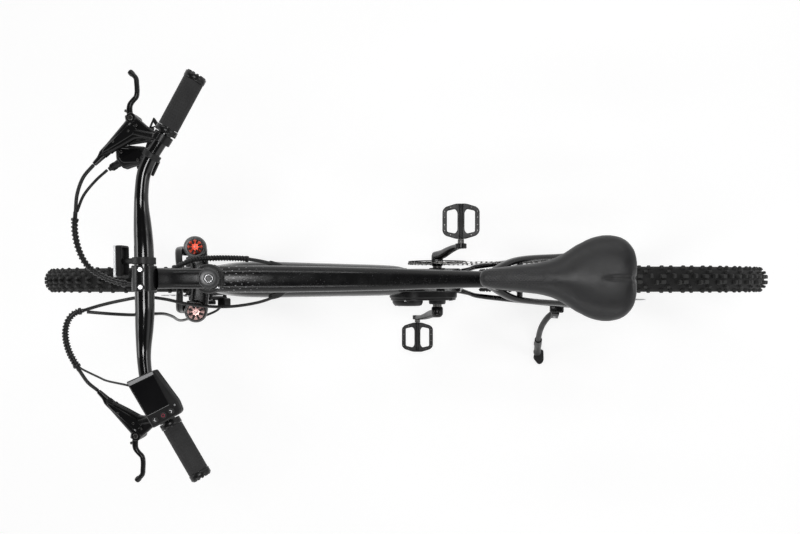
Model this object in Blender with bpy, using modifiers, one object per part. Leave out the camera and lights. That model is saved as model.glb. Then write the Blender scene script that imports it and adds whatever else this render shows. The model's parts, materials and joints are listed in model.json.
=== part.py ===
"""Electric mountain bicycle with a mid-mounted motor, standing upright on its side stand.

Metres, +X forward, +Y to the rider's left, +Z up.  The origin lies on the ground halfway
between the axles, in the middle plane of the frame.
"""
import math

import bmesh
import bpy
from mathutils import Matrix, Vector

NAME = "electric_bicycle"

# Wheels
WHEELBASE = 1.100
WHEEL_R = 0.352
TYRE_WIDTH = 0.058
TYRE_FLAT = 0.020
RIM_OUTER_R = 0.3005
RIM_INNER_R = 0.272
SPOKES = 20
SPOKE_R = 0.0011
HUB_R = 0.017
DRIVER_R = 0.0168
FLANGE_R = 0.029
ROTOR_R = 0.080
ROTOR_THICK = 0.002
SLOT_HALF = 0.0018
FRONT_FLANGE_Y = (-0.034, 0.024)
REAR_FLANGE_Y = (-0.020, 0.030)
FRONT_ROTOR_Y = 0.0385
REAR_ROTOR_Y = 0.0490
DROPOUT_Y = 0.0675

# Steering
HEAD_ANGLE = math.radians(71.1)
RAKE = 0.045
LEG_OFFSET = 0.026
LEG_Y = 0.064
STANCHION_R = 0.0150
LOWER_LEG_R = 0.0205
CROWN_S = (0.464, 0.494)
CROWN_DEPTH = 0.038
CROWN_CLEAR_R = 0.047
HEAD_TUBE_S = (0.510, 0.630)
STEM_S = (0.646, 0.682)
HEAD_TUBE_R = 0.0265
STEERER_R = 0.0143

# Handlebar
STEM_REACH = 0.1062
STEM_RISE = 0.0159
BAR_R_CENTRE = 0.0159
BAR_R_END = 0.0111
BAR_RISE = 0.018
GRIP_R = 0.0165
GRIP_LENGTH = 0.106

# Drive
BOTTOM_BRACKET_X = -0.101
BOTTOM_BRACKET_Z = 0.302
CRANK_LENGTH = 0.170
CRANK_LEAN = math.radians(20.7)
CHAINLINE_Y = -0.0455
CHAIN_PITCH = 0.0127
CHAINRING_TEETH = 36
COG_TEETH = 18
JOCKEY_TEETH = 11
RIGHT_PEDAL_Y = -0.1430
LEFT_PEDAL_Y = 0.1635
PEDAL_LENGTH = 0.090
PEDAL_WIDTH = 0.085
PEDAL_PIN_R = 0.0042

# Seat
SEAT_TUBE_ANGLE = math.radians(72.5)
SEAT_TUBE_LENGTH = 0.450
SEAT_TUBE_R = 0.0185
SEATPOST_R = 0.0155

# Clearances
GAP = 0.0003
RUNNING_GAP = 0.0006
STANCHION_BORE_R = 0.0164


def point(x, y, z):
    """A place in the bicycle's frame."""
    return Vector((x, y, z))


def bore_radius(radius, sides=12):
    """Corner radius of a many-sided bore whose flats clear a round bar."""
    return (radius + GAP) / math.cos(math.pi / sides)


FRONT_AXLE = point(WHEELBASE / 2, 0, WHEEL_R)
REAR_AXLE = point(-WHEELBASE / 2, 0, WHEEL_R)
BOTTOM_BRACKET = point(BOTTOM_BRACKET_X, 0, BOTTOM_BRACKET_Z)

# The steering axis leans back at the head angle and passes behind the front axle by the rake.
STEER_UP = Vector((-math.cos(HEAD_ANGLE), 0, math.sin(HEAD_ANGLE)))
STEER_AHEAD = Vector((math.sin(HEAD_ANGLE), 0, math.cos(HEAD_ANGLE)))
STEER_FOOT = FRONT_AXLE - RAKE * STEER_AHEAD
SEAT_UP = Vector((-math.cos(SEAT_TUBE_ANGLE), 0, math.sin(SEAT_TUBE_ANGLE)))
SEAT_AHEAD = Vector((math.sin(SEAT_TUBE_ANGLE), 0, math.cos(SEAT_TUBE_ANGLE)))
SEAT_TOP = BOTTOM_BRACKET + SEAT_TUBE_LENGTH * SEAT_UP


def on_steering(s, ahead=0.0, y=0.0):
    """Place at height s along the steering axis, ahead of it and to the left of it."""
    return STEER_FOOT + s * STEER_UP + ahead * STEER_AHEAD + point(0, y, 0)


BAR_CENTRE = on_steering((STEM_S[0] + STEM_S[1]) / 2 + STEM_RISE, STEM_REACH)
BAR_Z = BAR_CENTRE.z
GRIP_Z = BAR_Z + BAR_RISE


def pitch_radius(teeth):
    """Radius on which a chain's pins run round a sprocket."""
    return CHAIN_PITCH / (2 * math.sin(math.pi / teeth))


# Scene and finishes

def collection_named(name):
    """New collection in the scene."""
    group = bpy.data.collections.new(name)
    bpy.context.scene.collection.children.link(group)
    return group


def clear_scene():
    """Remove whatever the scene holds."""
    for old in list(bpy.data.objects):
        bpy.data.objects.remove(old, do_unlink=True)


clear_scene()
PARTS = collection_named(NAME)

FINISHES = {
    "black_paint": ((0.012, 0.012, 0.013), 0.28, 0.0),
    "satin_black": ((0.015, 0.015, 0.016), 0.45, 0.6),
    "black_plastic": ((0.020, 0.020, 0.021), 0.55, 0.0),
    "rubber": ((0.014, 0.014, 0.014), 0.85, 0.0),
    "steel": ((0.55, 0.55, 0.56), 0.30, 1.0),
    "dark_steel": ((0.12, 0.12, 0.13), 0.35, 1.0),
    "cover_vinyl": ((0.030, 0.030, 0.032), 0.60, 0.0),
    "screen_glass": ((0.006, 0.006, 0.007), 0.10, 0.0),
    "red_cap": ((0.55, 0.06, 0.02), 0.35, 0.7),
    "pink_cap": ((0.70, 0.45, 0.42), 0.35, 0.8),
    "reflector_white": ((0.80, 0.80, 0.80), 0.25, 0.0),
}


def material_named(key):
    """Principled material of the named finish."""
    if key in bpy.data.materials:
        return bpy.data.materials[key]
    colour, roughness, metallic = FINISHES[key]
    material = bpy.data.materials.new(key)
    material.use_nodes = True
    shader = material.node_tree.nodes["Principled BSDF"]
    shader.inputs["Base Color"].default_value = (*colour, 1.0)
    shader.inputs["Roughness"].default_value = roughness
    shader.inputs["Metallic"].default_value = metallic
    return material


# Making and joining shapes

def object_from(mesh, name="shape"):
    """Object that shows a mesh, in the part's collection."""
    made = bpy.data.objects.new(name, mesh)
    PARTS.objects.link(made)
    return made


def discard(thing):
    """Remove a helper shape."""
    bpy.data.objects.remove(thing, do_unlink=True)


def baked(thing, weld=0.00001):
    """Mesh object with a shape's modifiers or curve applied, its place in its mesh."""
    bpy.context.view_layer.update()
    graph = bpy.context.evaluated_depsgraph_get()
    mesh = bpy.data.meshes.new_from_object(thing.evaluated_get(graph))
    mesh.transform(thing.matrix_world)
    form = bmesh.new()
    form.from_mesh(mesh)
    bmesh.ops.remove_doubles(form, verts=form.verts, dist=weld)
    bmesh.ops.dissolve_degenerate(form, edges=form.edges, dist=weld / 2)
    form.to_mesh(mesh)
    form.free()
    discard(thing)
    return object_from(mesh)


def combined(base, others, operation):
    """Result of one exact Boolean after another."""
    for other in others:
        step = base.modifiers.new("boolean", "BOOLEAN")
        step.operation = operation
        step.solver = "EXACT"
        step.object = other
        base = baked(base)
        discard(other)
    return base


def united(*shapes):
    """One body from shapes that overlap."""
    return combined(shapes[0], shapes[1:], "UNION")


def cut(base, *tools):
    """A body with the tools' shapes taken away."""
    return combined(base, tools, "DIFFERENCE")


def joined(shapes):
    """Loose shapes in one mesh, for a Boolean that takes them all at once."""
    form = bmesh.new()
    for shape in shapes:
        form.from_mesh(shape.data)
        discard(shape)
    mesh = bpy.data.meshes.new("shape")
    form.to_mesh(mesh)
    form.free()
    return object_from(mesh)


def along(a, b):
    """Matrix whose origin is halfway from a to b and whose Z runs that way."""
    a = Vector(a)
    b = Vector(b)
    turn = (b - a).to_track_quat("Z", "Y").to_matrix().to_4x4()
    return Matrix.Translation((a + b) / 2) @ turn


def from_bmesh(form, matrix=None):
    """Object from a bmesh, moved by the matrix."""
    if matrix is not None:
        bmesh.ops.transform(form, matrix=matrix, verts=form.verts)
    mesh = bpy.data.meshes.new("shape")
    form.to_mesh(mesh)
    form.free()
    return object_from(mesh)


def cone(a, b, radius_a, radius_b, sides=12):
    """Round bar from a to b, with a radius at each end."""
    form = bmesh.new()
    depth = (Vector(b) - Vector(a)).length
    bmesh.ops.create_cone(
        form, cap_ends=True, segments=sides, radius1=radius_a, radius2=radius_b, depth=depth
    )
    return from_bmesh(form, along(a, b))


def bar(a, b, radius, sides=12):
    """Round bar from a to b."""
    return cone(a, b, radius, radius, sides)


def box(size, centre, turn=None, bevel=0.0, segments=1):
    """Block of the given size, its edges rounded by a bevel."""
    form = bmesh.new()
    bmesh.ops.create_cube(form, size=1.0)
    bmesh.ops.scale(form, vec=Vector(size), verts=form.verts)
    matrix = Matrix.Translation(Vector(centre))
    if turn is not None:
        matrix = matrix @ turn.to_4x4()
    block = from_bmesh(form, matrix)
    if bevel > 0:
        rounding = block.modifiers.new("rounded", "BEVEL")
        rounding.width = bevel
        rounding.segments = segments
        rounding.limit_method = "NONE"
        block = baked(block)
    return block


def basis(x_axis, y_axis):
    """Rotation whose first two columns are the given directions."""
    x_axis = Vector(x_axis).normalized()
    z_axis = x_axis.cross(Vector(y_axis)).normalized()
    y_axis = z_axis.cross(x_axis)
    return Matrix((x_axis, y_axis, z_axis)).transposed()


def turned(profile, centre, axis, steps=24):
    """Shape turned about an axis from (radius, height) pairs down its outer side."""
    mesh = bpy.data.meshes.new("profile")
    rows = [(radius, 0.0, height) for radius, height in profile]
    mesh.from_pydata(rows, [(i, (i + 1) % len(rows)) for i in range(len(rows))], [])
    shape = object_from(mesh)
    screw = shape.modifiers.new("turned", "SCREW")
    screw.axis = "Z"
    screw.steps = steps
    screw.render_steps = steps
    screw.use_merge_vertices = True
    screw.merge_threshold = 0.00001
    shape.matrix_world = Matrix.Translation(Vector(centre)) @ (
        Vector(axis).to_track_quat("Z", "Y").to_matrix().to_4x4()
    )
    return baked(shape)


def spun(profile, centre, axis, steps=24):
    """Solid turned from an open profile that starts and ends on its axis."""
    mesh = bpy.data.meshes.new("profile")
    rows = [(radius, 0.0, height) for radius, height in profile]
    mesh.from_pydata(rows, [(i, i + 1) for i in range(len(rows) - 1)], [])
    shape = object_from(mesh)
    screw = shape.modifiers.new("turned", "SCREW")
    screw.axis = "Z"
    screw.steps = steps
    screw.render_steps = steps
    screw.use_merge_vertices = True
    screw.merge_threshold = 0.00001
    shape.matrix_world = Matrix.Translation(Vector(centre)) @ (
        Vector(axis).to_track_quat("Z", "Y").to_matrix().to_4x4()
    )
    return baked(shape)


def ring(centre, axis, inner, outer, width, steps=24):
    """Plain ring about an axis."""
    half = width / 2
    profile = [(outer, half), (outer, -half), (inner, -half), (inner, half)]
    return turned(profile, centre, axis, steps)


def rod(points, radius, resolution=2, radii=None, closed=False):
    """Round rod through points; radii holds a factor for each point."""
    data = bpy.data.curves.new("rod", "CURVE")
    data.dimensions = "3D"
    data.bevel_depth = radius
    data.bevel_resolution = resolution
    data.use_fill_caps = not closed
    data.resolution_u = 1
    line = data.splines.new("POLY")
    line.points.add(len(points) - 1)
    for i, place in enumerate(points):
        line.points[i].co = (*place, 1.0)
        if radii is not None:
            line.points[i].radius = radii[i]
    line.use_cyclic_u = closed
    return baked(object_from(data))


def smooth_line(points, spacing):
    """Points a steady distance apart on a smooth curve through the given ones."""
    points = [Vector(p) for p in points]
    ends = [points[0] * 2 - points[1], *points, points[-1] * 2 - points[-2]]
    fine = []
    for i in range(1, len(ends) - 2):
        before, start, end, after = ends[i - 1 : i + 3]
        for step in range(24):
            t = step / 24
            fine.append(
                0.5 * (2 * start + (end - before) * t
                       + (2 * before - 5 * start + 4 * end - after) * t * t
                       + (3 * start - before - 3 * end + after) * t ** 3)
            )
    fine.append(points[-1])
    reach = [0.0]
    for a, b in zip(fine, fine[1:]):
        reach.append(reach[-1] + (b - a).length)
    count = max(2, round(reach[-1] / spacing) + 1)
    line = []
    at = 0
    for i in range(count):
        want = reach[-1] * i / (count - 1)
        while at < len(reach) - 2 and reach[at + 1] < want:
            at += 1
        part = (want - reach[at]) / (reach[at + 1] - reach[at])
        line.append(fine[at].lerp(fine[at + 1], part))
    return line


def plate(outline, thickness, matrix, holes=()):
    """Flat outline of (x, y) pairs with holes, given a thickness about its plane."""
    data = bpy.data.curves.new("plate", "CURVE")
    data.dimensions = "2D"
    data.fill_mode = "BOTH"
    data.extrude = thickness / 2
    data.resolution_u = 1
    for loop in (outline, *holes):
        line = data.splines.new("POLY")
        line.points.add(len(loop) - 1)
        for i, (x, y) in enumerate(loop):
            line.points[i].co = (x, y, 0.0, 1.0)
        line.use_cyclic_u = True
    shape = object_from(data)
    shape.matrix_world = matrix
    return baked(shape)


def arc(centre, radius, start, end, count):
    """Points on an arc, with angles in degrees."""
    cx, cy = centre
    angles = [math.radians(start + (end - start) * i / (count - 1)) for i in range(count)]
    return [(cx + radius * math.cos(a), cy + radius * math.sin(a)) for a in angles]


def circle(centre, radius, count):
    """Points of a whole circle."""
    return arc(centre, radius, 0, 360 * (count - 1) / count, count)


def side_plane(y, origin=(0, 0)):
    """Matrix of a plane facing sideways at y, whose x and y are the part's X and Z."""
    turn = Matrix(((1, 0, 0), (0, 0, -1), (0, 1, 0))).to_4x4()
    return Matrix.Translation(point(origin[0], y, origin[1])) @ turn


def loft(sections):
    """Closed body through rings of points, all with the same count."""
    mesh = bpy.data.meshes.new("loft")
    count = len(sections[0])
    rows = [tuple(p) for section in sections for p in section]
    faces = [tuple(reversed(range(count)))]
    for s in range(len(sections) - 1):
        for i in range(count):
            j = (i + 1) % count
            a = s * count
            faces.append((a + i, a + j, a + count + j, a + count + i))
    last = (len(sections) - 1) * count
    faces.append(tuple(range(last, last + count)))
    mesh.from_pydata(rows, [], faces)
    form = bmesh.new()
    form.from_mesh(mesh)
    bmesh.ops.recalc_face_normals(form, faces=form.faces)
    form.to_mesh(mesh)
    form.free()
    return object_from(mesh)


def section(centre, across, up, width, height, sides=8, squareness=0.5):
    """Ring of points between an ellipse (squareness 1) and a box (near 0)."""
    ringed = []
    for i in range(sides):
        angle = 2 * math.pi * (i + 0.5) / sides
        c = math.cos(angle)
        s = math.sin(angle)
        x = math.copysign(abs(c) ** squareness, c) * width / 2
        z = math.copysign(abs(s) ** squareness, s) * height / 2
        ringed.append(Vector(centre) + x * Vector(across) + z * Vector(up))
    return ringed


def tube_loft(stations, side=(0, 1, 0), sides=8, squareness=0.5):
    """Tube through (centre, width, height) stations, its height square to its run."""
    places = [Vector(s[0]) for s in stations]
    rings = []
    for i, (centre, width, height) in enumerate(stations):
        ahead = places[min(i + 1, len(places) - 1)] - places[max(i - 1, 0)]
        across = Vector(side)
        up = ahead.cross(across).normalized()
        across = up.cross(ahead).normalized()
        rings.append(section(centre, across, up, width, height, sides, squareness))
    return loft(rings)


MADE = {}


def named(shape, name, finish, smooth=True):
    """Give a finished body its name and material, shaded smooth with sharp edges."""
    shape.name = name
    shape.data.name = name
    shape.data.materials.clear()
    shape.data.materials.append(material_named(finish))
    if smooth:
        shape.data.shade_smooth()
        shape.data.set_sharp_from_angle(angle=math.radians(35))
    MADE[name] = shape
    return shape


# Frame

DOWN_TUBE = (
    (point(0.327, 0, 0.850), 0.048, 0.050),
    (point(0.275, 0, 0.765), 0.073, 0.074),
    (point(0.150, 0, 0.585), 0.076, 0.080),
    (point(0.030, 0, 0.412), 0.076, 0.080),
    (point(-0.008, 0, 0.360), 0.066, 0.066),
)
TOP_TUBE = (
    (point(0.316, 0, 0.899), 0.050, 0.046),
    (point(0.190, 0, 0.858), 0.051, 0.044),
    (point(0.020, 0, 0.795), 0.046, 0.040),
    (point(-0.120, 0, 0.735), 0.038, 0.036),
    (point(-0.222, 0, 0.692), 0.034, 0.032),
)
MOTOR_CENTRE = (-0.040, 0.315)
MOTOR_R = 0.066
MOTOR_REAR_R = 0.053
MOTOR_Y = (-0.030, 0.052)
SPINDLE_R = 0.0120
CAP_CENTRE = (-0.024, 0.315)
CAP_R = 0.042
BATTERY_LENGTH = 0.370


def frame_plate(outline, y, thickness, holes=()):
    """Plate that stands in a plane of constant y, its outline in X and Z."""
    return plate(outline, thickness, side_plane(y), holes)


def motor_outline(grow=0.0, count=11):
    """Outline round the motor's rotor and its bottom bracket."""
    rear = (BOTTOM_BRACKET_X, BOTTOM_BRACKET_Z)
    lead = math.degrees(math.atan2(MOTOR_CENTRE[1] - rear[1], MOTOR_CENTRE[0] - rear[0]))
    front = arc(MOTOR_CENTRE, MOTOR_R + grow, lead - 96, lead + 96, count)
    return front + arc(rear, MOTOR_REAR_R + grow, lead + 96, lead + 264, count - 2)


def stay(places, widths, heights):
    """Rear stay through its centre line."""
    stations = [(point(*p), w, h) for p, w, h in zip(places, widths, heights)]
    return tube_loft(stations, sides=6, squareness=0.7)


def mirrored(places):
    """The same line on the other side."""
    return [(x, -y, z) for x, y, z in places]


SEAT_STAY = ((-0.216, 0.010, 0.664), (-0.282, 0.043, 0.607), (-0.400, 0.056, 0.495),
             (-0.500, 0.0675, 0.400), (-0.533, 0.0675, 0.366))
LEFT_CHAINSTAY = ((-0.146, 0.022, 0.300), (-0.183, 0.035, 0.300), (-0.214, 0.0435, 0.304),
                  (-0.400, 0.059, 0.332), (-0.490, 0.0675, 0.347), (-0.528, 0.0675, 0.351))
RIGHT_CHAINSTAY = ((-0.146, -0.018, 0.300), (-0.183, -0.0300, 0.300), (-0.216, -0.0430, 0.304),
                   (-0.400, -0.059, 0.332), (-0.480, -0.0675, 0.346), (-0.528, -0.0675, 0.351))
CRADLE = ((0.050, 0.372), (0.004, 0.425), (-0.062, 0.402), (-0.108, 0.398), (-0.114, 0.450),
          (-0.160, 0.448), (-0.166, 0.345), (-0.170, 0.288), (-0.150, 0.270), (-0.101, 0.302),
          (-0.030, 0.315), (0.030, 0.335))
LEFT_DROPOUT = ((-0.505, 0.370), (-0.505, 0.332), (-0.545, 0.326), (-0.572, 0.338),
                (-0.574, 0.364), (-0.545, 0.384), (-0.520, 0.396))
RIGHT_DROPOUT = ((-0.505, 0.370), (-0.505, 0.332), (-0.540, 0.326), (-0.548, 0.306),
                 (-0.572, 0.306), (-0.574, 0.364), (-0.545, 0.384), (-0.520, 0.396))
STAND_PIVOT = point(-0.412, 0.083, 0.296)


def make_frame():
    """Welded main frame: tubes, motor cradle, stays and dropouts."""
    head = bar(on_steering(HEAD_TUBE_S[0]), on_steering(HEAD_TUBE_S[1]), HEAD_TUBE_R, 16)
    down = tube_loft(DOWN_TUBE, sides=8, squareness=0.55)
    top = tube_loft(TOP_TUBE, sides=8, squareness=0.7)
    seat = bar(BOTTOM_BRACKET + 0.105 * SEAT_UP, SEAT_TOP, SEAT_TUBE_R, 12)
    cradle = frame_plate(CRADLE, 0.0, 0.058)
    body = united(head, down, top, seat, cradle)
    for line in (SEAT_STAY, mirrored(SEAT_STAY)):
        body = united(body, stay(line, (0.016, 0.014, 0.013, 0.013, 0.011),
                                 (0.026, 0.022, 0.019, 0.019, 0.018)))
    widths = (0.020, 0.012, 0.013, 0.015, 0.012, 0.011)
    heights = (0.040, 0.038, 0.034, 0.026, 0.024, 0.022)
    for line in (LEFT_CHAINSTAY, RIGHT_CHAINSTAY):
        body = united(body, stay(line, widths, heights))
    hole = circle((REAR_AXLE.x, REAR_AXLE.z), 0.0055, 8)
    body = united(body, frame_plate(LEFT_DROPOUT, DROPOUT_Y, 0.008, (hole,)),
                  frame_plate(RIGHT_DROPOUT, -DROPOUT_Y, 0.008, (hole,)))
    body = united(body, box((0.044, 0.026, 0.014), (-0.412, 0.074, 0.3190), bevel=0.003),
                  *stand_cheeks())
    motor_space = frame_plate(motor_outline(GAP * 2), 0.0, 0.2)
    bore = bar(on_steering(0.40), on_steering(0.70), STEERER_R + 0.0012, 12)
    post_bore = bar(SEAT_TOP - 0.16 * SEAT_UP, SEAT_TOP + 0.05 * SEAT_UP, SEATPOST_R + GAP, 12)
    cup_space = bar(on_steering(CROWN_S[0] - 0.020), on_steering(HEAD_TUBE_S[0]), CROWN_CLEAR_R, 16)
    body = cut(body, motor_space, cup_space, bore, post_bore)
    middle = point(0.150, 0, 0.585)
    run = (DOWN_TUBE[1][0] - DOWN_TUBE[3][0]).normalized()
    below = Vector((0, 1, 0)).cross(run)
    if below.z > 0:
        below = -below
    tray = box((BATTERY_LENGTH + 0.001, 0.0585, 0.062), middle + below * 0.017, basis(run, (0, 1, 0)))
    body = cut(body, tray)
    named(body, "frame", "black_paint")
    pack = box((BATTERY_LENGTH, 0.0578, 0.0545), middle + below * 0.0137, basis(run, (0, 1, 0)),
               bevel=0.006)
    named(pack, "battery_pack", "black_plastic")


def make_headset():
    """Bearing cups above and below the head tube."""
    low, high = HEAD_TUBE_S
    seat = on_steering(low - 0.0065 - GAP)
    lower = turned(((0.0262, 0.0065), (0.0272, 0.0), (0.0262, -0.0065), (0.0150, -0.0065),
                    (0.0150, 0.0065)), seat, STEER_UP, 12)
    named(lower, "headset_lower_cup", "satin_black")
    seat = on_steering(high + GAP)
    upper = turned(((0.0210, 0.0152), (0.0255, 0.0100), (0.0268, 0.0), (0.0150, 0.0),
                    (0.0150, 0.0152)), seat, STEER_UP, 12)
    named(upper, "headset_upper_cup", "satin_black")


def make_motor():
    """Motor housing round the crank spindle, and the round cap on its left side."""
    thickness = MOTOR_Y[1] - MOTOR_Y[0]
    shell = frame_plate(motor_outline(), sum(MOTOR_Y) / 2, thickness)
    boss_left = bar((BOTTOM_BRACKET.x, 0.040, BOTTOM_BRACKET.z),
                    (BOTTOM_BRACKET.x, 0.0630, BOTTOM_BRACKET.z), 0.0215, 12)
    boss_right = bar((BOTTOM_BRACKET.x, 0.0, BOTTOM_BRACKET.z),
                     (BOTTOM_BRACKET.x, -0.0335, BOTTOM_BRACKET.z), 0.0215, 12)
    bore = bar((BOTTOM_BRACKET.x, -0.1, BOTTOM_BRACKET.z), (BOTTOM_BRACKET.x, 0.1, BOTTOM_BRACKET.z),
               SPINDLE_R + RUNNING_GAP, 12)
    shell = cut(united(shell, boss_left, boss_right), bore)
    named(shell, "motor_housing", "satin_black")
    face = MOTOR_Y[1] + GAP
    centre = (CAP_CENTRE[0], face, CAP_CENTRE[1])
    cap = spun(((0.0, 0.0150), (0.030, 0.0150), (CAP_R - 0.004, 0.0120), (CAP_R, 0.006),
                (CAP_R, 0.0), (0.0, 0.0)), centre, (0, 1, 0), 16)
    clearance = bar(BOTTOM_BRACKET + point(0, 0.03, 0), BOTTOM_BRACKET + point(0, 0.1, 0),
                    0.0450, 16)
    named(cut(cap, clearance), "motor_side_cover", "satin_black")


# Fork and front end

def make_fork():
    """Steerer, crown and stanchions as one unit, and the lower legs that slide on them."""
    low, high = CROWN_S
    crown_mid = (low + high) / 2
    turn = basis(STEER_AHEAD, (0, 1, 0))
    bridge = box((CROWN_DEPTH, 2 * LEG_Y, high - low - 0.002),
                 on_steering(crown_mid, CROWN_DEPTH / 2), turn, bevel=0.006)
    unit = united(bridge, bar(on_steering(low + 0.004), on_steering(STEM_S[1] - 0.002), STEERER_R, 12),
                  bar(on_steering(high - 0.006), on_steering(high + 0.002), 0.021, 16))
    for side in (-1, 1):
        y = side * LEG_Y
        post = turned(((0.0185, high + 0.006), (0.0225, high - 0.002), (0.0225, low - 0.004),
                       (STANCHION_R, low - 0.006), (STANCHION_R, 0.190), (0.0125, 0.190),
                       (0.0125, high - 0.004), (0.0140, high + 0.006)),
                      on_steering(0, LEG_OFFSET, y), STEER_UP, 10)
        plug = bar(on_steering(low + 0.004, LEG_OFFSET, y), on_steering(high + 0.0055, LEG_OFFSET, y),
                   0.0150, 10)
        unit = united(unit, post, plug)
    named(unit, "fork_uppers", "satin_black")


LEG_TOP_S = 0.352
LEG_BOTTOM_S = 0.012
ARCH_R = 0.0080
ARCH_LINE = ((-0.016, 0.018, 0.99), (0.004, 0.034, 0.97), (0.034, 0.036, 0.84), (0.060, 0.034, 0.40))


def make_fork_lowers():
    """Hollow lower legs joined by an arch over the tyre, with the axle ends."""
    body = None
    for side in (-1, 1):
        y = side * LEG_Y
        tube = spun(((0.0, LEG_TOP_S), (0.0225, LEG_TOP_S), (0.0225, LEG_TOP_S - 0.016),
                     (LOWER_LEG_R, LEG_TOP_S - 0.022), (0.0190, 0.060), (0.0130, LEG_BOTTOM_S),
                     (0.0, LEG_BOTTOM_S)), on_steering(0, LEG_OFFSET, y), STEER_UP, 10)
        end = plate(arc((0.0, 0.0), 0.0155, -150, 110, 8) + [(-0.030, 0.040), (-0.034, 0.0)],
                    0.010, side_plane(side * (DROPOUT_Y - 0.001 - 0.0085), (FRONT_AXLE.x, FRONT_AXLE.z)))
        tube = united(tube, end)
        body = tube if body is None else united(body, tube)
    half = [on_steering(LEG_TOP_S + rise, LEG_OFFSET + lead, LEG_Y * share)
            for rise, lead, share in ARCH_LINE]
    across = [place.copy() for place in half]
    for place in across:
        place.y = -place.y
    body = united(body, rod(across + half[::-1], ARCH_R, 1))
    mount = box((0.032, 0.010, 0.046), FRONT_AXLE + point(-0.064, 0.0562, 0.052),
                basis(STEER_AHEAD, (0, 1, 0)))
    body = united(body, mount)
    for side in (-1, 1):
        clear = bar(on_steering(0.056, LEG_OFFSET, side * LEG_Y),
                    on_steering(LEG_TOP_S + 0.02, LEG_OFFSET, side * LEG_Y), STANCHION_BORE_R, 10)
        body = cut(body, clear)
    bore = bar(FRONT_AXLE + point(0, -0.1, 0), FRONT_AXLE + point(0, 0.1, 0), 0.0052, 8)
    body = cut(body, bore)
    named(body, "fork_lowers", "satin_black")


def stem_bore():
    """Solid to cut where the handlebar runs through the stem and its face plate."""
    reach = point(0, 0.05, 0)
    return bar(BAR_CENTRE - reach, BAR_CENTRE + reach, bore_radius(BAR_R_CENTRE), 12)


def make_stem():
    """Stem, its face plate, and the cap on the steerer."""
    mid = (STEM_S[0] + STEM_S[1]) / 2
    grip = bar(on_steering(STEM_S[0]), on_steering(STEM_S[1]), 0.0185, 12)
    front = BAR_CENTRE - 0.004 * STEER_AHEAD
    reach = tube_loft(((on_steering(mid, 0.0), 0.033, 0.034),
                       (on_steering(mid + 0.005, 0.05), 0.030, 0.024),
                       (front - 0.008 * STEER_AHEAD, 0.040, 0.036)), sides=8, squareness=0.6)
    clamp = box((0.016, 0.044, 0.040), BAR_CENTRE - 0.0100 * STEER_AHEAD, basis(STEER_AHEAD, (0, 1, 0)),
                bevel=0.002)
    body = united(grip, reach, clamp)
    steerer_bore = bar(on_steering(STEM_S[0] - 0.04), on_steering(STEM_S[1] + 0.04), STEERER_R + GAP, 12)
    body = cut(body, stem_bore(), steerer_bore)
    face = box((0.0180, 0.044, 0.046), BAR_CENTRE + 0.0110 * STEER_AHEAD, basis(STEER_AHEAD, (0, 1, 0)),
               bevel=0.004)
    trim = box((0.02, 0.06, 0.06), BAR_CENTRE - 0.0083 * STEER_AHEAD, basis(STEER_AHEAD, (0, 1, 0)))
    face = cut(face, trim, stem_bore())
    for y in (-0.0148, 0.0148):
        for s in (-0.0185, 0.0185):
            seat = BAR_CENTRE + s * STEER_UP + point(0, y, 0)
            face = united(face, bar(seat + 0.015 * STEER_AHEAD, seat + 0.0215 * STEER_AHEAD, 0.0040, 8))
    named(body, "stem", "satin_black")
    named(face, "stem_faceplate", "satin_black")
    cap = spun(((0.0, 0.0052), (0.0060, 0.0052), (0.0060, 0.0040), (0.0150, 0.0040), (0.0168, 0.0024),
                (0.0168, 0.0), (0.0, 0.0)), on_steering(STEM_S[1] + GAP), STEER_UP, 12)
    named(cap, "stem_cap", "satin_black")


BAR_LINE = ((0.3877, 0.000, 0.0), (0.3877, 0.050, 0.0), (0.3862, 0.085, 0.35), (0.3835, 0.120, 0.90),
            (0.3820, 0.146, 1.0), (0.3780, 0.174, 1.0), (0.3675, 0.199, 1.0), (0.3540, 0.220, 1.0),
            (0.3410, 0.240, 1.0), (0.2872, 0.333, 1.0))


def bar_side(side):
    """Handlebar centre line from the middle to one end."""
    shift = BAR_CENTRE.x - BAR_LINE[0][0]
    return [point(x + shift, side * y, BAR_Z + rise * BAR_RISE) for x, y, rise in BAR_LINE]


def grip_frame(side):
    """Outer end of the bar and the direction along it, outwards."""
    line = bar_side(side)
    return line[-1], (line[-1] - line[-2]).normalized()


def make_handlebar():
    """Swept-back bar, thick in the stem and thin at the grips, and its two grips."""
    thin = BAR_R_END / BAR_R_CENTRE
    factors = [1.0, 1.0, 0.93, 0.76] + [thin] * 6
    left = bar_side(1)
    right = bar_side(-1)
    line = right[::-1] + left[1:]
    radii = factors[::-1] + factors[1:]
    named(rod(line, BAR_R_CENTRE, 3, radii), "handlebar", "satin_black")
    for side, name in ((-1, "grip_right"), (1, "grip_left")):
        end, out = grip_frame(side)
        inner = bore_radius(BAR_R_END, 10)
        profile = ((0.0, 0.0050), (0.0140, 0.0050), (GRIP_R + 0.0015, 0.0040),
                   (GRIP_R + 0.0015, -0.0060),
                   (GRIP_R - 0.0010, -0.0065), (GRIP_R, -0.0950),
                   (GRIP_R + 0.0010, -0.0955), (GRIP_R + 0.0010, -GRIP_LENGTH), (inner, -GRIP_LENGTH),
                   (inner, GAP), (0.0, GAP))
        named(spun(profile, end, out, 10), name, "rubber")


def bar_clamp(side, reach, width, outer=0.0165):
    """Clamp band round the thin part of the handlebar where it is reach metres from the middle."""
    line = bar_side(side)
    for a, b in zip(line, line[1:]):
        if abs(a.y) <= reach <= abs(b.y):
            part = (reach - abs(a.y)) / (abs(b.y) - abs(a.y))
            place = a.lerp(b, part)
            run = (b - a).normalized()
            return place, run, ring(place, run, bore_radius(BAR_R_END), outer, width, 12)
    raise ValueError("no such place on the handlebar")


# Controls on the handlebar

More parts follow.
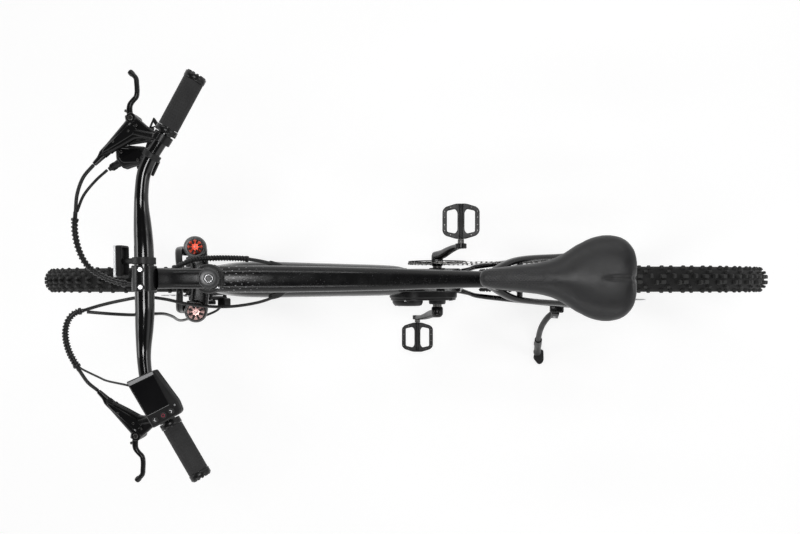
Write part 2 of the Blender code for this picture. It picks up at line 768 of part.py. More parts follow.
LEVER_Z = 1.0105
LEVER_PIVOT = (0.3985, 0.2680)
LEVER_LINE = ((0.3985, 0.2680), (0.4095, 0.2830), (0.4065, 0.2930), (0.3990, 0.3010),
              (0.3970, 0.3160), (0.3995, 0.3310), (0.4085, 0.3480))
CYLINDER_LINE = ((0.3990, 0.2640), (0.4430, 0.2150), (0.4665, 0.1930))


def make_brake(side, name):
    """Brake lever: cylinder body clamped to the bar, and the blade under its pivot."""
    z = GRIP_Z - 0.006
    a, b, c = [point(x, side * y, z) for x, y in CYLINDER_LINE]
    body = united(cone(a, b, 0.0105, 0.0100, 10), cone(b - (b - a) * 0.01, c, 0.0070, 0.0042, 8))
    place, _, band = bar_clamp(side, 0.2335, 0.014)
    neck_end = a.lerp(b, 0.30)
    neck_start = place + (neck_end - place).normalized() * 0.0145
    body = united(band, cone(neck_start, neck_end, 0.0075, 0.0085, 8), body)
    pivot = point(LEVER_PIVOT[0], side * LEVER_PIVOT[1], 0)
    boss = bar(pivot + point(0, 0, LEVER_Z + 0.0052), pivot + point(0, 0, z + 0.008), 0.0085, 8)
    body = united(body, boss)
    named(body, "brake_body_" + name, "satin_black")
    blade = [point(x, side * y, LEVER_Z) for x, y in LEVER_LINE]
    widths = (0.009, 0.010, 0.009, 0.008, 0.008, 0.008, 0.009)
    lever = tube_loft([(p, 0.0085, w) for p, w in zip(blade, widths)], side=(0, 0, 1), sides=6,
                      squareness=0.8)
    tip = bar(blade[-1] - point(0, 0, 0.0044), blade[-1] + point(0, 0, 0.0044), 0.0062, 8)
    eye = bar(pivot + point(0, 0, LEVER_Z - 0.0045), pivot + point(0, 0, LEVER_Z + 0.0046), 0.0080, 8)
    named(united(lever, tip, eye), "brake_lever_" + name, "satin_black")


SHIFTER_CENTRE = point(0.4125, -0.2090, 0.9960)
SHIFTER_SIZE = (0.053, 0.040, 0.019)
PADDLE_HALF = 0.0022
PADDLE_HUB_R = 0.008
TRIGGER_END = point(0.3790, -0.2780, 0.984)
THUMB_END = point(0.3740, -0.1830, 0.9785)
TRIGGER_PIVOT = point(0.398, -0.2060, 0.9830)
THUMB_PIVOT = point(0.406, -0.1960, 0.9775)


def make_shifter():
    """Gear shifter under the bar, its finger trigger and its thumb lever."""
    pod = box(SHIFTER_SIZE, SHIFTER_CENTRE, bevel=0.005)
    place, _, band = bar_clamp(-1, 0.2050, 0.010, 0.0150)
    neck = bar(place + point(0.0106, -0.002, -0.0106), SHIFTER_CENTRE + point(-0.012, 0.004, 0),
               0.0050, 8)
    adjuster = cone(SHIFTER_CENTRE + point(0.020, 0.006, 0),
                    SHIFTER_CENTRE + point(0.043, 0.020, 0.001), 0.0065, 0.0045, 8)
    named(united(band, neck, pod, adjuster), "shifter_body", "black_plastic")
    half = point(0, 0, PADDLE_HALF)
    trigger = united(bar(TRIGGER_PIVOT - half, TRIGGER_PIVOT + half, PADDLE_HUB_R, 8),
                     tube_loft(((TRIGGER_PIVOT, 0.004, 0.012), (point(0.388, -0.240, 0.983), 0.004, 0.010),
                                (TRIGGER_END, 0.004, 0.016)), side=(0, 0, 1), sides=6))
    named(trigger, "shift_trigger", "black_plastic")
    thumb = united(bar(THUMB_PIVOT - half, THUMB_PIVOT + half, PADDLE_HUB_R, 8),
                   tube_loft(((THUMB_PIVOT, 0.004, 0.012), (point(0.388, -0.186, 0.9775), 0.004, 0.010),
                              (THUMB_END, 0.0042, 0.016)), side=(0, 0, 1), sides=6))
    named(thumb, "shift_thumb_lever", "black_plastic")


DISPLAY_CENTRE = point(0.3500, 0.1975, 1.0660)
DISPLAY_RUN = Vector((-0.542, 0.840, 0.0))
DISPLAY_SIZE = (0.080, 0.052, 0.015)
BUTTON_SPACING = 0.0150
BUTTON_R = 0.0052
BUTTONS = ("minus", "power", "plus")


def button_seat(place):
    """Centre of a button on the display's face; place counts across from the middle one."""
    across = Vector((0, 0, 1)).cross(DISPLAY_RUN)
    seat = DISPLAY_CENTRE + DISPLAY_RUN * (DISPLAY_SIZE[0] / 2 - 0.0100)
    return seat + across * BUTTON_SPACING * place + point(0, 0, DISPLAY_SIZE[2] / 2)


def make_display():
    """Display unit over the left of the bar with three buttons on its rear edge."""
    turn = basis(DISPLAY_RUN, Vector((0, 0, 1)).cross(DISPLAY_RUN))
    body = box(DISPLAY_SIZE, DISPLAY_CENTRE, turn, bevel=0.003)
    place, _, band = bar_clamp(1, 0.1960, 0.012)
    post = bar(place + point(0, 0, 0.0135), point(place.x, place.y, DISPLAY_CENTRE.z - 0.006), 0.007, 8)
    body = united(band, post, body)
    for i, name in enumerate(BUTTONS):
        seat = button_seat(i - 1)
        body = cut(body, bar(seat - point(0, 0, 0.0030), seat + point(0, 0, 0.005), BUTTON_R + GAP, 8))
        cap = bar(seat - point(0, 0, 0.0015), seat + point(0, 0, 0.0012), BUTTON_R, 8)
        named(cap, "button_" + name, "rubber")
    named(body, "display", "screen_glass")


REFLECTOR_Y = -0.0300
REFLECTOR_SIZE = (0.0145, 0.055, 0.032)


def make_reflector():
    """Front reflector on an arm clamped to the bar right of the stem."""
    y = REFLECTOR_Y
    band = ring(BAR_CENTRE + point(0, y, 0), (0, 1, 0), bore_radius(BAR_R_CENTRE), 0.0195, 0.012, 12)
    arm = bar(BAR_CENTRE + point(0.0183, y, 0), point(0.4320, y, 1.0000), 0.0045, 8)
    housing = box(REFLECTOR_SIZE, (0.4365, y, 0.997), bevel=0.004)
    named(united(band, arm, housing), "front_reflector", "black_plastic")


def make_fork_caps():
    """Turning caps on the two fork legs: lockout on the right, preload on the left."""
    seat_s = CROWN_S[1] + 0.0060 + GAP
    for y, name, finish, r in ((-LEG_Y, "lockout_knob", "red_cap", 0.0145),
                               (LEG_Y, "preload_knob", "pink_cap", 0.0165)):
        cap = spun(((0.0, 0.0150), (r - 0.004, 0.0150), (r, 0.0110), (r, 0.0), (0.0, 0.0)),
                   on_steering(seat_s, LEG_OFFSET, y), STEER_UP, 12)
        named(cap, name, finish)


# Wheels

RING_STEPS = 24


def make_wheel(hub, name, flanges, rotor_y, end_y, driver):
    """Tyre, rim, laced hub and brake rotor of one wheel."""
    tread = WHEEL_R / math.cos(math.pi / RING_STEPS)
    half = TYRE_WIDTH / 2
    bead = RIM_OUTER_R + GAP
    tyre = turned(((tread, TYRE_FLAT / 2), (tread, -TYRE_FLAT / 2), (tread - 0.008, -0.0240),
                   (0.329, -half), (bead, -0.0150), (bead, 0.0150), (0.329, half),
                   (tread - 0.008, 0.0240)), (0, 0, 0), (0, 1, 0), RING_STEPS)
    rim = turned(((RIM_OUTER_R, 0.0148), (RIM_OUTER_R, -0.0148), (0.2890, -0.0145),
                  (RIM_INNER_R, -0.0060), (RIM_INNER_R, 0.0060), (0.2890, 0.0145)),
                 (0, 0, 0), (0, 1, 0), RING_STEPS)
    bottom = min((v.co for v in tyre.data.vertices), key=lambda co: co.z)
    leaning = abs(math.atan2(bottom.x, -bottom.z)) < math.radians(1)
    spin = math.pi / RING_STEPS if leaning else 0.0
    for shape in (tyre, rim):
        shape.data.transform(Matrix.Translation(hub) @ Matrix.Rotation(spin, 4, "Y"))
    named(tyre, name + "_tyre", "rubber")
    named(rim, name + "_rim", "black_paint")
    right, left = flanges
    profile = [(0.0100, end_y), (0.0100, rotor_y + 0.002), (0.0195, rotor_y + 0.0020),
               (0.0195, rotor_y - 0.004), (FLANGE_R, left + 0.0016), (FLANGE_R, left - 0.0016),
               (HUB_R - 0.002, left - 0.006), (HUB_R - 0.002, right + 0.006),
               (FLANGE_R, right + 0.0016), (FLANGE_R, right - 0.0016),
               (DRIVER_R, right - 0.0030)]
    if driver:
        profile += [(DRIVER_R, -0.0575), (0.0100, -0.0575)]
    profile += [(0.0100, -end_y), (0.0058, -end_y), (0.0058, end_y)]
    shell = turned(profile, hub, (0, 1, 0), 10)
    tip_r = RIM_INNER_R * math.cos(math.pi / RING_STEPS) - 0.0012
    wires = []
    for i in range(SPOKES):
        flange = (left, right)[i % 2]
        lean = 1 if i % 4 < 2 else -1
        seat = 2 * math.pi * i / SPOKES
        tip = seat + lean * math.radians(62)
        skew = 0.0018 * lean
        edge = (1 if flange == left else -1) * 0.0035 + 0.0013 * lean
        start = hub + point((FLANGE_R - 0.003) * math.cos(seat), flange + skew,
                            (FLANGE_R - 0.003) * math.sin(seat))
        end = hub + point(tip_r * math.cos(tip), edge, tip_r * math.sin(tip))
        wires.append(bar(start, end, SPOKE_R, 3))
    named(united(shell, joined(wires)), name + "_hub", "steel")
    windows = []
    for i in range(6):
        a = 60 * i
        windows.append(arc((0, 0), 0.0635, a + 8, a + 44, 2) + arc((0, 0), 0.0300, a + 40, a + 12, 2))
    disc = plate(circle((0, 0), ROTOR_R, 20), ROTOR_THICK,
                 side_plane(hub.y + rotor_y, (hub.x, hub.z)),
                 [circle((0, 0), 0.0195 + GAP, 10)] + windows)
    named(disc, name + "_rotor", "steel")


def caliper(centre, turn, y_range, size):
    """Block of a brake caliper between two widths."""
    low, high = y_range
    return box((size[0], high - low, size[1]), (centre.x, (low + high) / 2, centre.z), turn, bevel=0.005)


def rotor_slot(hub, y):
    """Round space in which a brake rotor runs."""
    return bar(hub + point(0, y - SLOT_HALF, 0), hub + point(0, y + SLOT_HALF, 0), ROTOR_R + 0.0012, 32)


def make_front_caliper():
    """Caliper behind the left fork leg."""
    centre = FRONT_AXLE + point(-0.076, 0, 0.044)
    turn = basis((0.55, 0, 0.83), (0, 1, 0))
    block = caliper(centre, turn, (0.0255, 0.0495), (0.056, 0.034))
    body = box((0.022, 0.024, 0.030), centre + point(-0.0230, 0.0570, -0.0040), turn, bevel=0.004)
    slot = rotor_slot(FRONT_AXLE, FRONT_ROTOR_Y)
    named(cut(united(block, body), slot), "front_caliper", "satin_black")


def make_rear_caliper():
    """Caliper between the left stays, with the end of its hose."""
    centre = REAR_AXLE + point(0.052, 0, 0.040)
    turn = basis((0.6, 0, -0.8), (0, 1, 0))
    block = caliper(centre, turn, (0.0345, 0.0595), (0.050, 0.032))
    block = cut(block, rotor_slot(REAR_AXLE, REAR_ROTOR_Y))
    hose = smooth_line(((-0.490, 0.0540, 0.398), (-0.455, 0.0540, 0.398), (-0.430, 0.0560, 0.378),
                        (-0.408, 0.0580, 0.352)), 0.015)
    named(united(block, rod(hose, 0.0025, 1)), "rear_caliper", "satin_black")


def make_axles():
    """Axles with the nuts that hold the wheels."""
    for hub, name, face in ((FRONT_AXLE, "front_axle", 0.0640), (REAR_AXLE, "rear_axle", 0.0718)):
        shape = bar(hub + point(0, -face - 0.008, 0), hub + point(0, face + 0.008, 0), 0.0045, 8)
        for side in (-1, 1):
            inner = hub + point(0, side * (face + GAP), 0)
            shape = united(shape, bar(inner, inner + point(0, side * 0.0065, 0), 0.0090, 6))
        named(shape, name, "dark_steel")


# Drive

JOCKEY_UPPER = point(-0.560, CHAINLINE_Y, 0.262)
JOCKEY_LOWER = point(-0.527, CHAINLINE_Y, 0.212)
CHAIN_THICK = 0.0030
CHAIN_WIDTH = 0.0066
TOOTH_ADD = 0.0008
CHAIN_OFFSET = TOOTH_ADD + 0.0007 + CHAIN_THICK / 2


def chain_loop(grow):
    """Outline of the chain, moved outwards by grow, as (x, z) pairs."""
    circles = [
        ((BOTTOM_BRACKET.x, BOTTOM_BRACKET.z), pitch_radius(CHAINRING_TEETH) + CHAIN_OFFSET, 17),
        ((REAR_AXLE.x, REAR_AXLE.z), pitch_radius(COG_TEETH) + CHAIN_OFFSET, 10),
        ((JOCKEY_UPPER.x, JOCKEY_UPPER.z), -pitch_radius(JOCKEY_TEETH) - CHAIN_OFFSET, 7),
        ((JOCKEY_LOWER.x, JOCKEY_LOWER.z), pitch_radius(JOCKEY_TEETH) + CHAIN_OFFSET, 8),
    ]
    headings = []
    for i in range(4):
        (x0, z0), r0, _ = circles[i]
        (x1, z1), r1, _ = circles[(i + 1) % 4]
        reach = math.hypot(x1 - x0, z1 - z0)
        headings.append(math.atan2(z1 - z0, x1 - x0) - math.asin((r1 - r0) / reach))
    loop = []
    for i in range(4):
        (x, z), r, count = circles[i]
        arrive = headings[i - 1]
        leave = headings[i]
        turn = (leave - arrive) % (2 * math.pi)
        if r < 0:
            turn -= 2 * math.pi
        for step in range(count):
            heading = arrive + turn * step / (count - 1)
            reach = r + grow
            loop.append((x + reach * math.sin(heading), z - reach * math.cos(heading)))
    return loop


def toothed(teeth, valley=0.0040):
    """Outline of a sprocket: straight-sided teeth about its pitch circle."""
    rows = []
    for i in range(teeth):
        a = 2 * math.pi * i / teeth
        step = 2 * math.pi / teeth
        for shift, r in ((-0.25, -valley), (0.25, TOOTH_ADD)):
            reach = pitch_radius(teeth) + r
            rows.append((reach * math.cos(a + shift * step), reach * math.sin(a + shift * step)))
    return rows


def make_chain():
    """Chain round the chainring, a cog and the two jockey wheels."""
    outer = chain_loop(CHAIN_THICK / 2)
    inner = chain_loop(-CHAIN_THICK / 2)
    named(frame_plate(outer, CHAINLINE_Y, CHAIN_WIDTH, (inner,)), "chain", "dark_steel")


GUARD_Y = CHAINLINE_Y - 0.0051
BOSS_R = 0.0155


def make_chainring():
    """Toothed ring and its outer guard on a four-armed spider."""
    place = (BOTTOM_BRACKET.x, BOTTOM_BRACKET.z)
    windows = []
    for i in range(4):
        a = 90 * i
        windows.append(arc((0, 0), 0.0600, a + 12, a + 78, 5) + arc((0, 0), 0.0270, a + 66, a + 24, 3))
    teeth = plate(toothed(CHAINRING_TEETH), 0.0022, side_plane(CHAINLINE_Y, place),
                  [circle((0, 0), BOSS_R + GAP, 12)] + windows)
    guard = plate(circle((0, 0), 0.0775, 28), 0.0022, side_plane(GUARD_Y, place),
                  [circle((0, 0), 0.0605, 20)])
    spacers = []
    for i in range(4):
        a = math.radians(90 * i)
        seat = BOTTOM_BRACKET + point(0.0645 * math.cos(a), 0, 0.0645 * math.sin(a))
        spacers.append(bar(seat + point(0, CHAINLINE_Y, 0), seat + point(0, GUARD_Y, 0), 0.0030, 6))
    named(united(teeth, guard, *spacers), "chainring", "dark_steel")


def crank_end(lean):
    """Offset from the bottom bracket to the pedal hole of a crank."""
    return CRANK_LENGTH * point(-math.sin(CRANK_LEAN) * lean, 0, math.cos(CRANK_LEAN) * lean)


def make_crank(side, name):
    """Crank arm with its boss and pedal spindle; the right one carries the shaft."""
    end = crank_end(-side)
    if side < 0:
        boss_y = (-0.0385, -0.0740)
        arm = (-0.0670, -0.0830)
        pedal = (RIGHT_PEDAL_Y, -1)
    else:
        boss_y = (0.0700, 0.0960)
        arm = (0.0880, 0.1055)
        pedal = (LEFT_PEDAL_Y, 1)
    hub = BOTTOM_BRACKET
    boss = bar(hub + point(0, boss_y[0], 0), hub + point(0, boss_y[1], 0), BOSS_R, 12)
    run = [(hub + point(0, arm[0], 0), 0.014, 0.028),
           (hub + end * 0.3 + point(0, arm[0] * 0.85 + arm[1] * 0.15, 0), 0.0115, 0.024),
           (hub + end * 0.75 + point(0, arm[0] * 0.1 + arm[1] * 0.9, 0), 0.0110, 0.022),
           (hub + end + point(0, arm[1], 0), 0.0115, 0.022)]
    shape = united(boss, tube_loft(run, sides=8, squareness=0.7))
    foot = hub + end
    eye_half = point(0, 0.006, 0)
    eye_place = foot + point(0, arm[1], 0)
    eye = bar(eye_place - side * eye_half, eye_place + side * eye_half, 0.0140, 12)
    inner = pedal[0] - side * PEDAL_WIDTH / 2
    flange = bar(foot + point(0, arm[1], 0), foot + point(0, inner - side * 0.001, 0), 0.0080, 8)
    spindle = bar(foot + point(0, arm[1], 0), foot + point(0, inner + side * 0.060, 0), PEDAL_PIN_R, 8)
    shape = united(shape, eye, flange, spindle)
    if side < 0:
        shaft = bar(hub + point(0, -0.060, 0), hub + point(0, 0.0925, 0), SPINDLE_R, 12)
        shape = united(shape, shaft)
    else:
        shape = cut(shape, bar(hub + point(0, 0.06, 0), hub + point(0, 0.0930, 0), SPINDLE_R + GAP, 12))
    named(shape, "crank_" + name, "satin_black")


def make_pedal(side, name):
    """Platform pedal: a frame with two openings beside its axle body."""
    foot = BOTTOM_BRACKET + crank_end(-side)
    middle = RIGHT_PEDAL_Y if side < 0 else LEFT_PEDAL_Y
    centre = point(foot.x, middle, foot.z)
    half_x = PEDAL_LENGTH / 2
    half_y = PEDAL_WIDTH / 2
    outline = [(-half_x, -0.030), (-0.034, -half_y), (0.034, -half_y), (half_x, -0.030),
               (half_x, 0.030), (0.034, half_y), (-0.034, half_y), (-half_x, 0.030)]
    windows = []
    for sign in (-1, 1):
        windows.append([(sign * 0.012, -0.033), (sign * 0.034, -0.033), (sign * 0.037, -0.028),
                        (sign * 0.037, 0.028), (sign * 0.034, 0.033), (sign * 0.012, 0.033)])
    body = plate(outline, 0.0140, Matrix.Translation(centre), windows)
    sleeve = bar(centre + point(0, -half_y + 0.001, 0), centre + point(0, half_y - 0.001, 0), 0.0105, 8)
    inner = middle - side * half_y
    bore = bar((foot.x, inner - side * 0.01, foot.z), (foot.x, inner + side * 0.0605, foot.z),
               bore_radius(PEDAL_PIN_R, 8), 8)
    named(cut(united(body, sleeve), bore), "pedal_" + name, "satin_black")


COGS = (34, 28, 24, 21, 18, 15, 13, 11)
COG_PITCH = 0.0048
COG_THICK = 0.0018
COG_SIDES = 12


def make_cassette():
    """Stack of cogs as a stepped turned body round the hub's driver."""
    profile = []
    start = CHAINLINE_Y + 4 * COG_PITCH + COG_THICK / 2
    for i, teeth in enumerate(COGS):
        end = CHAINLINE_Y + (4 - i) * COG_PITCH - COG_THICK / 2
        reach = pitch_radius(teeth) + TOOTH_ADD
        profile += [(reach, start), (reach, end)]
        start = end
    inner = bore_radius(DRIVER_R, COG_SIDES)
    profile += [(inner, start), (inner, profile[0][1])]
    named(turned(profile, REAR_AXLE, (0, 1, 0), COG_SIDES), "cassette", "steel")


def make_derailleur():
    """Rear derailleur: hanging body and link, cage plates, and two jockey wheels."""
    hang = point(-0.560, -DROPOUT_Y - 0.004 - GAP, 0.318)
    knuckle = point(JOCKEY_UPPER.x, -0.0620, JOCKEY_UPPER.z)
    body = bar(hang, hang + point(0, -0.016, 0), 0.0100, 10)
    link = tube_loft(((hang + point(0.002, -0.010, -0.002), 0.013, 0.020),
                      (hang + point(0.010, -0.009, -0.028), 0.015, 0.022),
                      (knuckle + point(0.002, -0.004, 0.004), 0.014, 0.020)), sides=8, squareness=0.6)
    low = bar(knuckle + point(0, -0.016, 0), point(knuckle.x, -0.0495, knuckle.z), 0.0125, 10)
    cable = smooth_line(((-0.545, -0.0800, 0.292), (-0.515, -0.0800, 0.300), (-0.488, -0.0785, 0.318),
                         (-0.462, -0.0760, 0.334)), 0.016)
    body = united(body, link, low, rod(cable, 0.0022, 1))
    corners = ((JOCKEY_UPPER, 0.010, 0.006), (JOCKEY_UPPER, -0.004, 0.010), (JOCKEY_UPPER, -0.010, 0.0),
               (JOCKEY_LOWER, -0.010, -0.004), (JOCKEY_LOWER, 0.0, -0.010), (JOCKEY_LOWER, 0.009, -0.002))
    outline = [(wheel.x + x, wheel.z + z) for wheel, x, z in corners]
    inner_plate = frame_plate(outline, CHAINLINE_Y + 0.0060, 0.0016)
    outer_plate = frame_plate(outline, CHAINLINE_Y - 0.0060, 0.0016)
    cage = outer_plate
    for seat in (JOCKEY_UPPER, JOCKEY_LOWER):
        cage = united(cage, bar(seat + point(0, -0.0066, 0), seat + point(0, 0.0066, 0), 0.0032, 8))
    named(united(body, cage, inner_plate), "rear_derailleur", "satin_black")
    for seat, name in ((JOCKEY_UPPER, "jockey_wheel_upper"), (JOCKEY_LOWER, "jockey_wheel_lower")):
        wheel = plate(toothed(JOCKEY_TEETH), 0.0024, side_plane(seat.y, (seat.x, seat.z)),
                      (circle((0, 0), 0.0032 + GAP, 8),))
        named(wheel, name, "black_plastic")


# Saddle and seatpost

CLAMP_X = -0.3120
RAIL_Z = 0.8740
RAIL_R = 0.0035
RAIL_Y = 0.0215
SADDLE_STATIONS = (
    (-0.1875, 0.0090, 0.934, 0.918),
    (-0.2020, 0.0175, 0.939, 0.906),
    (-0.2450, 0.0220, 0.942, 0.901),
    (-0.3050, 0.0330, 0.943, 0.901),
    (-0.3450, 0.0530, 0.944, 0.902),
    (-0.3850, 0.0720, 0.947, 0.903),
    (-0.4280, 0.0760, 0.952, 0.906),
    (-0.4560, 0.0460, 0.948, 0.917),
)


def saddle_ring(x, half, top, low):
    """Outline across the saddle: crowned on top, widest below the middle, drawn in beneath."""
    depth = top - low
    rows = ((0.0, 1.0), (0.52, 0.96), (0.95, 0.66), (0.99, 0.20), (0.60, 0.0), (0.0, 0.0))
    right = [point(x, -half * a, low + depth * b) for a, b in rows]
    left = [point(x, half * a, low + depth * b) for a, b in rows[-2:0:-1]]
    return right + left


def make_saddle():
    """Padded cover, moulded shell with its rails, and the post's clamp head."""
    cushion = loft([saddle_ring(*row) for row in SADDLE_STATIONS])
    soft = cushion.modifiers.new("soft", "SUBSURF")
    soft.levels = 1
    soft.render_levels = 1
    cushion = baked(cushion)
    named(cushion, "saddle_cushion", "cover_vinyl")
    inset = 0.006
    rows = []
    for x, half, _, low in SADDLE_STATIONS[1:-1]:
        shape = max(half - inset, 0.008)
        floor = 0.8955
        rows.append([point(x, -shape, floor - 0.004), point(x, shape, floor - 0.004),
                     point(x, shape * 0.96, floor), point(x, -shape * 0.96, floor)])
    shell = loft(rows)
    for y in (-1, 1):
        line = smooth_line(((-0.212, y * 0.010, 0.8925), (-0.240, y * 0.016, 0.8850),
                            (-0.275, y * RAIL_Y, RAIL_Z), (-0.310, y * RAIL_Y, RAIL_Z),
                            (-0.345, y * RAIL_Y, RAIL_Z), (-0.385, y * 0.030, 0.8820),
                            (-0.420, y * 0.036, 0.8930)), 0.030)
        shell = united(shell, rod(line, RAIL_R, 1))
    named(shell, "saddle_shell", "black_plastic")
    foot = SEAT_TOP - 0.135 * SEAT_UP
    top = SEAT_TOP + 0.136 * SEAT_UP
    post = united(bar(foot, top, SEATPOST_R, 12),
                  box((0.062, 0.032, 0.014), (CLAMP_X + 0.018, 0, RAIL_Z - 0.0125), bevel=0.003),
                  box((0.036, 0.056, 0.0050), (CLAMP_X, 0, RAIL_Z - 0.0068)),
                  box((0.036, 0.056, 0.0050), (CLAMP_X, 0, RAIL_Z + 0.0068), bevel=0.0012),
                  bar((CLAMP_X, 0, RAIL_Z - 0.016), (CLAMP_X, 0, RAIL_Z + 0.0115), 0.0045, 8))
    named(post, "seatpost", "satin_black")
    collar = ring(SEAT_TOP - 0.0070 * SEAT_UP, SEAT_UP, SEAT_TUBE_R + GAP, SEAT_TUBE_R + 0.0045,
                  0.015, 12)
    ear = box((0.014, 0.016, 0.014), SEAT_TOP - 0.0070 * SEAT_UP - 0.0270 * SEAT_AHEAD,
              basis(SEAT_AHEAD, (0, 1, 0)))
    bolt = bar(SEAT_TOP - 0.0070 * SEAT_UP - 0.0290 * SEAT_AHEAD + point(0, -0.0120, 0),
               SEAT_TOP - 0.0070 * SEAT_UP - 0.0290 * SEAT_AHEAD + point(0, 0.0120, 0), 0.0038, 8)
    named(united(collar, ear, bolt), "seat_clamp", "satin_black")


# Side stand

STAND_AXIS = Vector((0.09, 0.892, 0.442)).normalized()
STAND_LINE = ((-0.412, 0.083, 0.296), (-0.398, 0.102, 0.256), (-0.390, 0.130, 0.200),
              (-0.391, 0.165, 0.130), (-0.402, 0.222, 0.009))
STAND_PIN_R = 0.0035


def stand_cheeks():
    """Two cheeks and the pin that carry the stand, part of the frame."""
    turn = basis(STAND_AXIS, (1, 0, 0))
    shapes = []
    for side in (-1, 1):
        centre = STAND_PIVOT + side * 0.0135 * STAND_AXIS + 0.006 * point(1, 0, 0).cross(STAND_AXIS)
        shapes.append(box((0.0040, 0.020, 0.030), centre, turn))
    reach = 0.0150 * STAND_AXIS
    shapes.append(bar(STAND_PIVOT - reach, STAND_PIVOT + reach, STAND_PIN_R, 8))
    return shapes


def make_stand():
    """Folding leg of the side stand with its adjustable foot."""
    line = [Vector(p) for p in STAND_LINE]
    barrel = bar(STAND_PIVOT - 0.0105 * STAND_AXIS, STAND_PIVOT + 0.0105 * STAND_AXIS, 0.0095, 12)
    leg = rod(line, 0.0080, 2)
    sleeve = bar(line[3].lerp(line[4], 0.10), line[3].lerp(line[4], 0.92), 0.0100, 8)
    foot = plate([(-0.011, -0.026), (0.011, -0.026), (0.012, 0.010), (0.006, 0.020), (-0.006, 0.020),
                  (-0.012, 0.010)], 0.0100, Matrix.Translation((-0.4035, 0.232, 0.0050)))
    shape = united(leg, barrel, sleeve, foot)
    bore = bar(STAND_PIVOT - 0.02 * STAND_AXIS, STAND_PIVOT + 0.02 * STAND_AXIS,
               STAND_PIN_R + RUNNING_GAP, 8)
    named(cut(shape, bore), "kickstand", "satin_black")


# Cables and their wraps

HOSE_R = 0.0025
BUNDLE_R = 0.0033
WRAP_WIRE_R = 0.0010
WRAP_SLACK = 0.0010
WRAP_PITCH = 0.0140
WRAP_POINTS = 8
RIGHT_BUNDLE = ((0.5140, -0.1160, 1.0030), (0.5200, -0.0850, 0.9960), (0.5195, -0.0520, 0.9850),
                (0.5115, -0.0250, 0.9730), (0.4930, -0.0070, 0.9620), (0.4690, 0.0050, 0.9520),
                (0.4420, 0.0100, 0.9400), (0.4100, 0.0020, 0.9230), (0.3800, -0.0190, 0.9060),
                (0.3500, -0.0360, 0.8850), (0.3220, -0.0400, 0.8620), (0.2940, -0.0410, 0.8410),
                (0.2660, -0.0400, 0.8190), (0.2380, -0.0350, 0.7880), (0.2180, -0.0280, 0.7560))
RIGHT_HOSE = ((0.4680, -0.1920, 1.0260), (0.4900, -0.1720, 1.0200), (0.5055, -0.1450, 1.0120),
              (0.5140, -0.1160, 1.0030))
SHIFT_CABLE = ((0.4580, -0.1880, 0.9980), (0.4800, -0.1690, 0.9985), (0.5000, -0.1440, 1.0010),
               (0.5130, -0.1160, 1.0000))
LEFT_BUNDLE = ((0.5080, 0.1600, 1.0110), (0.5300, 0.1270, 1.0040), (0.5400, 0.0980, 0.9970),
               (0.5390, 0.0750, 0.9900), (0.5300, 0.0610, 0.9840), (0.5150, 0.0560, 0.9790))
LEFT_HOSE = ((0.4680, 0.1920, 1.0260), (0.4900, 0.1790, 1.0180), (0.5080, 0.1600, 1.0110))
DISPLAY_WIRE = ((0.3898, 0.1875, 1.0630), (0.4070, 0.1935, 1.0570), (0.4264, 0.1930, 1.0480),
                (0.4658, 0.1800, 1.0280), (0.5080, 0.1600, 1.0110))
CONTROL_CABLE = ((0.5150, 0.0560, 0.9790), (0.4870, 0.0470, 0.9720), (0.4548, 0.0390, 0.9620),
                 (0.4208, 0.0330, 0.9480), (0.3900, 0.0370, 0.9250), (0.3600, 0.0460, 0.9000),
                 (0.3250, 0.0520, 0.8740), (0.2900, 0.0530, 0.8480), (0.2550, 0.0480, 0.8150),
                 (0.2320, 0.0400, 0.7820), (0.2180, 0.0300, 0.7560))
FRONT_HOSE = ((0.5125, 0.0590, 0.9738), (0.4780, 0.0630, 0.9570), (0.4480, 0.0660, 0.9300),
              (0.4300, 0.0660, 0.8900), (0.4260, 0.0660, 0.8400), (0.4380, 0.0740, 0.7700),
              (0.4560, 0.0880, 0.7000), (0.4740, 0.0920, 0.6300), (0.4860, 0.0920, 0.5600),
              (0.4900, 0.0900, 0.5000), (0.4800, 0.0880, 0.4550), (0.4620, 0.0780, 0.4280),
              (0.4560, 0.0700, 0.4120))
RIGHT_WRAP_REACH = (0.012, 0.172)
HEAD_WRAP = ((0.3800, -0.0190, 0.9060), (0.3500, -0.0360, 0.8850), (0.3220, -0.0400, 0.8620),
             (0.2940, -0.0410, 0.8410))
HEAD_WRAP_R = 0.0058
LEFT_WRAP_REACH = (0.008, 0.112)


def cable_step(radius):
    """Distance between a cable's points, two or three diameters."""
    return max(radius * 6, 0.012)


def cable(points, radius, resolution=2):
    """Cable along its route."""
    return rod(smooth_line(points, cable_step(radius)), radius, resolution)


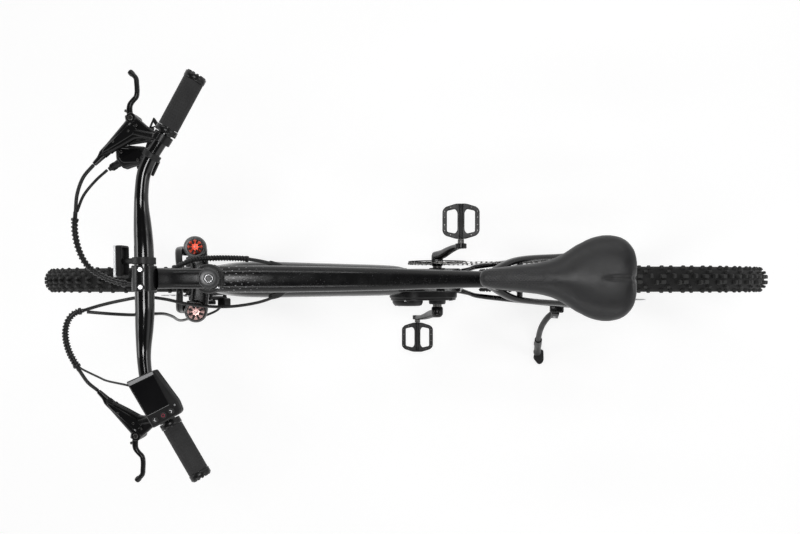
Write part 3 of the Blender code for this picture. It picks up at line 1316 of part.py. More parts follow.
def wound(points, reach, name):
    """Spiral wrap round a bundle between two distances along its route."""
    line = smooth_line(points, cable_step(BUNDLE_R))
    runs = [0.0]
    for a, b in zip(line, line[1:]):
        runs.append(runs[-1] + (b - a).length)
    radius = BUNDLE_R + WRAP_SLACK + WRAP_WIRE_R
    turns = round((reach[1] - reach[0]) / WRAP_PITCH)
    count = turns * WRAP_POINTS
    coil = []
    for i in range(count + 1):
        want = reach[0] + (reach[1] - reach[0]) * i / count
        at = max(k for k in range(len(runs) - 1) if runs[k] <= want)
        part = (want - runs[at]) / (runs[at + 1] - runs[at])
        centre = line[at].lerp(line[at + 1], part)
        ahead = (line[at + 1] - line[at]).normalized()
        across = ahead.cross(Vector((0, 0, 1))).normalized()
        up = across.cross(ahead)
        angle = 2 * math.pi * i / WRAP_POINTS
        coil.append(centre + radius * (math.cos(angle) * across + math.sin(angle) * up))
    for end, beside in ((0, 1), (-1, -2)):
        run = (coil[end] - coil[beside]).normalized()
        straight = coil[end] + run * 2 * WRAP_WIRE_R
        coil.insert(0, straight) if end == 0 else coil.append(straight)
    near = min(
        (coil[i] - coil[j]).length
        for i in range(0, len(coil), 2)
        for j in range(i + WRAP_POINTS - 2, min(i + WRAP_POINTS + 3, len(coil)))
    )
    print(name, "turns", turns, "least gap to itself in mm", round((near - 2 * WRAP_WIRE_R) * 1000, 2))
    return rod(coil, WRAP_WIRE_R, 1)


def make_cables():
    """Brake hoses, gear cable, control wires, and the spiral wraps round them."""
    right = united(cable(RIGHT_BUNDLE, BUNDLE_R), cable(RIGHT_HOSE, HOSE_R), cable(SHIFT_CABLE, 0.0021),
                   rod(smooth_line(HEAD_WRAP, 0.018), HEAD_WRAP_R, 2))
    named(right, "right_cables", "rubber")
    left = united(cable(LEFT_BUNDLE, BUNDLE_R), cable(LEFT_HOSE, HOSE_R), cable(DISPLAY_WIRE, 0.0018),
                  cable(CONTROL_CABLE, HOSE_R))
    named(left, "left_cables", "rubber")
    named(cable(FRONT_HOSE, HOSE_R), "front_brake_hose", "rubber")
    named(wound(RIGHT_BUNDLE, RIGHT_WRAP_REACH, "right_wrap"), "right_wrap", "rubber")
    named(wound(LEFT_BUNDLE, LEFT_WRAP_REACH, "left_wrap"), "left_wrap", "rubber")


# Bodies that move, each with a point on its joint's axis

PIVOTS = {
    "steering": (STEER_FOOT, ("fork_uppers", "stem", "stem_faceplate", "stem_cap", "handlebar",
                              "grip_right", "grip_left", "brake_body_right", "brake_body_left",
                              "shifter_body", "display", "front_reflector", "right_cables",
                              "left_cables", "front_brake_hose", "right_wrap", "left_wrap")),
    "fork_slider": (FRONT_AXLE, ("fork_lowers", "front_caliper", "front_axle")),
    "front_wheel": (FRONT_AXLE, ("front_tyre", "front_rim", "front_hub", "front_rotor")),
    "rear_wheel": (REAR_AXLE, ("rear_tyre", "rear_rim", "rear_hub", "rear_rotor")),
    "freewheel": (REAR_AXLE, ("cassette",)),
    "crankset": (BOTTOM_BRACKET, ("crank_right", "crank_left", "chainring")),
    "jockey_upper": (JOCKEY_UPPER, ("jockey_wheel_upper",)),
    "jockey_lower": (JOCKEY_LOWER, ("jockey_wheel_lower",)),
    "right_lever": (point(LEVER_PIVOT[0], -LEVER_PIVOT[1], LEVER_Z), ("brake_lever_right",)),
    "left_lever": (point(LEVER_PIVOT[0], LEVER_PIVOT[1], LEVER_Z), ("brake_lever_left",)),
    "trigger": (TRIGGER_PIVOT, ("shift_trigger",)),
    "thumb": (THUMB_PIVOT, ("shift_thumb_lever",)),
    "stand": (STAND_PIVOT, ("kickstand",)),
    "right_pedal": (BOTTOM_BRACKET + crank_end(1), ("pedal_right",)),
    "left_pedal": (BOTTOM_BRACKET + crank_end(-1), ("pedal_left",)),
    "lockout": (on_steering(CROWN_S[1], LEG_OFFSET, -LEG_Y), ("lockout_knob",)),
    "preload": (on_steering(CROWN_S[1], LEG_OFFSET, LEG_Y), ("preload_knob",)),
    "seat": (SEAT_TOP, ("seatpost", "saddle_shell", "saddle_cushion")),
    "button_minus": (button_seat(-1), ("button_minus",)),
    "button_power": (button_seat(0), ("button_power",)),
    "button_plus": (button_seat(1), ("button_plus",)),
}


def assemble():
    """Parent each moving body's pieces to an empty on its joint's axis."""
    for title, (pivot, names) in PIVOTS.items():
        holder = bpy.data.objects.new(title + "_pivot", None)
        holder.empty_display_size = 0.02
        holder.location = pivot
        PARTS.objects.link(holder)
        for name in names:
            piece = MADE[name]
            piece.data.transform(Matrix.Translation(-pivot))
            piece.parent = holder
    bpy.context.view_layer.update()


def main():
    """Make every piece of the bicycle."""
    make_frame()
    make_headset()
    make_motor()
    make_fork()
    make_fork_lowers()
    make_stem()
    make_handlebar()
    for side, name in ((-1, "right"), (1, "left")):
        make_brake(side, name)
    make_shifter()
    make_display()
    make_reflector()
    make_fork_caps()
    make_wheel(FRONT_AXLE, "front", FRONT_FLANGE_Y, FRONT_ROTOR_Y, 0.0520, False)
    make_wheel(REAR_AXLE, "rear", REAR_FLANGE_Y, REAR_ROTOR_Y, 0.0630, True)
    make_front_caliper()
    make_rear_caliper()
    make_axles()
    make_chain()
    make_chainring()
    for side, name in ((-1, "right"), (1, "left")):
        make_crank(side, name)
        make_pedal(side, name)
    make_cassette()
    make_derailleur()
    make_saddle()
    make_stand()
    make_cables()
    assemble()
    total = 0
    for name, piece in sorted(MADE.items()):
        piece.data.calc_loop_triangles()
        total += len(piece.data.loop_triangles)
    print(len(MADE), "pieces,", total, "triangles")


main()
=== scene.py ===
"""Looks of an electric mountain bicycle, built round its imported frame.

Metres, +X forward, +Y to the rider's left, +Z up, origin on the ground halfway between the axles.
"""
import enum
import json
import logging
import math
from dataclasses import dataclass, field

import bmesh
import bpy
import numpy as np
from mathutils import Matrix, Vector

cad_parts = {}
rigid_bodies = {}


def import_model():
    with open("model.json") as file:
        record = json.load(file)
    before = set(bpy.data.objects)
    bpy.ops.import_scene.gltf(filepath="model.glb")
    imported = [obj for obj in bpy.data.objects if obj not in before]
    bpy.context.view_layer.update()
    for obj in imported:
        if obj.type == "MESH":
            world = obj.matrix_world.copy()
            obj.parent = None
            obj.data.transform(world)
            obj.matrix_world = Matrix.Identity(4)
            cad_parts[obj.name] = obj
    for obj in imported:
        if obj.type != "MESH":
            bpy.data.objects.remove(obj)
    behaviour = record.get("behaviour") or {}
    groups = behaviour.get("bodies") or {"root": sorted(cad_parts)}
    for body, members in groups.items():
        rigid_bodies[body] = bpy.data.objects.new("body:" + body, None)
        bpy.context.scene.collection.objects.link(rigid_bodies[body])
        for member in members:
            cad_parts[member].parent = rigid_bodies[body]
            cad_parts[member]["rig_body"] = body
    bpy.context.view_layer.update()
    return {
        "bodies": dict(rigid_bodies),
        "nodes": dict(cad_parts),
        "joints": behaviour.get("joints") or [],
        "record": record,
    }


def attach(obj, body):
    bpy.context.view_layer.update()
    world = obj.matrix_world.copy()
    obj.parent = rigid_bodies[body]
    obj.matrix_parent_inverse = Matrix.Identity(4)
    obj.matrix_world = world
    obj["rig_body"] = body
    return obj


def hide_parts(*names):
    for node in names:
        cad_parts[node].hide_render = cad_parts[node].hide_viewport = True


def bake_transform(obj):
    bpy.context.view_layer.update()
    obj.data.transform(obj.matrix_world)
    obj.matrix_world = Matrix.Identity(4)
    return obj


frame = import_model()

Array = np.ndarray
Rows = np.ndarray | list | tuple
Pair = tuple[float, float]
Point = tuple[float, float, float]
Socket = bpy.types.NodeSocket
LOG = logging.getLogger("bicycle")
PHOTO_SIZE = (800, 534)
UP = np.array((0.0, 0.0, 1.0))
LEFT = np.array((0.0, 1.0, 0.0))
FORWARD = np.array((1.0, 0.0, 0.0))
WELD = 1e-6
RIPPLE = 0.16
SHARP_ANGLE = math.radians(38)


def vec(*values: float | tuple) -> Array:
    """Array of the given numbers or rows."""
    return np.array(values, dtype=float)


def unit(rows: Array) -> Array:
    """Rows scaled to length one."""
    rows = np.asarray(rows, dtype=float)
    return rows / np.linalg.norm(rows, axis=-1, keepdims=True)


def axes(*directions: Array) -> Array:
    """Bases whose columns are the given directions, where a single direction serves all rows of the others."""
    return np.stack(np.broadcast_arrays(*directions), axis=-1)


def even_angles(count: int, shift: float = 0.0) -> Array:
    """Even angles round a whole turn, begun at a share of one step."""
    return (np.arange(count) + shift) * 2 * math.pi / count


def on_circle(angle: Array) -> Array:
    """Points of the unit circle."""
    return np.stack((np.cos(angle), np.sin(angle)), axis=-1)


def fan(angle: Array, a: Array, b: Array) -> Array:
    """Directions between two square ones: cos(v) a + sin(v) b."""
    return np.cos(angle)[..., None] * a + np.sin(angle)[..., None] * b


def in_plane(place: Array | Point) -> Array:
    """X and Z of a place."""
    return vec(place[0], place[2])


def placed(name: str, data: bpy.types.ID) -> bpy.types.Object:
    """New object of some data, linked to the scene."""
    thing = bpy.data.objects.new(name, data)
    bpy.context.scene.collection.objects.link(thing)
    return thing


def read_rows(items: bpy.types.bpy_prop_collection, key: str) -> Array:
    """Vectors that a mesh's items hold under a name."""
    flat = np.empty(len(items) * 3)
    items.foreach_get(key, flat)
    return flat.reshape(-1, 3)


def run_lengths(line: Rows) -> Array:
    """Distance along a line at each of its points."""
    return np.concatenate(([0], np.cumsum(np.linalg.norm(np.diff(line, axis=0), axis=1))))


def sampled(line: Array, run: Array, at: Array | float) -> Array:
    """Places on a line whose points stand at the distances of run."""
    return np.stack([np.interp(at, run, column) for column in line.T], axis=-1)


@dataclass(frozen=True)
class Layout:
    """Main places and sizes that the sub-assemblies share, as the solids have them."""

    wheelbase: float = 1.1
    wheel_r: float = 0.352
    head_angle: float = math.radians(71.1)
    rake: float = 0.045
    leg_ahead: float = 0.026
    leg_y: float = 0.064
    seat_angle: float = math.radians(72.5)
    seat_tube: float = 0.45
    bracket: Point = (-0.101, 0.0, 0.302)
    chain_y: float = -0.0455
    dropout_y: float = 0.0675
    motor: Pair = (-0.04, 0.315)
    motor_r: float = 0.066
    motor_rear_r: float = 0.053
    stem: Pair = (0.646, 0.682)
    bar_reach: float = 0.1062
    stem_rise: float = 0.0159
    stand_axis: Point = (0.09, 0.892, 0.442)
    stand_pivot: Point = (-0.412, 0.083, 0.296)

    @property
    def steer_up(self) -> Array:
        """Direction of the steering axis."""
        return vec(-math.cos(self.head_angle), 0, math.sin(self.head_angle))

    @property
    def steer_ahead(self) -> Array:
        """Direction square to the steering axis, forwards."""
        return vec(math.sin(self.head_angle), 0, math.cos(self.head_angle))

    @property
    def seat_up(self) -> Array:
        """Direction of the seat tube."""
        return vec(-math.cos(self.seat_angle), 0, math.sin(self.seat_angle))

    @property
    def front_axle(self) -> Array:
        """Centre of the front wheel."""
        return vec(self.wheelbase / 2, 0, self.wheel_r)

    @property
    def rear_axle(self) -> Array:
        """Centre of the rear wheel."""
        return vec(-self.wheelbase / 2, 0, self.wheel_r)

    @property
    def seat_top(self) -> Array:
        """Top of the seat tube."""
        return vec(*self.bracket) + self.seat_tube * self.seat_up

    def steer(self, s: float, ahead: float = 0.0, y: float = 0.0) -> Array:
        """Place on the steering axis.

        Args:
            s: Height along the axis.
            ahead: Distance ahead of it.
            y: Distance to the left of it.

        Returns:
            The place.
        """
        foot = self.front_axle - self.rake * self.steer_ahead
        return foot + s * self.steer_up + ahead * self.steer_ahead + y * LEFT


PLAN = Layout()
BRACKET = vec(*PLAN.bracket)
BAR_CENTRE = PLAN.steer(sum(PLAN.stem) / 2 + PLAN.stem_rise, PLAN.bar_reach)
STEER_BASIS = axes(PLAN.steer_ahead, LEFT, PLAN.steer_up)
SIDE_PLANE = axes(FORWARD, UP, -LEFT)


# Surfaces

@dataclass
class Skin:
    """Points with quads and many-sided caps, joined from one or more surfaces."""

    points: Array
    quads: Array
    caps: list[Array] = field(default_factory=list)
    look: int = 0

    def moved(self, basis: Array | None = None, place: Array | None = None) -> "Skin":
        """Same surface turned by a basis and moved to a place."""
        points = self.points if basis is None else self.points @ np.asarray(basis).T
        points = points if place is None else points + np.asarray(place)
        return Skin(points, self.quads, self.caps, self.look)

    def looks(self, index: int) -> "Skin":
        """Same surface with another of its piece's finishes."""
        return Skin(self.points, self.quads, self.caps, index)


def grid_skin(points: Array, wrap_u: bool = False, wrap_v: bool = True, caps: bool = True) -> Skin:
    """Quads over a grid of points, closed round v, with a cap on each end of u.

    Args:
        points: Array of shape (u, v, 3).
        wrap_u: Whether the last row joins the first.
        wrap_v: Whether the last column joins the first.
        caps: Whether the end rows are closed.

    Returns:
        The surface.
    """
    rows, columns = points.shape[:2]
    index = np.arange(rows * columns).reshape(rows, columns)
    u = np.arange(rows if wrap_u else rows - 1)
    v = np.arange(columns if wrap_v else columns - 1)
    a = index[u][:, v]
    b = index[u][:, (v + 1) % columns]
    c = index[(u + 1) % rows][:, (v + 1) % columns]
    d = index[(u + 1) % rows][:, v]
    quads = np.stack((a, b, c, d), axis=-1).reshape(-1, 4)
    ends = [index[0][::-1], index[-1]] if caps and not wrap_u and wrap_v else []
    return Skin(points.reshape(-1, 3), quads, ends)


def smooth_path(route: Rows, count: int) -> Array:
    """Even points on a Catmull-Rom curve through a route.

    Each span is half of 2p1 + (p2-p0)t + (2p0-5p1+4p2-p3)t^2 + (3p1-p0-3p2+p3)t^3.

    Args:
        route: Points of the route.
        count: How many points to return.

    Returns:
        Array of shape (count, 3).
    """
    p = np.asarray(route, dtype=float)
    p = np.vstack((2 * p[0] - p[1], p, 2 * p[-1] - p[-2]))
    t = np.linspace(0, 1, 33)[:, None, None]
    a, b, c, d = p[:-3], p[1:-2], p[2:-1], p[3:]
    fine = 0.5 * (2 * b + (c - a) * t + (2 * a - 5 * b + 4 * c - d) * t**2
                  + (3 * b - a - 3 * c + d) * t**3)
    fine = fine.transpose(1, 0, 2).reshape(-1, fine.shape[-1])
    run = run_lengths(fine)
    return sampled(fine, run, np.linspace(0, run[-1], count))


def frames(path: Array, side: Array) -> tuple[Array, Array]:
    """Directions across a path: one near the given side, one square to it and to the run.

    Args:
        path: Points of the path.
        side: Direction that the first one stays close to.

    Returns:
        Two arrays of unit directions.
    """
    run = unit(np.gradient(path, axis=0))
    up = unit(np.cross(run, side))
    return unit(np.cross(up, run)), up


def ring_shape(sides: int, power: float = 1.0) -> Array:
    """Closed outline of half size one: a circle at power 1, nearer a box below it.

    Args:
        sides: How many points.
        power: Power of the cosine and sine.

    Returns:
        Array of shape (sides, 2).
    """
    ring = on_circle(even_angles(sides, 0.5))
    return np.sign(ring) * np.abs(ring) ** power


def swept(path: Array, widths: Array | float, heights: Array | float | None = None,
          side: Array = LEFT, sides: int = 24, power: float = 1.0, fillet: float = 0.0) -> Skin:
    """Round or boxy section carried along a path: centre + w cos^p(v) a + h sin^p(v) b.

    Args:
        path: Points of the path.
        widths: Full size along the side direction, one or for each point.
        heights: Full size square to it; the widths again when left out.
        side: Direction of the width.
        sides: Points round the section.
        power: Below 1 for a boxy section.
        fillet: Radius of the rounding at both ends.

    Returns:
        The closed surface.
    """
    path = np.asarray(path, dtype=float)
    w = np.broadcast_to(np.asarray(widths, dtype=float), len(path)) / 2
    h = w if heights is None else np.broadcast_to(np.asarray(heights, dtype=float), len(path)) / 2
    if fillet > 0:
        t = np.linspace(0, math.pi / 2, 5)[:-1]
        inset = fillet * (1 - np.sin(t))
        back = fillet * (1 - np.cos(t))
        first = unit(path[1] - path[0])
        last = unit(path[-1] - path[-2])
        path = np.vstack((path[0] + back[:, None] * first, path[0] + fillet * first, path[1:-1],
                          path[-1] - fillet * last, path[-1] - back[::-1, None] * last))
        w = np.concatenate((w[0] - inset, w[:1], w[1:-1], w[-1:], w[-1] - inset[::-1]))
        h = np.concatenate((h[0] - inset, h[:1], h[1:-1], h[-1:], h[-1] - inset[::-1]))
    a, b = frames(path, np.asarray(side, dtype=float))
    ring = ring_shape(sides, power)
    points = (path[:, None] + (w[:, None] * ring[:, 0])[..., None] * a[:, None]
              + (h[:, None] * ring[:, 1])[..., None] * b[:, None])
    return grid_skin(points)


def shaped_tube(rows: Rows, count: int, sides: int, power: float, fillet: float = 0.0) -> Skin:
    """Tube on a smooth curve, where each row gives a place, a width and a height."""
    fine = smooth_path(rows, count)
    return swept(fine[:, :3], fine[:, 3], fine[:, 4], sides=sides, power=power, fillet=fillet)


def side_for(run: Array) -> Array:
    """Direction that is not along a run, for the frame of a straight bar."""
    run = unit(run)
    return LEFT if abs(run[1]) < 0.8 else FORWARD


def rod(a: Array, b: Array, radius: float, end_radius: float | None = None, sides: int = 24,
        fillet: float = 0.0006) -> Skin:
    """Straight round bar with rounded ends.

    Args:
        a: Start.
        b: End.
        radius: Radius at the start.
        end_radius: Radius at the end, if unlike.
        sides: Points round it.
        fillet: Rounding of the ends.

    Returns:
        The closed surface.
    """
    a, b = np.asarray(a, dtype=float), np.asarray(b, dtype=float)
    end = radius if end_radius is None else end_radius
    path = np.linspace(a, b, 4)
    return swept(path, 2 * np.linspace(radius, end, 4), side=side_for(b - a), sides=sides,
                 fillet=min(fillet, 0.4 * min(radius, end)))


def filleted(corners: Rows, steps: int = 4) -> Array:
    """Outline whose corners are rounded: each is (x, y) or (x, y, radius).

    A rounded corner runs on the quadratic curve between the points one radius before and after.

    Args:
        corners: Corners in order, the first and last kept sharp.
        steps: Points on each rounded corner.

    Returns:
        Array of shape (n, 2).
    """
    rows = [np.array(corners[0][:2], dtype=float)]
    t = np.linspace(0, 1, steps)[:, None]
    for before, here, after in zip(corners, corners[1:], corners[2:]):
        middle = np.array(here[:2], dtype=float)
        radius = here[2] if len(here) > 2 else 0.0
        if radius <= 0:
            rows.append(middle)
            continue
        back = np.array(before[:2]) - middle
        on = np.array(after[:2]) - middle
        start = middle + back * min(radius / np.linalg.norm(back), 0.49)
        end = middle + on * min(radius / np.linalg.norm(on), 0.49)
        rows.extend((1 - t) ** 2 * start + 2 * t * (1 - t) * middle + t**2 * end)
    rows.append(np.array(corners[-1][:2], dtype=float))
    return np.array(rows)


def lathe(profile: Rows, centre: Array, axis: Array, steps: int = 48, closed: bool = False) -> Skin:
    """Profile of (radius, height) pairs turned about an axis: c + r cos(v) a + r sin(v) b + h n.

    Args:
        profile: Rows of radius and height; it starts and ends on the axis unless closed.
        centre: Where height is nought.
        axis: Direction of height.
        steps: Points round the axis.
        closed: Whether the profile is a loop that stays off the axis.

    Returns:
        The closed surface.
    """
    n = unit(axis)
    a = unit(np.cross(n, side_for(n)))
    turn = fan(even_angles(steps), a, np.cross(n, a))
    profile = np.asarray(profile, dtype=float)
    points = centre + profile[:, None, :1] * turn + profile[:, None, 1:] * n
    return grid_skin(points, wrap_u=closed, caps=not closed)


def block(size: Point, basis: Array | None = None, place: Array | None = None, radius: float = 0.002) -> Skin:
    """Rounded block: a rounded rectangle carried through its thickness and drawn in at both faces.

    Args:
        size: Size along its own x, y and z.
        basis: Columns that are its own directions.
        place: Its centre.
        radius: Rounding of the edges.

    Returns:
        The closed surface.
    """
    x, y, z = size
    radius = min(radius, 0.49 * min(size))
    t = np.linspace(0, math.pi / 2, 5)
    corner = vec(x / 2 - radius, y / 2 - radius)
    signs = ((1, 1), (-1, 1), (-1, -1), (1, -1))
    outline = np.vstack([corner * sign + radius * on_circle(t + k * math.pi / 2) for k, sign in enumerate(signs)])
    t = np.linspace(0, math.pi / 2, 4)
    inset = np.concatenate((radius * (1 - np.cos(t[::-1])), radius * (1 - np.cos(t))))
    level = np.concatenate((-z / 2 + radius * (1 - np.sin(t[::-1])), z / 2 - radius * (1 - np.sin(t))))
    factor = np.stack((1 - 2 * inset / x, 1 - 2 * inset / y), axis=1)
    ring = outline[None] * factor[:, None]
    points = np.concatenate((ring, np.broadcast_to(level[:, None, None], ring.shape[:2] + (1,))), axis=2)
    return grid_skin(points).moved(basis, place)


def sheet_metal(outline: Rows, thick: float, basis: Array | None, place: Array,
                holes: list[Array] | None = None, bevel: float = 0.0003) -> Skin:
    """Flat plate with holes and eased edges, filled as a flat curve and taken as a mesh.

    Args:
        outline: Rows of x and y in the plate's plane.
        thick: Thickness about that plane.
        basis: Columns that are the plate's x, y and normal; level when None.
        place: Where its own origin goes.
        holes: Outlines of the holes.
        bevel: Width of the eased edge.

    Returns:
        The closed surface.
    """
    data = bpy.data.curves.new("flat", "CURVE")
    data.dimensions, data.fill_mode = "2D", "BOTH"
    data.extrude, data.bevel_depth, data.offset = thick / 2 - bevel, bevel, -bevel
    data.bevel_resolution = 0
    for loop in [outline, *(holes or [])]:
        loop = np.asarray(loop, dtype=float)
        line = data.splines.new("POLY")
        line.points.add(len(loop) - 1)
        line.points.foreach_set("co", np.column_stack((loop, np.zeros(len(loop)), np.ones(len(loop)))).ravel())
        line.use_cyclic_u = True
    shape = placed("flat", data)
    mesh = bpy.data.meshes.new_from_object(shape.evaluated_get(bpy.context.evaluated_depsgraph_get()))
    bpy.data.objects.remove(shape, do_unlink=True)
    points = read_rows(mesh.vertices, "co")
    faces = [np.array(p.vertices) for p in mesh.polygons]
    bpy.data.meshes.remove(mesh)
    return Skin(points, np.empty((0, 4), dtype=int), faces).moved(basis, place)


def disc_points(radius: float, count: int, centre: Pair = (0.0, 0.0), start: float = 0.0,
                sweep: float = 2 * math.pi) -> Array:
    """Points of a circle, or of an arc of it when the sweep is under a whole turn."""
    angle = start + sweep * np.arange(count) / (count if sweep >= 2 * math.pi else count - 1)
    return np.array(centre) + radius * on_circle(angle)


def window(angle: float, *arcs: tuple) -> Array:
    """Opening between two arcs, each a radius, a count, a start beyond the angle and a sweep."""
    return np.vstack([disc_points(radius, count, start=angle + start, sweep=sweep)
                      for radius, count, start, sweep in arcs])


def both_sides(half: list[Pair]) -> list[Pair]:
    """Rows of radius and height, followed by their mirror image in reverse."""
    return half + [(radius, -height) for radius, height in half[::-1]]


def rounded(corners: Rows, radius: float, steps: int = 5) -> Array:
    """Closed outline with every corner rounded."""
    start = (np.array(corners[0]) + corners[-1]) / 2
    return filleted([start, *[(*corner, radius) for corner in corners], start], steps)[:-1]


def repeated(skin: Skin, bases: Array, places: Array) -> Skin:
    """Copies of a small surface, each turned by its own basis and put in its place.

    Args:
        skin: The surface, about the origin.
        bases: Array of shape (n, 3, 3).
        places: Array of shape (n, 3).

    Returns:
        All of them as one surface.
    """
    count = len(places)
    points = np.einsum("nij,pj->npi", np.broadcast_to(bases, (count, 3, 3)), skin.points) + places[:, None]
    shift = np.arange(count) * len(skin.points)
    quads = (skin.quads[None] + shift[:, None, None]).reshape(-1, 4)
    caps = [cap + s for s in shift for cap in skin.caps]
    return Skin(points.reshape(-1, 3), quads, caps, skin.look)


def stud(size: Point, taper: float = 0.8) -> Skin:
    """Small block on its base: a rectangle with cut corners, narrower at the top, its rim eased."""
    x, y, z = vec(*size) / 2
    cut = 0.3 * min(x, y)
    ring = np.array([(x, cut - y), (x, y - cut), (x - cut, y), (cut - x, y), (-x, y - cut), (-x, cut - y),
                     (cut - x, -y), (x - cut, -y)])
    levels = ((1.0, -z), (taper, z * 0.75), (taper * 0.88, z))
    points = np.stack([np.column_stack((ring * share, np.full(len(ring), height)))
                       for share, height in levels])
    return grid_skin(points)


def bolt_head(place: Array, axis: Array, radius: float, height: float, look: int = 0) -> list[Skin]:
    """Socket-head bolt: a round head with an eased rim and a six-sided recess.

    Args:
        place: Centre of the seat.
        axis: Direction out of the seat.
        radius: Radius of the head.
        height: Height of the head.
        look: Finish of its piece.

    Returns:
        The surfaces.
    """
    rim = radius * 0.16
    profile = [(0, 0), (radius, 0), (radius, height - rim), (radius - rim, height), (radius * 0.56, height)]
    head = lathe(profile + [(radius * 0.5, height * 0.45), (0, height * 0.45)], place, axis, 24)
    socket = lathe([(radius * 0.52, height * 0.4), (radius * 0.52, height * 0.985),
                    (radius * 0.6, height * 0.985), (radius * 0.6, height * 0.4)], place, axis, 6,
                   closed=True)
    return [head.looks(look), socket.looks(look)]


def weld_bead(path: Array, radius: float, side: Array) -> Skin:
    """Closed rippled bead along a loop: a round section whose size waves as it runs.

    The centre line is sampled four times a ripple, and the radius is r (1 + RIPPLE cos(k s)).
    """
    size = 2 * radius * (1 + RIPPLE * np.cos(np.arange(len(path)) * math.pi / 2))
    a, b = frames(np.vstack((path, path[:1])), side)
    ring = ring_shape(6)
    points = (path[:, None] + (size[:, None] / 2 * ring[:, 0])[..., None] * a[:-1, None]
              + (size[:, None] / 2 * ring[:, 1])[..., None] * b[:-1, None])
    return grid_skin(points, wrap_u=True, caps=False)


def made(name: str, skins: list[Skin], finishes: tuple["Finish", ...], node: str, angle: float = SHARP_ANGLE,
         bends: tuple = ()) -> bpy.types.Object:
    """One piece from its surfaces: doubles merged, faces outwards, riding where its node rides unless it has bends.

    Args:
        name: Name of the piece.
        skins: Its surfaces, each with the number of its finish.
        finishes: The finishes in order.
        node: Solid that it stands for.
        angle: Edges sharper than this stay sharp.
        bends: Two bodies and the places where a bend would start and end; when given, the piece is baked in place
            with no body, and the bodies and places are not used.

    Returns:
        The object.
    """
    shifts = np.cumsum([0] + [len(skin.points) for skin in skins])
    faces, looks = [], []
    for skin, shift in zip(skins, shifts):
        faces += (skin.quads + shift).tolist() + [(cap + shift).tolist() for cap in skin.caps]
        looks += [skin.look] * (len(skin.quads) + len(skin.caps))
    mesh = bpy.data.meshes.new(name)
    mesh.from_pydata(np.vstack([skin.points for skin in skins]).tolist(), [], faces)
    mesh.polygons.foreach_set("material_index", looks)
    for finish in finishes:
        mesh.materials.append(finish.material())
    form = bmesh.new()
    form.from_mesh(mesh)
    bmesh.ops.remove_doubles(form, verts=form.verts, dist=WELD)
    bmesh.ops.recalc_face_normals(form, faces=form.faces)
    form.to_mesh(mesh)
    form.free()
    mesh.shade_smooth()
    mesh.set_sharp_from_angle(angle=angle)
    piece = placed(name, mesh)
    if bends:
        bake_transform(piece)
    else:
        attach(piece, frame["nodes"][node]["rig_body"])
    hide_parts(node)
    LOG.info("%s: %d faces", name, len(mesh.polygons))
    return piece


# Finishes

class Pattern(enum.Enum):
    """Small relief of a finish."""

    SMOOTH = "smooth"
    SPECKLED = "speckled"
    CAST = "cast"
    BRUSHED = "brushed"
    PEBBLED = "pebbled"
    RIBBED = "ribbed"
    DIMPLED = "dimpled"


class Nodes:
    """Short hand for building a material's nodes."""

    def __init__(self, name: str) -> None:
        """Start an empty material with its shader and Object coordinates."""
        self.material = bpy.data.materials.new(name)
        self.material.use_nodes = True
        self.tree = self.material.node_tree
        self.shader = self.tree.nodes["Principled BSDF"]
        self.coords = self.tree.nodes.new("ShaderNodeTexCoord").outputs["Object"]

    def add(self, kind: str, links: dict | None = None, **settings: object) -> bpy.types.Node:
        """Node of a kind.

        Args:
            kind: Name of the node type, without its prefix.
            links: What goes into each input: an output of another node, or a value.
            settings: Properties of the node.

        Returns:
            The node.
        """
        node = self.tree.nodes.new("ShaderNode" + kind)
        for key, value in settings.items():
            setattr(node, key, value)
        for key, value in (links or {}).items():
            if isinstance(value, Socket):
                self.tree.links.new(value, node.inputs[key])
            else:
                node.inputs[key].default_value = value
        return node

    def noise(self, scale: float, detail: float = 3.0, stretch: Point = (1.0, 1.0, 1.0)) -> Socket:
        """Noise of so many features a metre, stretched along the axes."""
        where = self.add("Mapping", {"Vector": self.coords, "Scale": stretch}).outputs[0]
        return self.add("TexNoise", {"Vector": where, "Scale": scale, "Detail": detail}).outputs["Fac"]

    def cells(self, scale: float) -> Socket:
        """Distance from the middle of the nearest random cell."""
        return self.add("TexVoronoi", {"Vector": self.coords, "Scale": scale}).outputs["Distance"]

    def span(self, value: Socket, low: float, high: float, to_low: float, to_high: float) -> Socket:
        """Value carried from one range to another and kept inside it."""
        return self.add("MapRange", {"Value": value, "From Min": low, "From Max": high, "To Min": to_low,
                                     "To Max": to_high}).outputs[0]

    def blend(self, share: Socket, a: Socket | Point, b: Socket | Point) -> Socket:
        """Colour between two colours."""
        a, b = [(*colour, 1.0) if isinstance(colour, tuple) else colour for colour in (a, b)]
        return self.add("Mix", {0: share, 6: a, 7: b}, data_type="RGBA").outputs[2]

    def lattice(self) -> Socket:
        """Slanted lattice of small pale dots on the top tube near the head, fading backwards: cos u + cos v near 2.
        The dots are a painted highlight, where the gloss would show the paint's small relief.
        """
        waves = []
        for along, across, phase in ((-419.0, -533.0, 110.5), (-221.0, 861.0, 60.0)):
            row = self.add("VectorMath", {0: self.coords, 1: (along, across, 0.0)}, operation="DOT_PRODUCT")
            waves.append(self.math("COSINE", self.math("ADD", row.outputs["Value"], phase), 0.0))
        dots = self.span(self.math("ADD", *waves), 1.7, 1.88, 0.0, 1.0)
        parts = self.add("SeparateXYZ", {0: self.coords}).outputs
        high = self.span(parts[2], 0.862, 0.868, 0.0, 1.0)
        return self.math("MULTIPLY", dots, self.math("MULTIPLY", high, self.span(parts[0], 0.205, 0.262, 0.0, 0.9)))

    def math(self, operation: str, a: object, b: object) -> Socket:
        """Two values brought together."""
        return self.add("Math", {0: a, 1: b}, operation=operation).outputs[0]


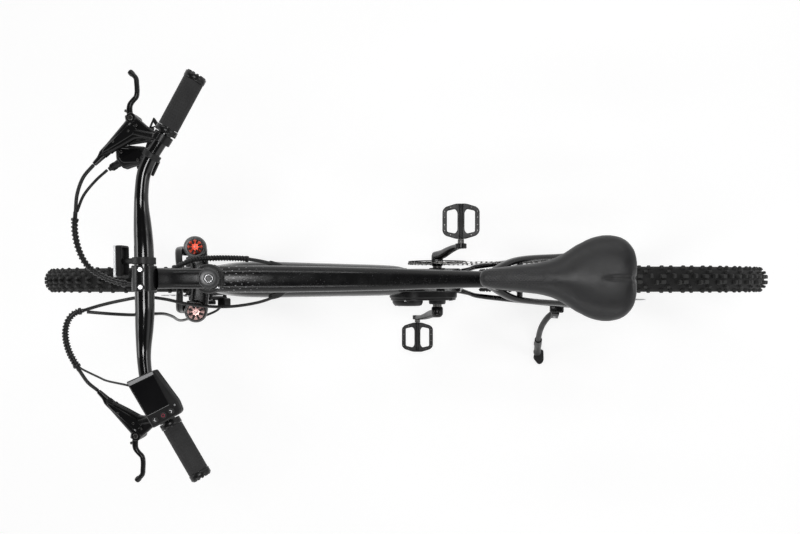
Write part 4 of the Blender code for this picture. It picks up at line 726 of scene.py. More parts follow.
@dataclass(frozen=True)
class Finish:
    """A surface finish: its colour, its gloss, the fine relief and soiling it carries, and on some a painted glow."""

    name: str
    colour: Point
    roughness: float
    metallic: float = 0.0
    pattern: Pattern = Pattern.SMOOTH
    scale: float = 900.0
    depth: float = 0.00002
    spread: float = 0.08
    dust: float = 0.05
    dust_colour: Point = (0.1, 0.098, 0.094)
    coat: float = 0.0
    sheen: float = 0.0
    specular: float = 0.5
    # Emission of the finish's own colour on a part that is no lamp: a painted glow.
    glow: float = 0.0

    def relief(self, nodes: Nodes) -> Socket:
        """Height of the finish's small relief, from nought to one."""
        if self.pattern is Pattern.BRUSHED:
            return nodes.noise(self.scale, 2.0, (1.0, 0.05, 1.0))
        if self.pattern is Pattern.PEBBLED:
            fine = nodes.noise(self.scale * 2.2, 2.0)
            return nodes.math("ADD", nodes.span(nodes.cells(self.scale), 0.0, 0.6, 1.0, 0.0),
                              nodes.math("MULTIPLY", fine, 0.35))
        if self.pattern is Pattern.DIMPLED:
            return nodes.span(nodes.cells(self.scale), 0.1, 0.34, 0.0, 1.0)
        if self.pattern is Pattern.RIBBED:
            wave = nodes.add("TexWave", {"Vector": nodes.coords, "Scale": self.scale, "Distortion": 0.0},
                             wave_type="RINGS", rings_direction="Y")
            return wave.outputs["Fac"]
        detail = 6.0 if self.pattern is Pattern.CAST else 2.0
        return nodes.noise(self.scale, detail)

    def material(self) -> bpy.types.Material:
        """Material of the finish, made once."""
        if self.name in bpy.data.materials:
            return bpy.data.materials[self.name]
        nodes = Nodes(self.name)
        shader = nodes.shader.inputs
        cloud = nodes.noise(11.0, 5.0)
        share = nodes.span(cloud, 0.42, 0.78, 0.0, self.dust)
        colour = nodes.blend(share, self.colour, self.dust_colour)
        if self.pattern is Pattern.SPECKLED:
            dots = nodes.span(nodes.cells(self.scale), 0.12, 0.22, 1.0, 0.0)
            patchy = nodes.span(nodes.noise(60.0), 0.45, 0.6, 0.0, 0.55)
            colour = nodes.blend(nodes.math("MULTIPLY", dots, patchy), colour, (0.14, 0.14, 0.145))
            # Pale lattice dots mixed into the colour: a painted highlight on the top tube.
            colour = nodes.blend(nodes.lattice(), colour, (0.3, 0.3, 0.31))
        nodes.tree.links.new(colour, shader["Base Color"])
        gloss = nodes.span(nodes.noise(45.0, 4.0), 0.25, 0.75, self.roughness - self.spread,
                           self.roughness + self.spread)
        nodes.tree.links.new(gloss, shader["Roughness"])
        bump = nodes.add("Bump", {"Height": self.relief(nodes), "Strength": 1.0, "Distance": self.depth})
        nodes.tree.links.new(bump.outputs[0], shader["Normal"])
        for key, value in (("Metallic", self.metallic), ("Coat Weight", self.coat), ("Coat Roughness", 0.12),
                           ("Sheen Weight", self.sheen), ("Specular IOR Level", self.specular)):
            shader[key].default_value = value
        # Painted glow: the colour is given off as light.
        if self.glow > 0:
            shader["Emission Color"].default_value = (*self.colour, 1.0)
            shader["Emission Strength"].default_value = self.glow
        return nodes.material


PAINT = Finish("frame_paint", (0.0042, 0.0042, 0.0045), 0.25, pattern=Pattern.SPECKLED, scale=330.0,
               depth=0.00001, coat=0.12, dust=0.02, specular=0.3)
WELD_PAINT = Finish("weld_paint", (0.005, 0.005, 0.0054), 0.36, pattern=Pattern.CAST, scale=700.0, coat=0.1,
                    specular=0.32)
ANODISED = Finish("black_anodised", (0.006, 0.006, 0.0063), 0.28, metallic=0.25, pattern=Pattern.CAST,
                  scale=1500.0, depth=0.00001, dust=0.03, specular=0.36)
CASTING = Finish("black_casting", (0.008, 0.008, 0.0084), 0.38, metallic=0.15, pattern=Pattern.CAST,
                 scale=1100.0, depth=0.000025, dust=0.04, specular=0.36)
PLASTIC = Finish("moulded_plastic", (0.0065, 0.0065, 0.0068), 0.46, pattern=Pattern.PEBBLED, scale=1400.0,
                 depth=0.000025, dust=0.04, specular=0.32)
GLOSS_PLASTIC = Finish("gloss_plastic", (0.004, 0.004, 0.0043), 0.14, spread=0.04, dust=0.02, coat=0.3,
                       specular=0.38)
GLOSS_BLACK = Finish("gloss_black", (0.003, 0.003, 0.0032), 0.12, spread=0.03, dust=0.02)
CAP_GREY = Finish("cap_grey", (0.038, 0.038, 0.039), 0.34, metallic=0.4)
RUBBER = Finish("grip_rubber", (0.013, 0.013, 0.0134), 0.72, pattern=Pattern.PEBBLED, scale=1200.0,
                depth=0.00004, sheen=0.05, specular=0.36)
HOSE = Finish("hose_jacket", (0.005, 0.005, 0.0053), 0.36, pattern=Pattern.CAST, scale=1800.0, dust=0.03,
              specular=0.38)
TYRE_TREAD = Finish("tyre_tread", (0.018, 0.018, 0.0178), 0.7, pattern=Pattern.CAST, scale=900.0,
                    depth=0.00006, dust=0.1, dust_colour=(0.055, 0.052, 0.048), specular=0.42)
# Knobs and casing are one rubber; the casing is painted much darker, as painted shade in the gaps between the knobs.
TYRE_CASING_PAINTED_SHADE = Finish("tyre_casing_painted_shade", (0.0035, 0.0035, 0.0035), 0.66, pattern=Pattern.RIBBED, scale=90.0,
                   depth=0.00008, dust=0.06, dust_colour=(0.045, 0.043, 0.04), specular=0.3)
CHROME = Finish("polished_steel", (0.62, 0.62, 0.63), 0.16, metallic=1.0, depth=0.000006, spread=0.06,
                dust=0.15, dust_colour=(0.3, 0.29, 0.28))
STEEL = Finish("brushed_steel", (0.46, 0.46, 0.47), 0.3, metallic=1.0, pattern=Pattern.BRUSHED,
               depth=0.00001, dust=0.2, dust_colour=(0.2, 0.19, 0.18))
DARK_STEEL = Finish("oiled_steel", (0.13, 0.128, 0.125), 0.33, metallic=1.0, pattern=Pattern.CAST,
                    scale=1300.0, dust=0.35, dust_colour=(0.05, 0.046, 0.042))
COVER = Finish("saddle_vinyl", (0.0085, 0.0085, 0.0092), 0.44, pattern=Pattern.PEBBLED, scale=900.0,
               depth=0.00004, sheen=0.02, dust=0.04, specular=0.42)
SCREEN = Finish("screen_glass", (0.004, 0.004, 0.0045), 0.12, spread=0.03, dust=0.04, specular=0.3)
GREY_TRIM = Finish("grey_trim", (0.24, 0.24, 0.245), 0.45, pattern=Pattern.PEBBLED, scale=1400.0)
# The signs on the display's buttons carry a painted glow.
MARKING = Finish("pale_marking", (0.6, 0.6, 0.61), 0.55, glow=0.15)
POWER_RED = Finish("power_red", (0.45, 0.03, 0.07), 0.45, glow=0.2)
RED_ANODISED = Finish("red_anodised", (0.55, 0.06, 0.03), 0.34, metallic=0.75, depth=0.00001)
PINK_ANODISED = Finish("pink_anodised", (0.5, 0.31, 0.29), 0.36, metallic=0.85, pattern=Pattern.BRUSHED,
                       depth=0.00001)
LENS = Finish("clear_lens", (0.8, 0.81, 0.82), 0.1, spread=0.03, pattern=Pattern.DIMPLED, scale=420.0,
              depth=0.0002, coat=0.5, dust=0.04)


# Wheels

class Tread(enum.Enum):
    """Pattern of knobs on a tyre: the knobs in a row, and each row's place, phase, lean, turn and knob size."""

    DIAGONAL = (66, ((0.0045, 0.0, 0.0, 26.0, (0.0118, 0.0058, 0.009)),
                     (0.0128, 0.5, 12.0, -30.0, (0.0108, 0.0058, 0.009)),
                     (0.0196, 0.0, 30.0, 18.0, (0.009, 0.0064, 0.0088)),
                     (0.024, 0.5, 46.0, 0.0, (0.0092, 0.007, 0.0084))))
    BLOCKS = (46, ((0.0058, 0.0, 0.0, 0.0, (0.013, 0.0088, 0.0092)),
                   (0.0066, 0.5, 0.0, 0.0, (0.0074, 0.0104, 0.0092)),
                   (0.0158, 0.25, 17.0, 8.0, (0.0092, 0.0062, 0.0092)),
                   (0.0236, 0.0, 43.0, 0.0, (0.01, 0.0084, 0.0088)),
                   (0.024, 0.42, 46.0, 0.0, (0.0086, 0.0072, 0.0084))))


@dataclass
class Wheel:
    """Tyre, rim with its spokes and hub, brake rotor and axle of one wheel."""

    name: str
    centre: Array
    flanges: Pair
    rotor_y: float
    end_y: float
    nut_y: float
    tread: Tread
    driver: bool = False
    tyre_r: float = 0.352
    crown_r: float = 0.0298
    rim_inner: float = 0.272
    hub_r: float = 0.015
    flange_r: float = 0.029
    rotor_r: float = 0.08
    spokes: int = 32
    spoke_r: float = 0.001
    crossing: float = math.radians(67.5)

    def around(self, angle: Array | float, radius: Array | float, y: Array | float) -> Array:
        """Places at angles round the hub."""
        out = np.asarray(radius)[..., None] * fan(angle, FORWARD, UP)
        return self.centre + out + np.asarray(y)[..., None] * LEFT

    def casing(self) -> Skin:
        """Tyre without its knobs: a section of radius r and width y turned about the axle."""
        side = [(0.301, 0.013), (0.3055, 0.0158), (0.312, 0.0218), (0.319, 0.0256), (0.3265, 0.0266),
                (0.333, 0.0246), (0.338, 0.0202), (0.3415, 0.014), (0.3434, 0.007), (0.344, 0.0)]
        profile = side + [(r, -y) for r, y in side[-2::-1]]
        return lathe(smooth_path(profile, 44), self.centre, LEFT, 160, closed=True)

    def knobs(self) -> list[Skin]:
        """Rows of tread knobs on both sides of the tyre's middle."""
        count, rows = self.tread.value
        skins = []
        for y, phase, lean, turn, size in rows:
            for side in (-1, 1):
                angle = even_angles(count, phase + 0.25 * (side > 0) * (phase == 0.5))
                lean_r, turn_r = side * math.radians(lean), side * math.radians(turn)
                out, run = fan(angle, FORWARD, UP), fan(angle, UP, -FORWARD)
                normal = math.cos(lean_r) * out + math.sin(lean_r) * LEFT
                across = math.cos(lean_r) * LEFT - math.sin(lean_r) * out
                x = math.cos(turn_r) * run + math.sin(turn_r) * across
                bases = axes(x, np.cross(normal, x), normal)
                radius = self.tyre_r - size[2] / 2 - self.crown_r * (1 - math.sqrt(1 - (y / self.crown_r) ** 2))
                skins.append(repeated(stud(size), bases, self.around(angle, radius, side * y)).looks(1))
        return skins

    def rim(self) -> list[Skin]:
        """Double-walled rim with its spoke eyelets and valve."""
        outer = [(0.299, 0.015), (0.3005, 0.0146), (0.3005, 0.0128), (0.295, 0.012), (0.2935, 0.006)]
        inner = [(0.29, -0.0149), (0.28, -0.012), (0.2735, -0.0075), (0.272, -0.004)]
        skins = [lathe(both_sides(outer) + both_sides(inner), self.centre, LEFT, 144, closed=True)]
        angle, side = self.holes()
        start = self.around(angle, self.rim_inner + 0.0006, side * 0.0018)
        end = self.around(angle, self.rim_inner - 0.0008, side * 0.0018)
        skins += [rod(a, b, 0.0034, sides=10, fillet=0.0003).looks(1) for a, b in zip(start, end)]
        up = vec(math.cos(2.1), 0, math.sin(2.1))
        base = self.centre + (self.rim_inner + 0.001) * up
        skins += [rod(base, base - 0.006 * up, 0.0042, sides=12).looks(2),
                  rod(base, base - 0.034 * up, 0.0029, sides=12).looks(1),
                  rod(base - 0.026 * up, base - 0.042 * up, 0.004, 0.0034, sides=12, fillet=0.001).looks(2)]
        return skins

    def holes(self) -> tuple[Array, Array]:
        """Angles of the rim's spoke holes, and the side that each leans to."""
        return even_angles(self.spokes), np.where(np.arange(self.spokes) % 2 == 0, 1.0, -1.0)

    def lacing(self) -> list[Skin]:
        """Spokes crossed three times, each with its elbow at the flange and its nipple at the rim."""
        right, left = self.flanges
        seat_r = self.flange_r - 0.003
        skins = []
        for i in range(self.spokes):
            lean = 1 if i % 4 < 2 else -1
            seat = 2 * math.pi * i / self.spokes
            tip = seat + lean * self.crossing
            inward, y = (-1, left) if i % 2 == 0 else (1, right)
            face = y + 0.0026 * lean * inward
            start = self.around(seat, seat_r, y - 0.0028 * lean * inward)
            elbow = self.around(seat, seat_r, face)
            end = self.around(tip, self.rim_inner - 0.001, -inward * 0.0018)
            on = elbow + 0.006 * unit(end - elbow)
            wire = np.vstack((start, elbow - 0.0006 * unit(elbow - start), on, 0.5 * (on + end), end))
            skins.append(swept(wire, 2 * self.spoke_r, side=unit(np.cross(end - elbow, LEFT)), sides=6))
            away = unit(start - elbow)
            skins.append(rod(start - 0.0004 * away, start + 0.0012 * away, 0.0021, sides=8, fillet=0.0004))
            skins.append(rod(end, end + 0.0125 * unit(on - end), 0.0022, 0.0018, sides=8, fillet=0.0004).looks(1))
        return skins

    def shell(self) -> list[Skin]:
        """Hub body: flanges, barrel, rotor seat and end caps turned about the axle."""
        right, left = self.flanges
        y, f, h = self.rotor_y, self.flange_r, self.hub_r
        rim = both_sides([(f - 0.001, 0.0017), (f, 0.0009)])
        profile = [(0.0058, self.end_y), (0.0092, self.end_y), (0.01, self.end_y - 0.0008), (0.01, y + 0.0025),
                   (0.0175, y + 0.0024), (0.019, y + 0.0016), (0.0194, y - 0.003), (0.017, y - 0.0045),
                   (0.017, left + 0.0042), *[(r, left + rise) for r, rise in rim], (f - 0.006, left - 0.0022),
                   (h + 0.002, left - 0.005), (h, left - 0.009), (h - 0.0008, (left + right) / 2), (h, right + 0.009),
                   (h + 0.002, right + 0.005), (f - 0.006, right + 0.0022), *[(r, right + rise) for r, rise in rim],
                   (0.0168, right - 0.0036)]
        if self.driver:
            profile += [(0.0164, right - 0.0045), (0.0164, -0.056), (0.015, -0.0575), (0.01, -0.0575)]
        profile += [(0.01, 0.0008 - self.end_y), (0.0092, -self.end_y), (0.0058, -self.end_y)]
        return [lathe(profile, self.centre, LEFT, 56, closed=True)]

    def rotor(self) -> list[Skin]:
        """Brake rotor: waved edge, six swept arms and rows of drilled holes, held by six bolts."""
        angle = even_angles(216)
        outline = (self.rotor_r - 0.0009 + 0.0009 * np.cos(18 * angle))[:, None] * on_circle(angle)
        holes = [disc_points(0.0135, 32)]
        holes += [window(a, (0.06, 9, 0.14, 0.66), (0.0262, 7, 0.76, -0.5)) for a in even_angles(6)]
        for radius, a in zip((0.0655, 0.07, 0.0745) * 12, even_angles(36)):
            holes.append(disc_points(0.0021, 8, radius * on_circle(a)))
        skins = [sheet_metal(outline, 0.0019, SIDE_PLANE, self.centre + self.rotor_y * LEFT, holes, 0.0002)]
        for angle in even_angles(6, 0.5):
            skins += bolt_head(self.around(angle, 0.018, self.rotor_y + 0.0009), LEFT, 0.0034, 0.0026, 1)
        return skins

    def axle(self) -> list[Skin]:
        """Threaded axle with flanged nuts outside the dropouts."""
        reach = self.nut_y + 0.0078
        skins = [rod(self.centre - reach * LEFT, self.centre + reach * LEFT, 0.0045, sides=20, fillet=0.0008)]
        for side in (-1, 1):
            seat = self.centre + side * (self.nut_y + 0.0003) * LEFT
            turn = lathe([(0, 0), (0.0098, 0), (0.0098, 0.0012), (0.0088, 0.0018), (0, 0.0018)], seat,
                         side * LEFT, 32)
            nut = lathe([(0, 0.001), (0.0086, 0.001), (0.0086, 0.0055), (0.0072, 0.0064), (0, 0.0064)],
                        seat, side * LEFT, 6)
            skins += [turn, nut]
        return skins

    def build(self) -> None:
        """Make every piece of the wheel."""
        made(self.name + "_tyre_and_tread", [self.casing()] + self.knobs(), (TYRE_CASING_PAINTED_SHADE, TYRE_TREAD),
             self.name + "_tyre")
        made(self.name + "_rim_and_valve", self.rim(), (ANODISED, STEEL, PLASTIC), self.name + "_rim")
        made(self.name + "_hub_and_spokes", self.shell() + [s.looks(s.look + 1) for s in self.lacing()],
             (ANODISED, STEEL, CHROME), self.name + "_hub")
        made(self.name + "_rotor_disc", self.rotor(), (STEEL, DARK_STEEL), self.name + "_rotor")
        made(self.name + "_axle_and_nuts", self.axle(), (DARK_STEEL,), self.name + "_axle")


# Main frame

@dataclass
class MainFrame:
    """Welded frame: tubes, motor cradle, stays, dropouts and stand bracket, with the battery."""

    down: tuple = (((0.327, 0.85), 0.048, 0.05), ((0.275, 0.765), 0.073, 0.074), ((0.15, 0.585), 0.076, 0.08),
                   ((0.03, 0.412), 0.076, 0.08), ((-0.008, 0.36), 0.066, 0.066))
    top: tuple = (((0.316, 0.899), 0.05, 0.046), ((0.19, 0.858), 0.051, 0.044), ((0.02, 0.795), 0.046, 0.04),
                  ((-0.12, 0.735), 0.038, 0.036), ((-0.222, 0.692), 0.034, 0.032))
    head: Pair = (0.51, 0.63)
    head_r: float = 0.0265
    seat_r: float = 0.0185
    stay_line: tuple = ((-0.216, 0.01, 0.664), (-0.282, 0.043, 0.607), (-0.4, 0.056, 0.495),
                        (-0.5, 0.0675, 0.4), (-0.533, 0.0675, 0.366))
    left_chainstay: tuple = ((-0.146, 0.022, 0.3), (-0.183, 0.033, 0.3), (-0.225, 0.043, 0.305),
                             (-0.4, 0.06, 0.332), (-0.49, 0.0675, 0.347), (-0.528, 0.0675, 0.351))
    right_chainstay: tuple = ((-0.146, -0.018, 0.3), (-0.183, -0.029, 0.3), (-0.225, -0.0395, 0.305),
                              (-0.4, -0.0585, 0.332), (-0.48, -0.067, 0.346), (-0.528, -0.0675, 0.351))
    cradle: tuple = ((0.05, 0.372), (0.004, 0.425), (-0.062, 0.402), (-0.108, 0.398), (-0.114, 0.45),
                     (-0.16, 0.448), (-0.166, 0.345), (-0.17, 0.288), (-0.15, 0.27))
    left_dropout: tuple = ((-0.505, 0.37), (-0.505, 0.332), (-0.545, 0.326), (-0.572, 0.338), (-0.574, 0.364),
                           (-0.545, 0.384), (-0.52, 0.396))
    right_dropout: tuple = ((-0.505, 0.37), (-0.505, 0.332), (-0.54, 0.326), (-0.548, 0.306), (-0.572, 0.306),
                            (-0.574, 0.364), (-0.545, 0.384), (-0.52, 0.396))
    battery: Point = (0.37, 0.0578, 0.0545)

    def tube(self, stations: tuple, power: float) -> Skin:
        """Shaped tube: its stations' places and sizes run smoothly into each other."""
        return shaped_tube([(x, 0.0, z, width, height) for (x, z), width, height in stations], 48, 40, power)

    def round_tubes(self) -> list[Skin]:
        """Head tube with flared ends, and seat tube with its slotted top."""
        low, high = self.head
        r = self.head_r
        head = lathe([(0, low), (r, low), (r + 0.0006, low + 0.001), (r + 0.0006, low + 0.006),
                      (r - 0.0006, low + 0.012), (r - 0.0012, (low + high) / 2), (r - 0.0006, high - 0.012),
                      (r + 0.0006, high - 0.006), (r + 0.0006, high - 0.001), (r, high), (0, high)],
                     PLAN.steer(0), PLAN.steer_up, 64)
        seat = rod(BRACKET + 0.1 * PLAN.seat_up, PLAN.seat_top, self.seat_r, sides=48, fillet=0.0008)
        return [head, seat]

    def stays(self) -> list[Skin]:
        """Seat stays and chainstays, each a bent tube that narrows backwards."""
        skins = []
        for side in (1, -1):
            rows = np.column_stack((np.array(self.stay_line) * vec(1, side, 1), (0.016, 0.014, 0.013, 0.013, 0.011),
                                    (0.026, 0.022, 0.019, 0.019, 0.018)))
            skins.append(shaped_tube(rows, 60, 24, 0.85))
        for line in (self.left_chainstay, self.right_chainstay):
            rows = np.column_stack((line, (0.02, 0.012, 0.013, 0.015, 0.012, 0.011),
                                    (0.04, 0.038, 0.034, 0.026, 0.024, 0.022)))
            skins.append(shaped_tube(rows, 60, 24, 0.8))
        bridge = vec(-0.29, 0, 0.6)
        skins.append(rod(bridge - 0.043 * LEFT, bridge + 0.043 * LEFT, 0.0065, sides=20))
        return skins

    def plates(self) -> list[Skin]:
        """Motor cradle, dropouts with the axle holes, and hanger."""
        rear = disc_points(PLAN.motor_rear_r + 0.0006, 22, in_plane(BRACKET), math.radians(213), -math.radians(105))
        front = disc_points(PLAN.motor_r + 0.0006, 22, PLAN.motor, math.radians(108), -math.radians(92.3))
        outer = filleted([self.cradle[0]] + [(*p, 0.008) for p in self.cradle[1:-1]] + [self.cradle[-1]], 5)
        cradle = np.vstack((outer, rear, front, [(0.03, 0.335)]))
        skins = [sheet_metal(cradle, 0.058, SIDE_PLANE, vec(0, 0, 0), bevel=0.0025)]
        hole = disc_points(0.0055, 20, in_plane(PLAN.rear_axle))
        for outline, y in ((self.left_dropout, PLAN.dropout_y), (self.right_dropout, -PLAN.dropout_y)):
            rows = [(*p, 0.006) for p in outline]
            loop = filleted([outline[-1]] + rows + [outline[0]], 5)[1:-1]
            skins.append(sheet_metal(loop, 0.008, SIDE_PLANE, vec(0, y, 0), [hole], 0.001))
        return skins

    def bracket(self) -> list[Skin]:
        """Stand bracket under the left chainstay, with its cheeks and pin."""
        axis, pivot = unit(PLAN.stand_axis), vec(*PLAN.stand_pivot)
        down = unit(np.cross(FORWARD, axis))
        basis = axes(axis, unit(np.cross(down, axis)), down)
        skins = [block((0.036, 0.024, 0.014), None, vec(-0.414, 0.073, 0.319), 0.0045)]
        for side in (-1, 1):
            skins.append(block((0.004, 0.02, 0.03), basis, pivot + side * 0.0135 * axis + 0.006 * down, 0.0012))
        skins.append(rod(pivot - 0.0158 * axis, pivot + 0.0158 * axis, 0.0035, sides=20).looks(1))
        return skins

    def beads(self) -> list[Skin]:
        """Welds where a tube meets a round one.

        Each point p of the tube's outline runs along the tube until its distance from the round
        tube's axis is that tube's radius: the smaller root of |cross(p + t d, n)| = r.
        """
        skins = []
        joints = ((self.down[0], self.down[1], PLAN.steer(0), PLAN.steer_up, self.head_r, 0.62),
                  (self.top[0], self.top[1], PLAN.steer(0), PLAN.steer_up, self.head_r, 0.75),
                  (self.top[-1], self.top[-2], BRACKET, PLAN.seat_up, self.seat_r, 0.75))
        for near, far, foot, axis, radius, power in joints:
            start = vec(far[0][0], 0, far[0][1])
            run = unit(vec(near[0][0], 0, near[0][1]) - start)
            up = np.cross(run, LEFT)
            ring = ring_shape(104, power) * vec(near[1] / 2, near[2] / 2)
            rows = start + ring[:, :1] * LEFT + ring[:, 1:] * up - foot
            across, slope = np.cross(rows, axis), np.cross(run, axis)
            a, b, c = slope @ slope, across @ slope, (across**2).sum(axis=1) - (radius + 0.0006) ** 2
            reach = (-b - np.sqrt(np.maximum(b**2 - a * c, 0))) / a
            skins.append(weld_bead(rows + foot + reach[:, None] * run, 0.0019, run).looks(2))
        circle = BRACKET + 0.1545 * PLAN.seat_up + 0.0196 * fan(even_angles(104), vec(1.03, 0, 0.04), LEFT)
        skins.append(weld_bead(circle, 0.002, UP).looks(2))
        return skins

    def ports(self) -> list[Skin]:
        """Cable ports on both sides of the down tube, and the bolts of the bottle holder."""
        skins = []
        for side, inward in ((-1, 0.0), (1, 0.003)):
            line = vec((0.231, side * (0.033 + inward), 0.7765), (0.218, side * (0.028 + inward), 0.756),
                       (0.211, side * 0.0225, 0.74), (0.205, side * 0.02, 0.728))
            width, height = np.linspace(0.0115, 0.015, 14), np.linspace(0.011, 0.016, 14)
            skins.append(swept(smooth_path(line, 14), width, height, power=0.8, fillet=0.002).looks(3))
        run = unit(vec(0.245, 0, 0.353))
        normal = unit(vec(-0.353, 0, 0.245))
        for step in (-0.032, 0.032):
            skins += bolt_head(vec(0.15, 0, 0.585) + step * run + 0.0395 * normal, normal, 0.0048, 0.0035, 1)
        return skins

    def pack(self) -> list[Skin]:
        """Battery cover set in the underside of the down tube, with its lock."""
        run = unit(vec(0.245, 0, 0.353))
        below = unit(np.cross(LEFT, run))
        below = -below if below[2] > 0 else below
        basis = axes(run, LEFT, np.cross(run, LEFT))
        middle = vec(0.15, 0, 0.585) + below * 0.0137
        body = block(self.battery, basis, middle, 0.009)
        length, width, _ = self.battery
        seam = block((length + 0.0024, width + 0.0026, 0.05), basis, middle - below * 0.0012, 0.008)
        lock = rod(middle + 0.15 * run + 0.028 * LEFT, middle + 0.15 * run + 0.0305 * LEFT, 0.0085, sides=28)
        return [body, seam.looks(1), lock.looks(2)]

    def build(self) -> None:
        """Make the frame, its battery cover and the headset cups."""
        skins = [self.tube(self.down, 0.62), self.tube(self.top, 0.75)] + self.round_tubes() + self.stays()
        skins += self.plates() + self.bracket() + self.beads() + self.ports()
        made("welded_frame", skins, (PAINT, STEEL, WELD_PAINT, PLASTIC), "frame")
        made("battery_cover", self.pack(), (PLASTIC, RUBBER, STEEL), "battery_pack")
        low, high = self.head
        lower = lathe([(0.015, 0.0065), (0.0255, 0.0065), (0.0268, 0.005), (0.0272, 0.0), (0.0268, -0.005),
                       (0.0255, -0.0065), (0.015, -0.0065)], PLAN.steer(low - 0.0068), PLAN.steer_up, 56,
                      closed=True)
        made("lower_headset", [lower], (ANODISED,), "headset_lower_cup")
        upper = lathe([(0.015, 0.0), (0.0262, 0.0), (0.0268, 0.0008), (0.0266, 0.004), (0.0255, 0.005),
                       (0.0252, 0.0062), (0.025, 0.01), (0.0215, 0.0128), (0.02, 0.0152), (0.015, 0.0152)],
                      PLAN.steer(high + 0.0003), PLAN.steer_up, 56, closed=True)
        made("upper_headset", [upper], (ANODISED,), "headset_upper_cup")


# Fork

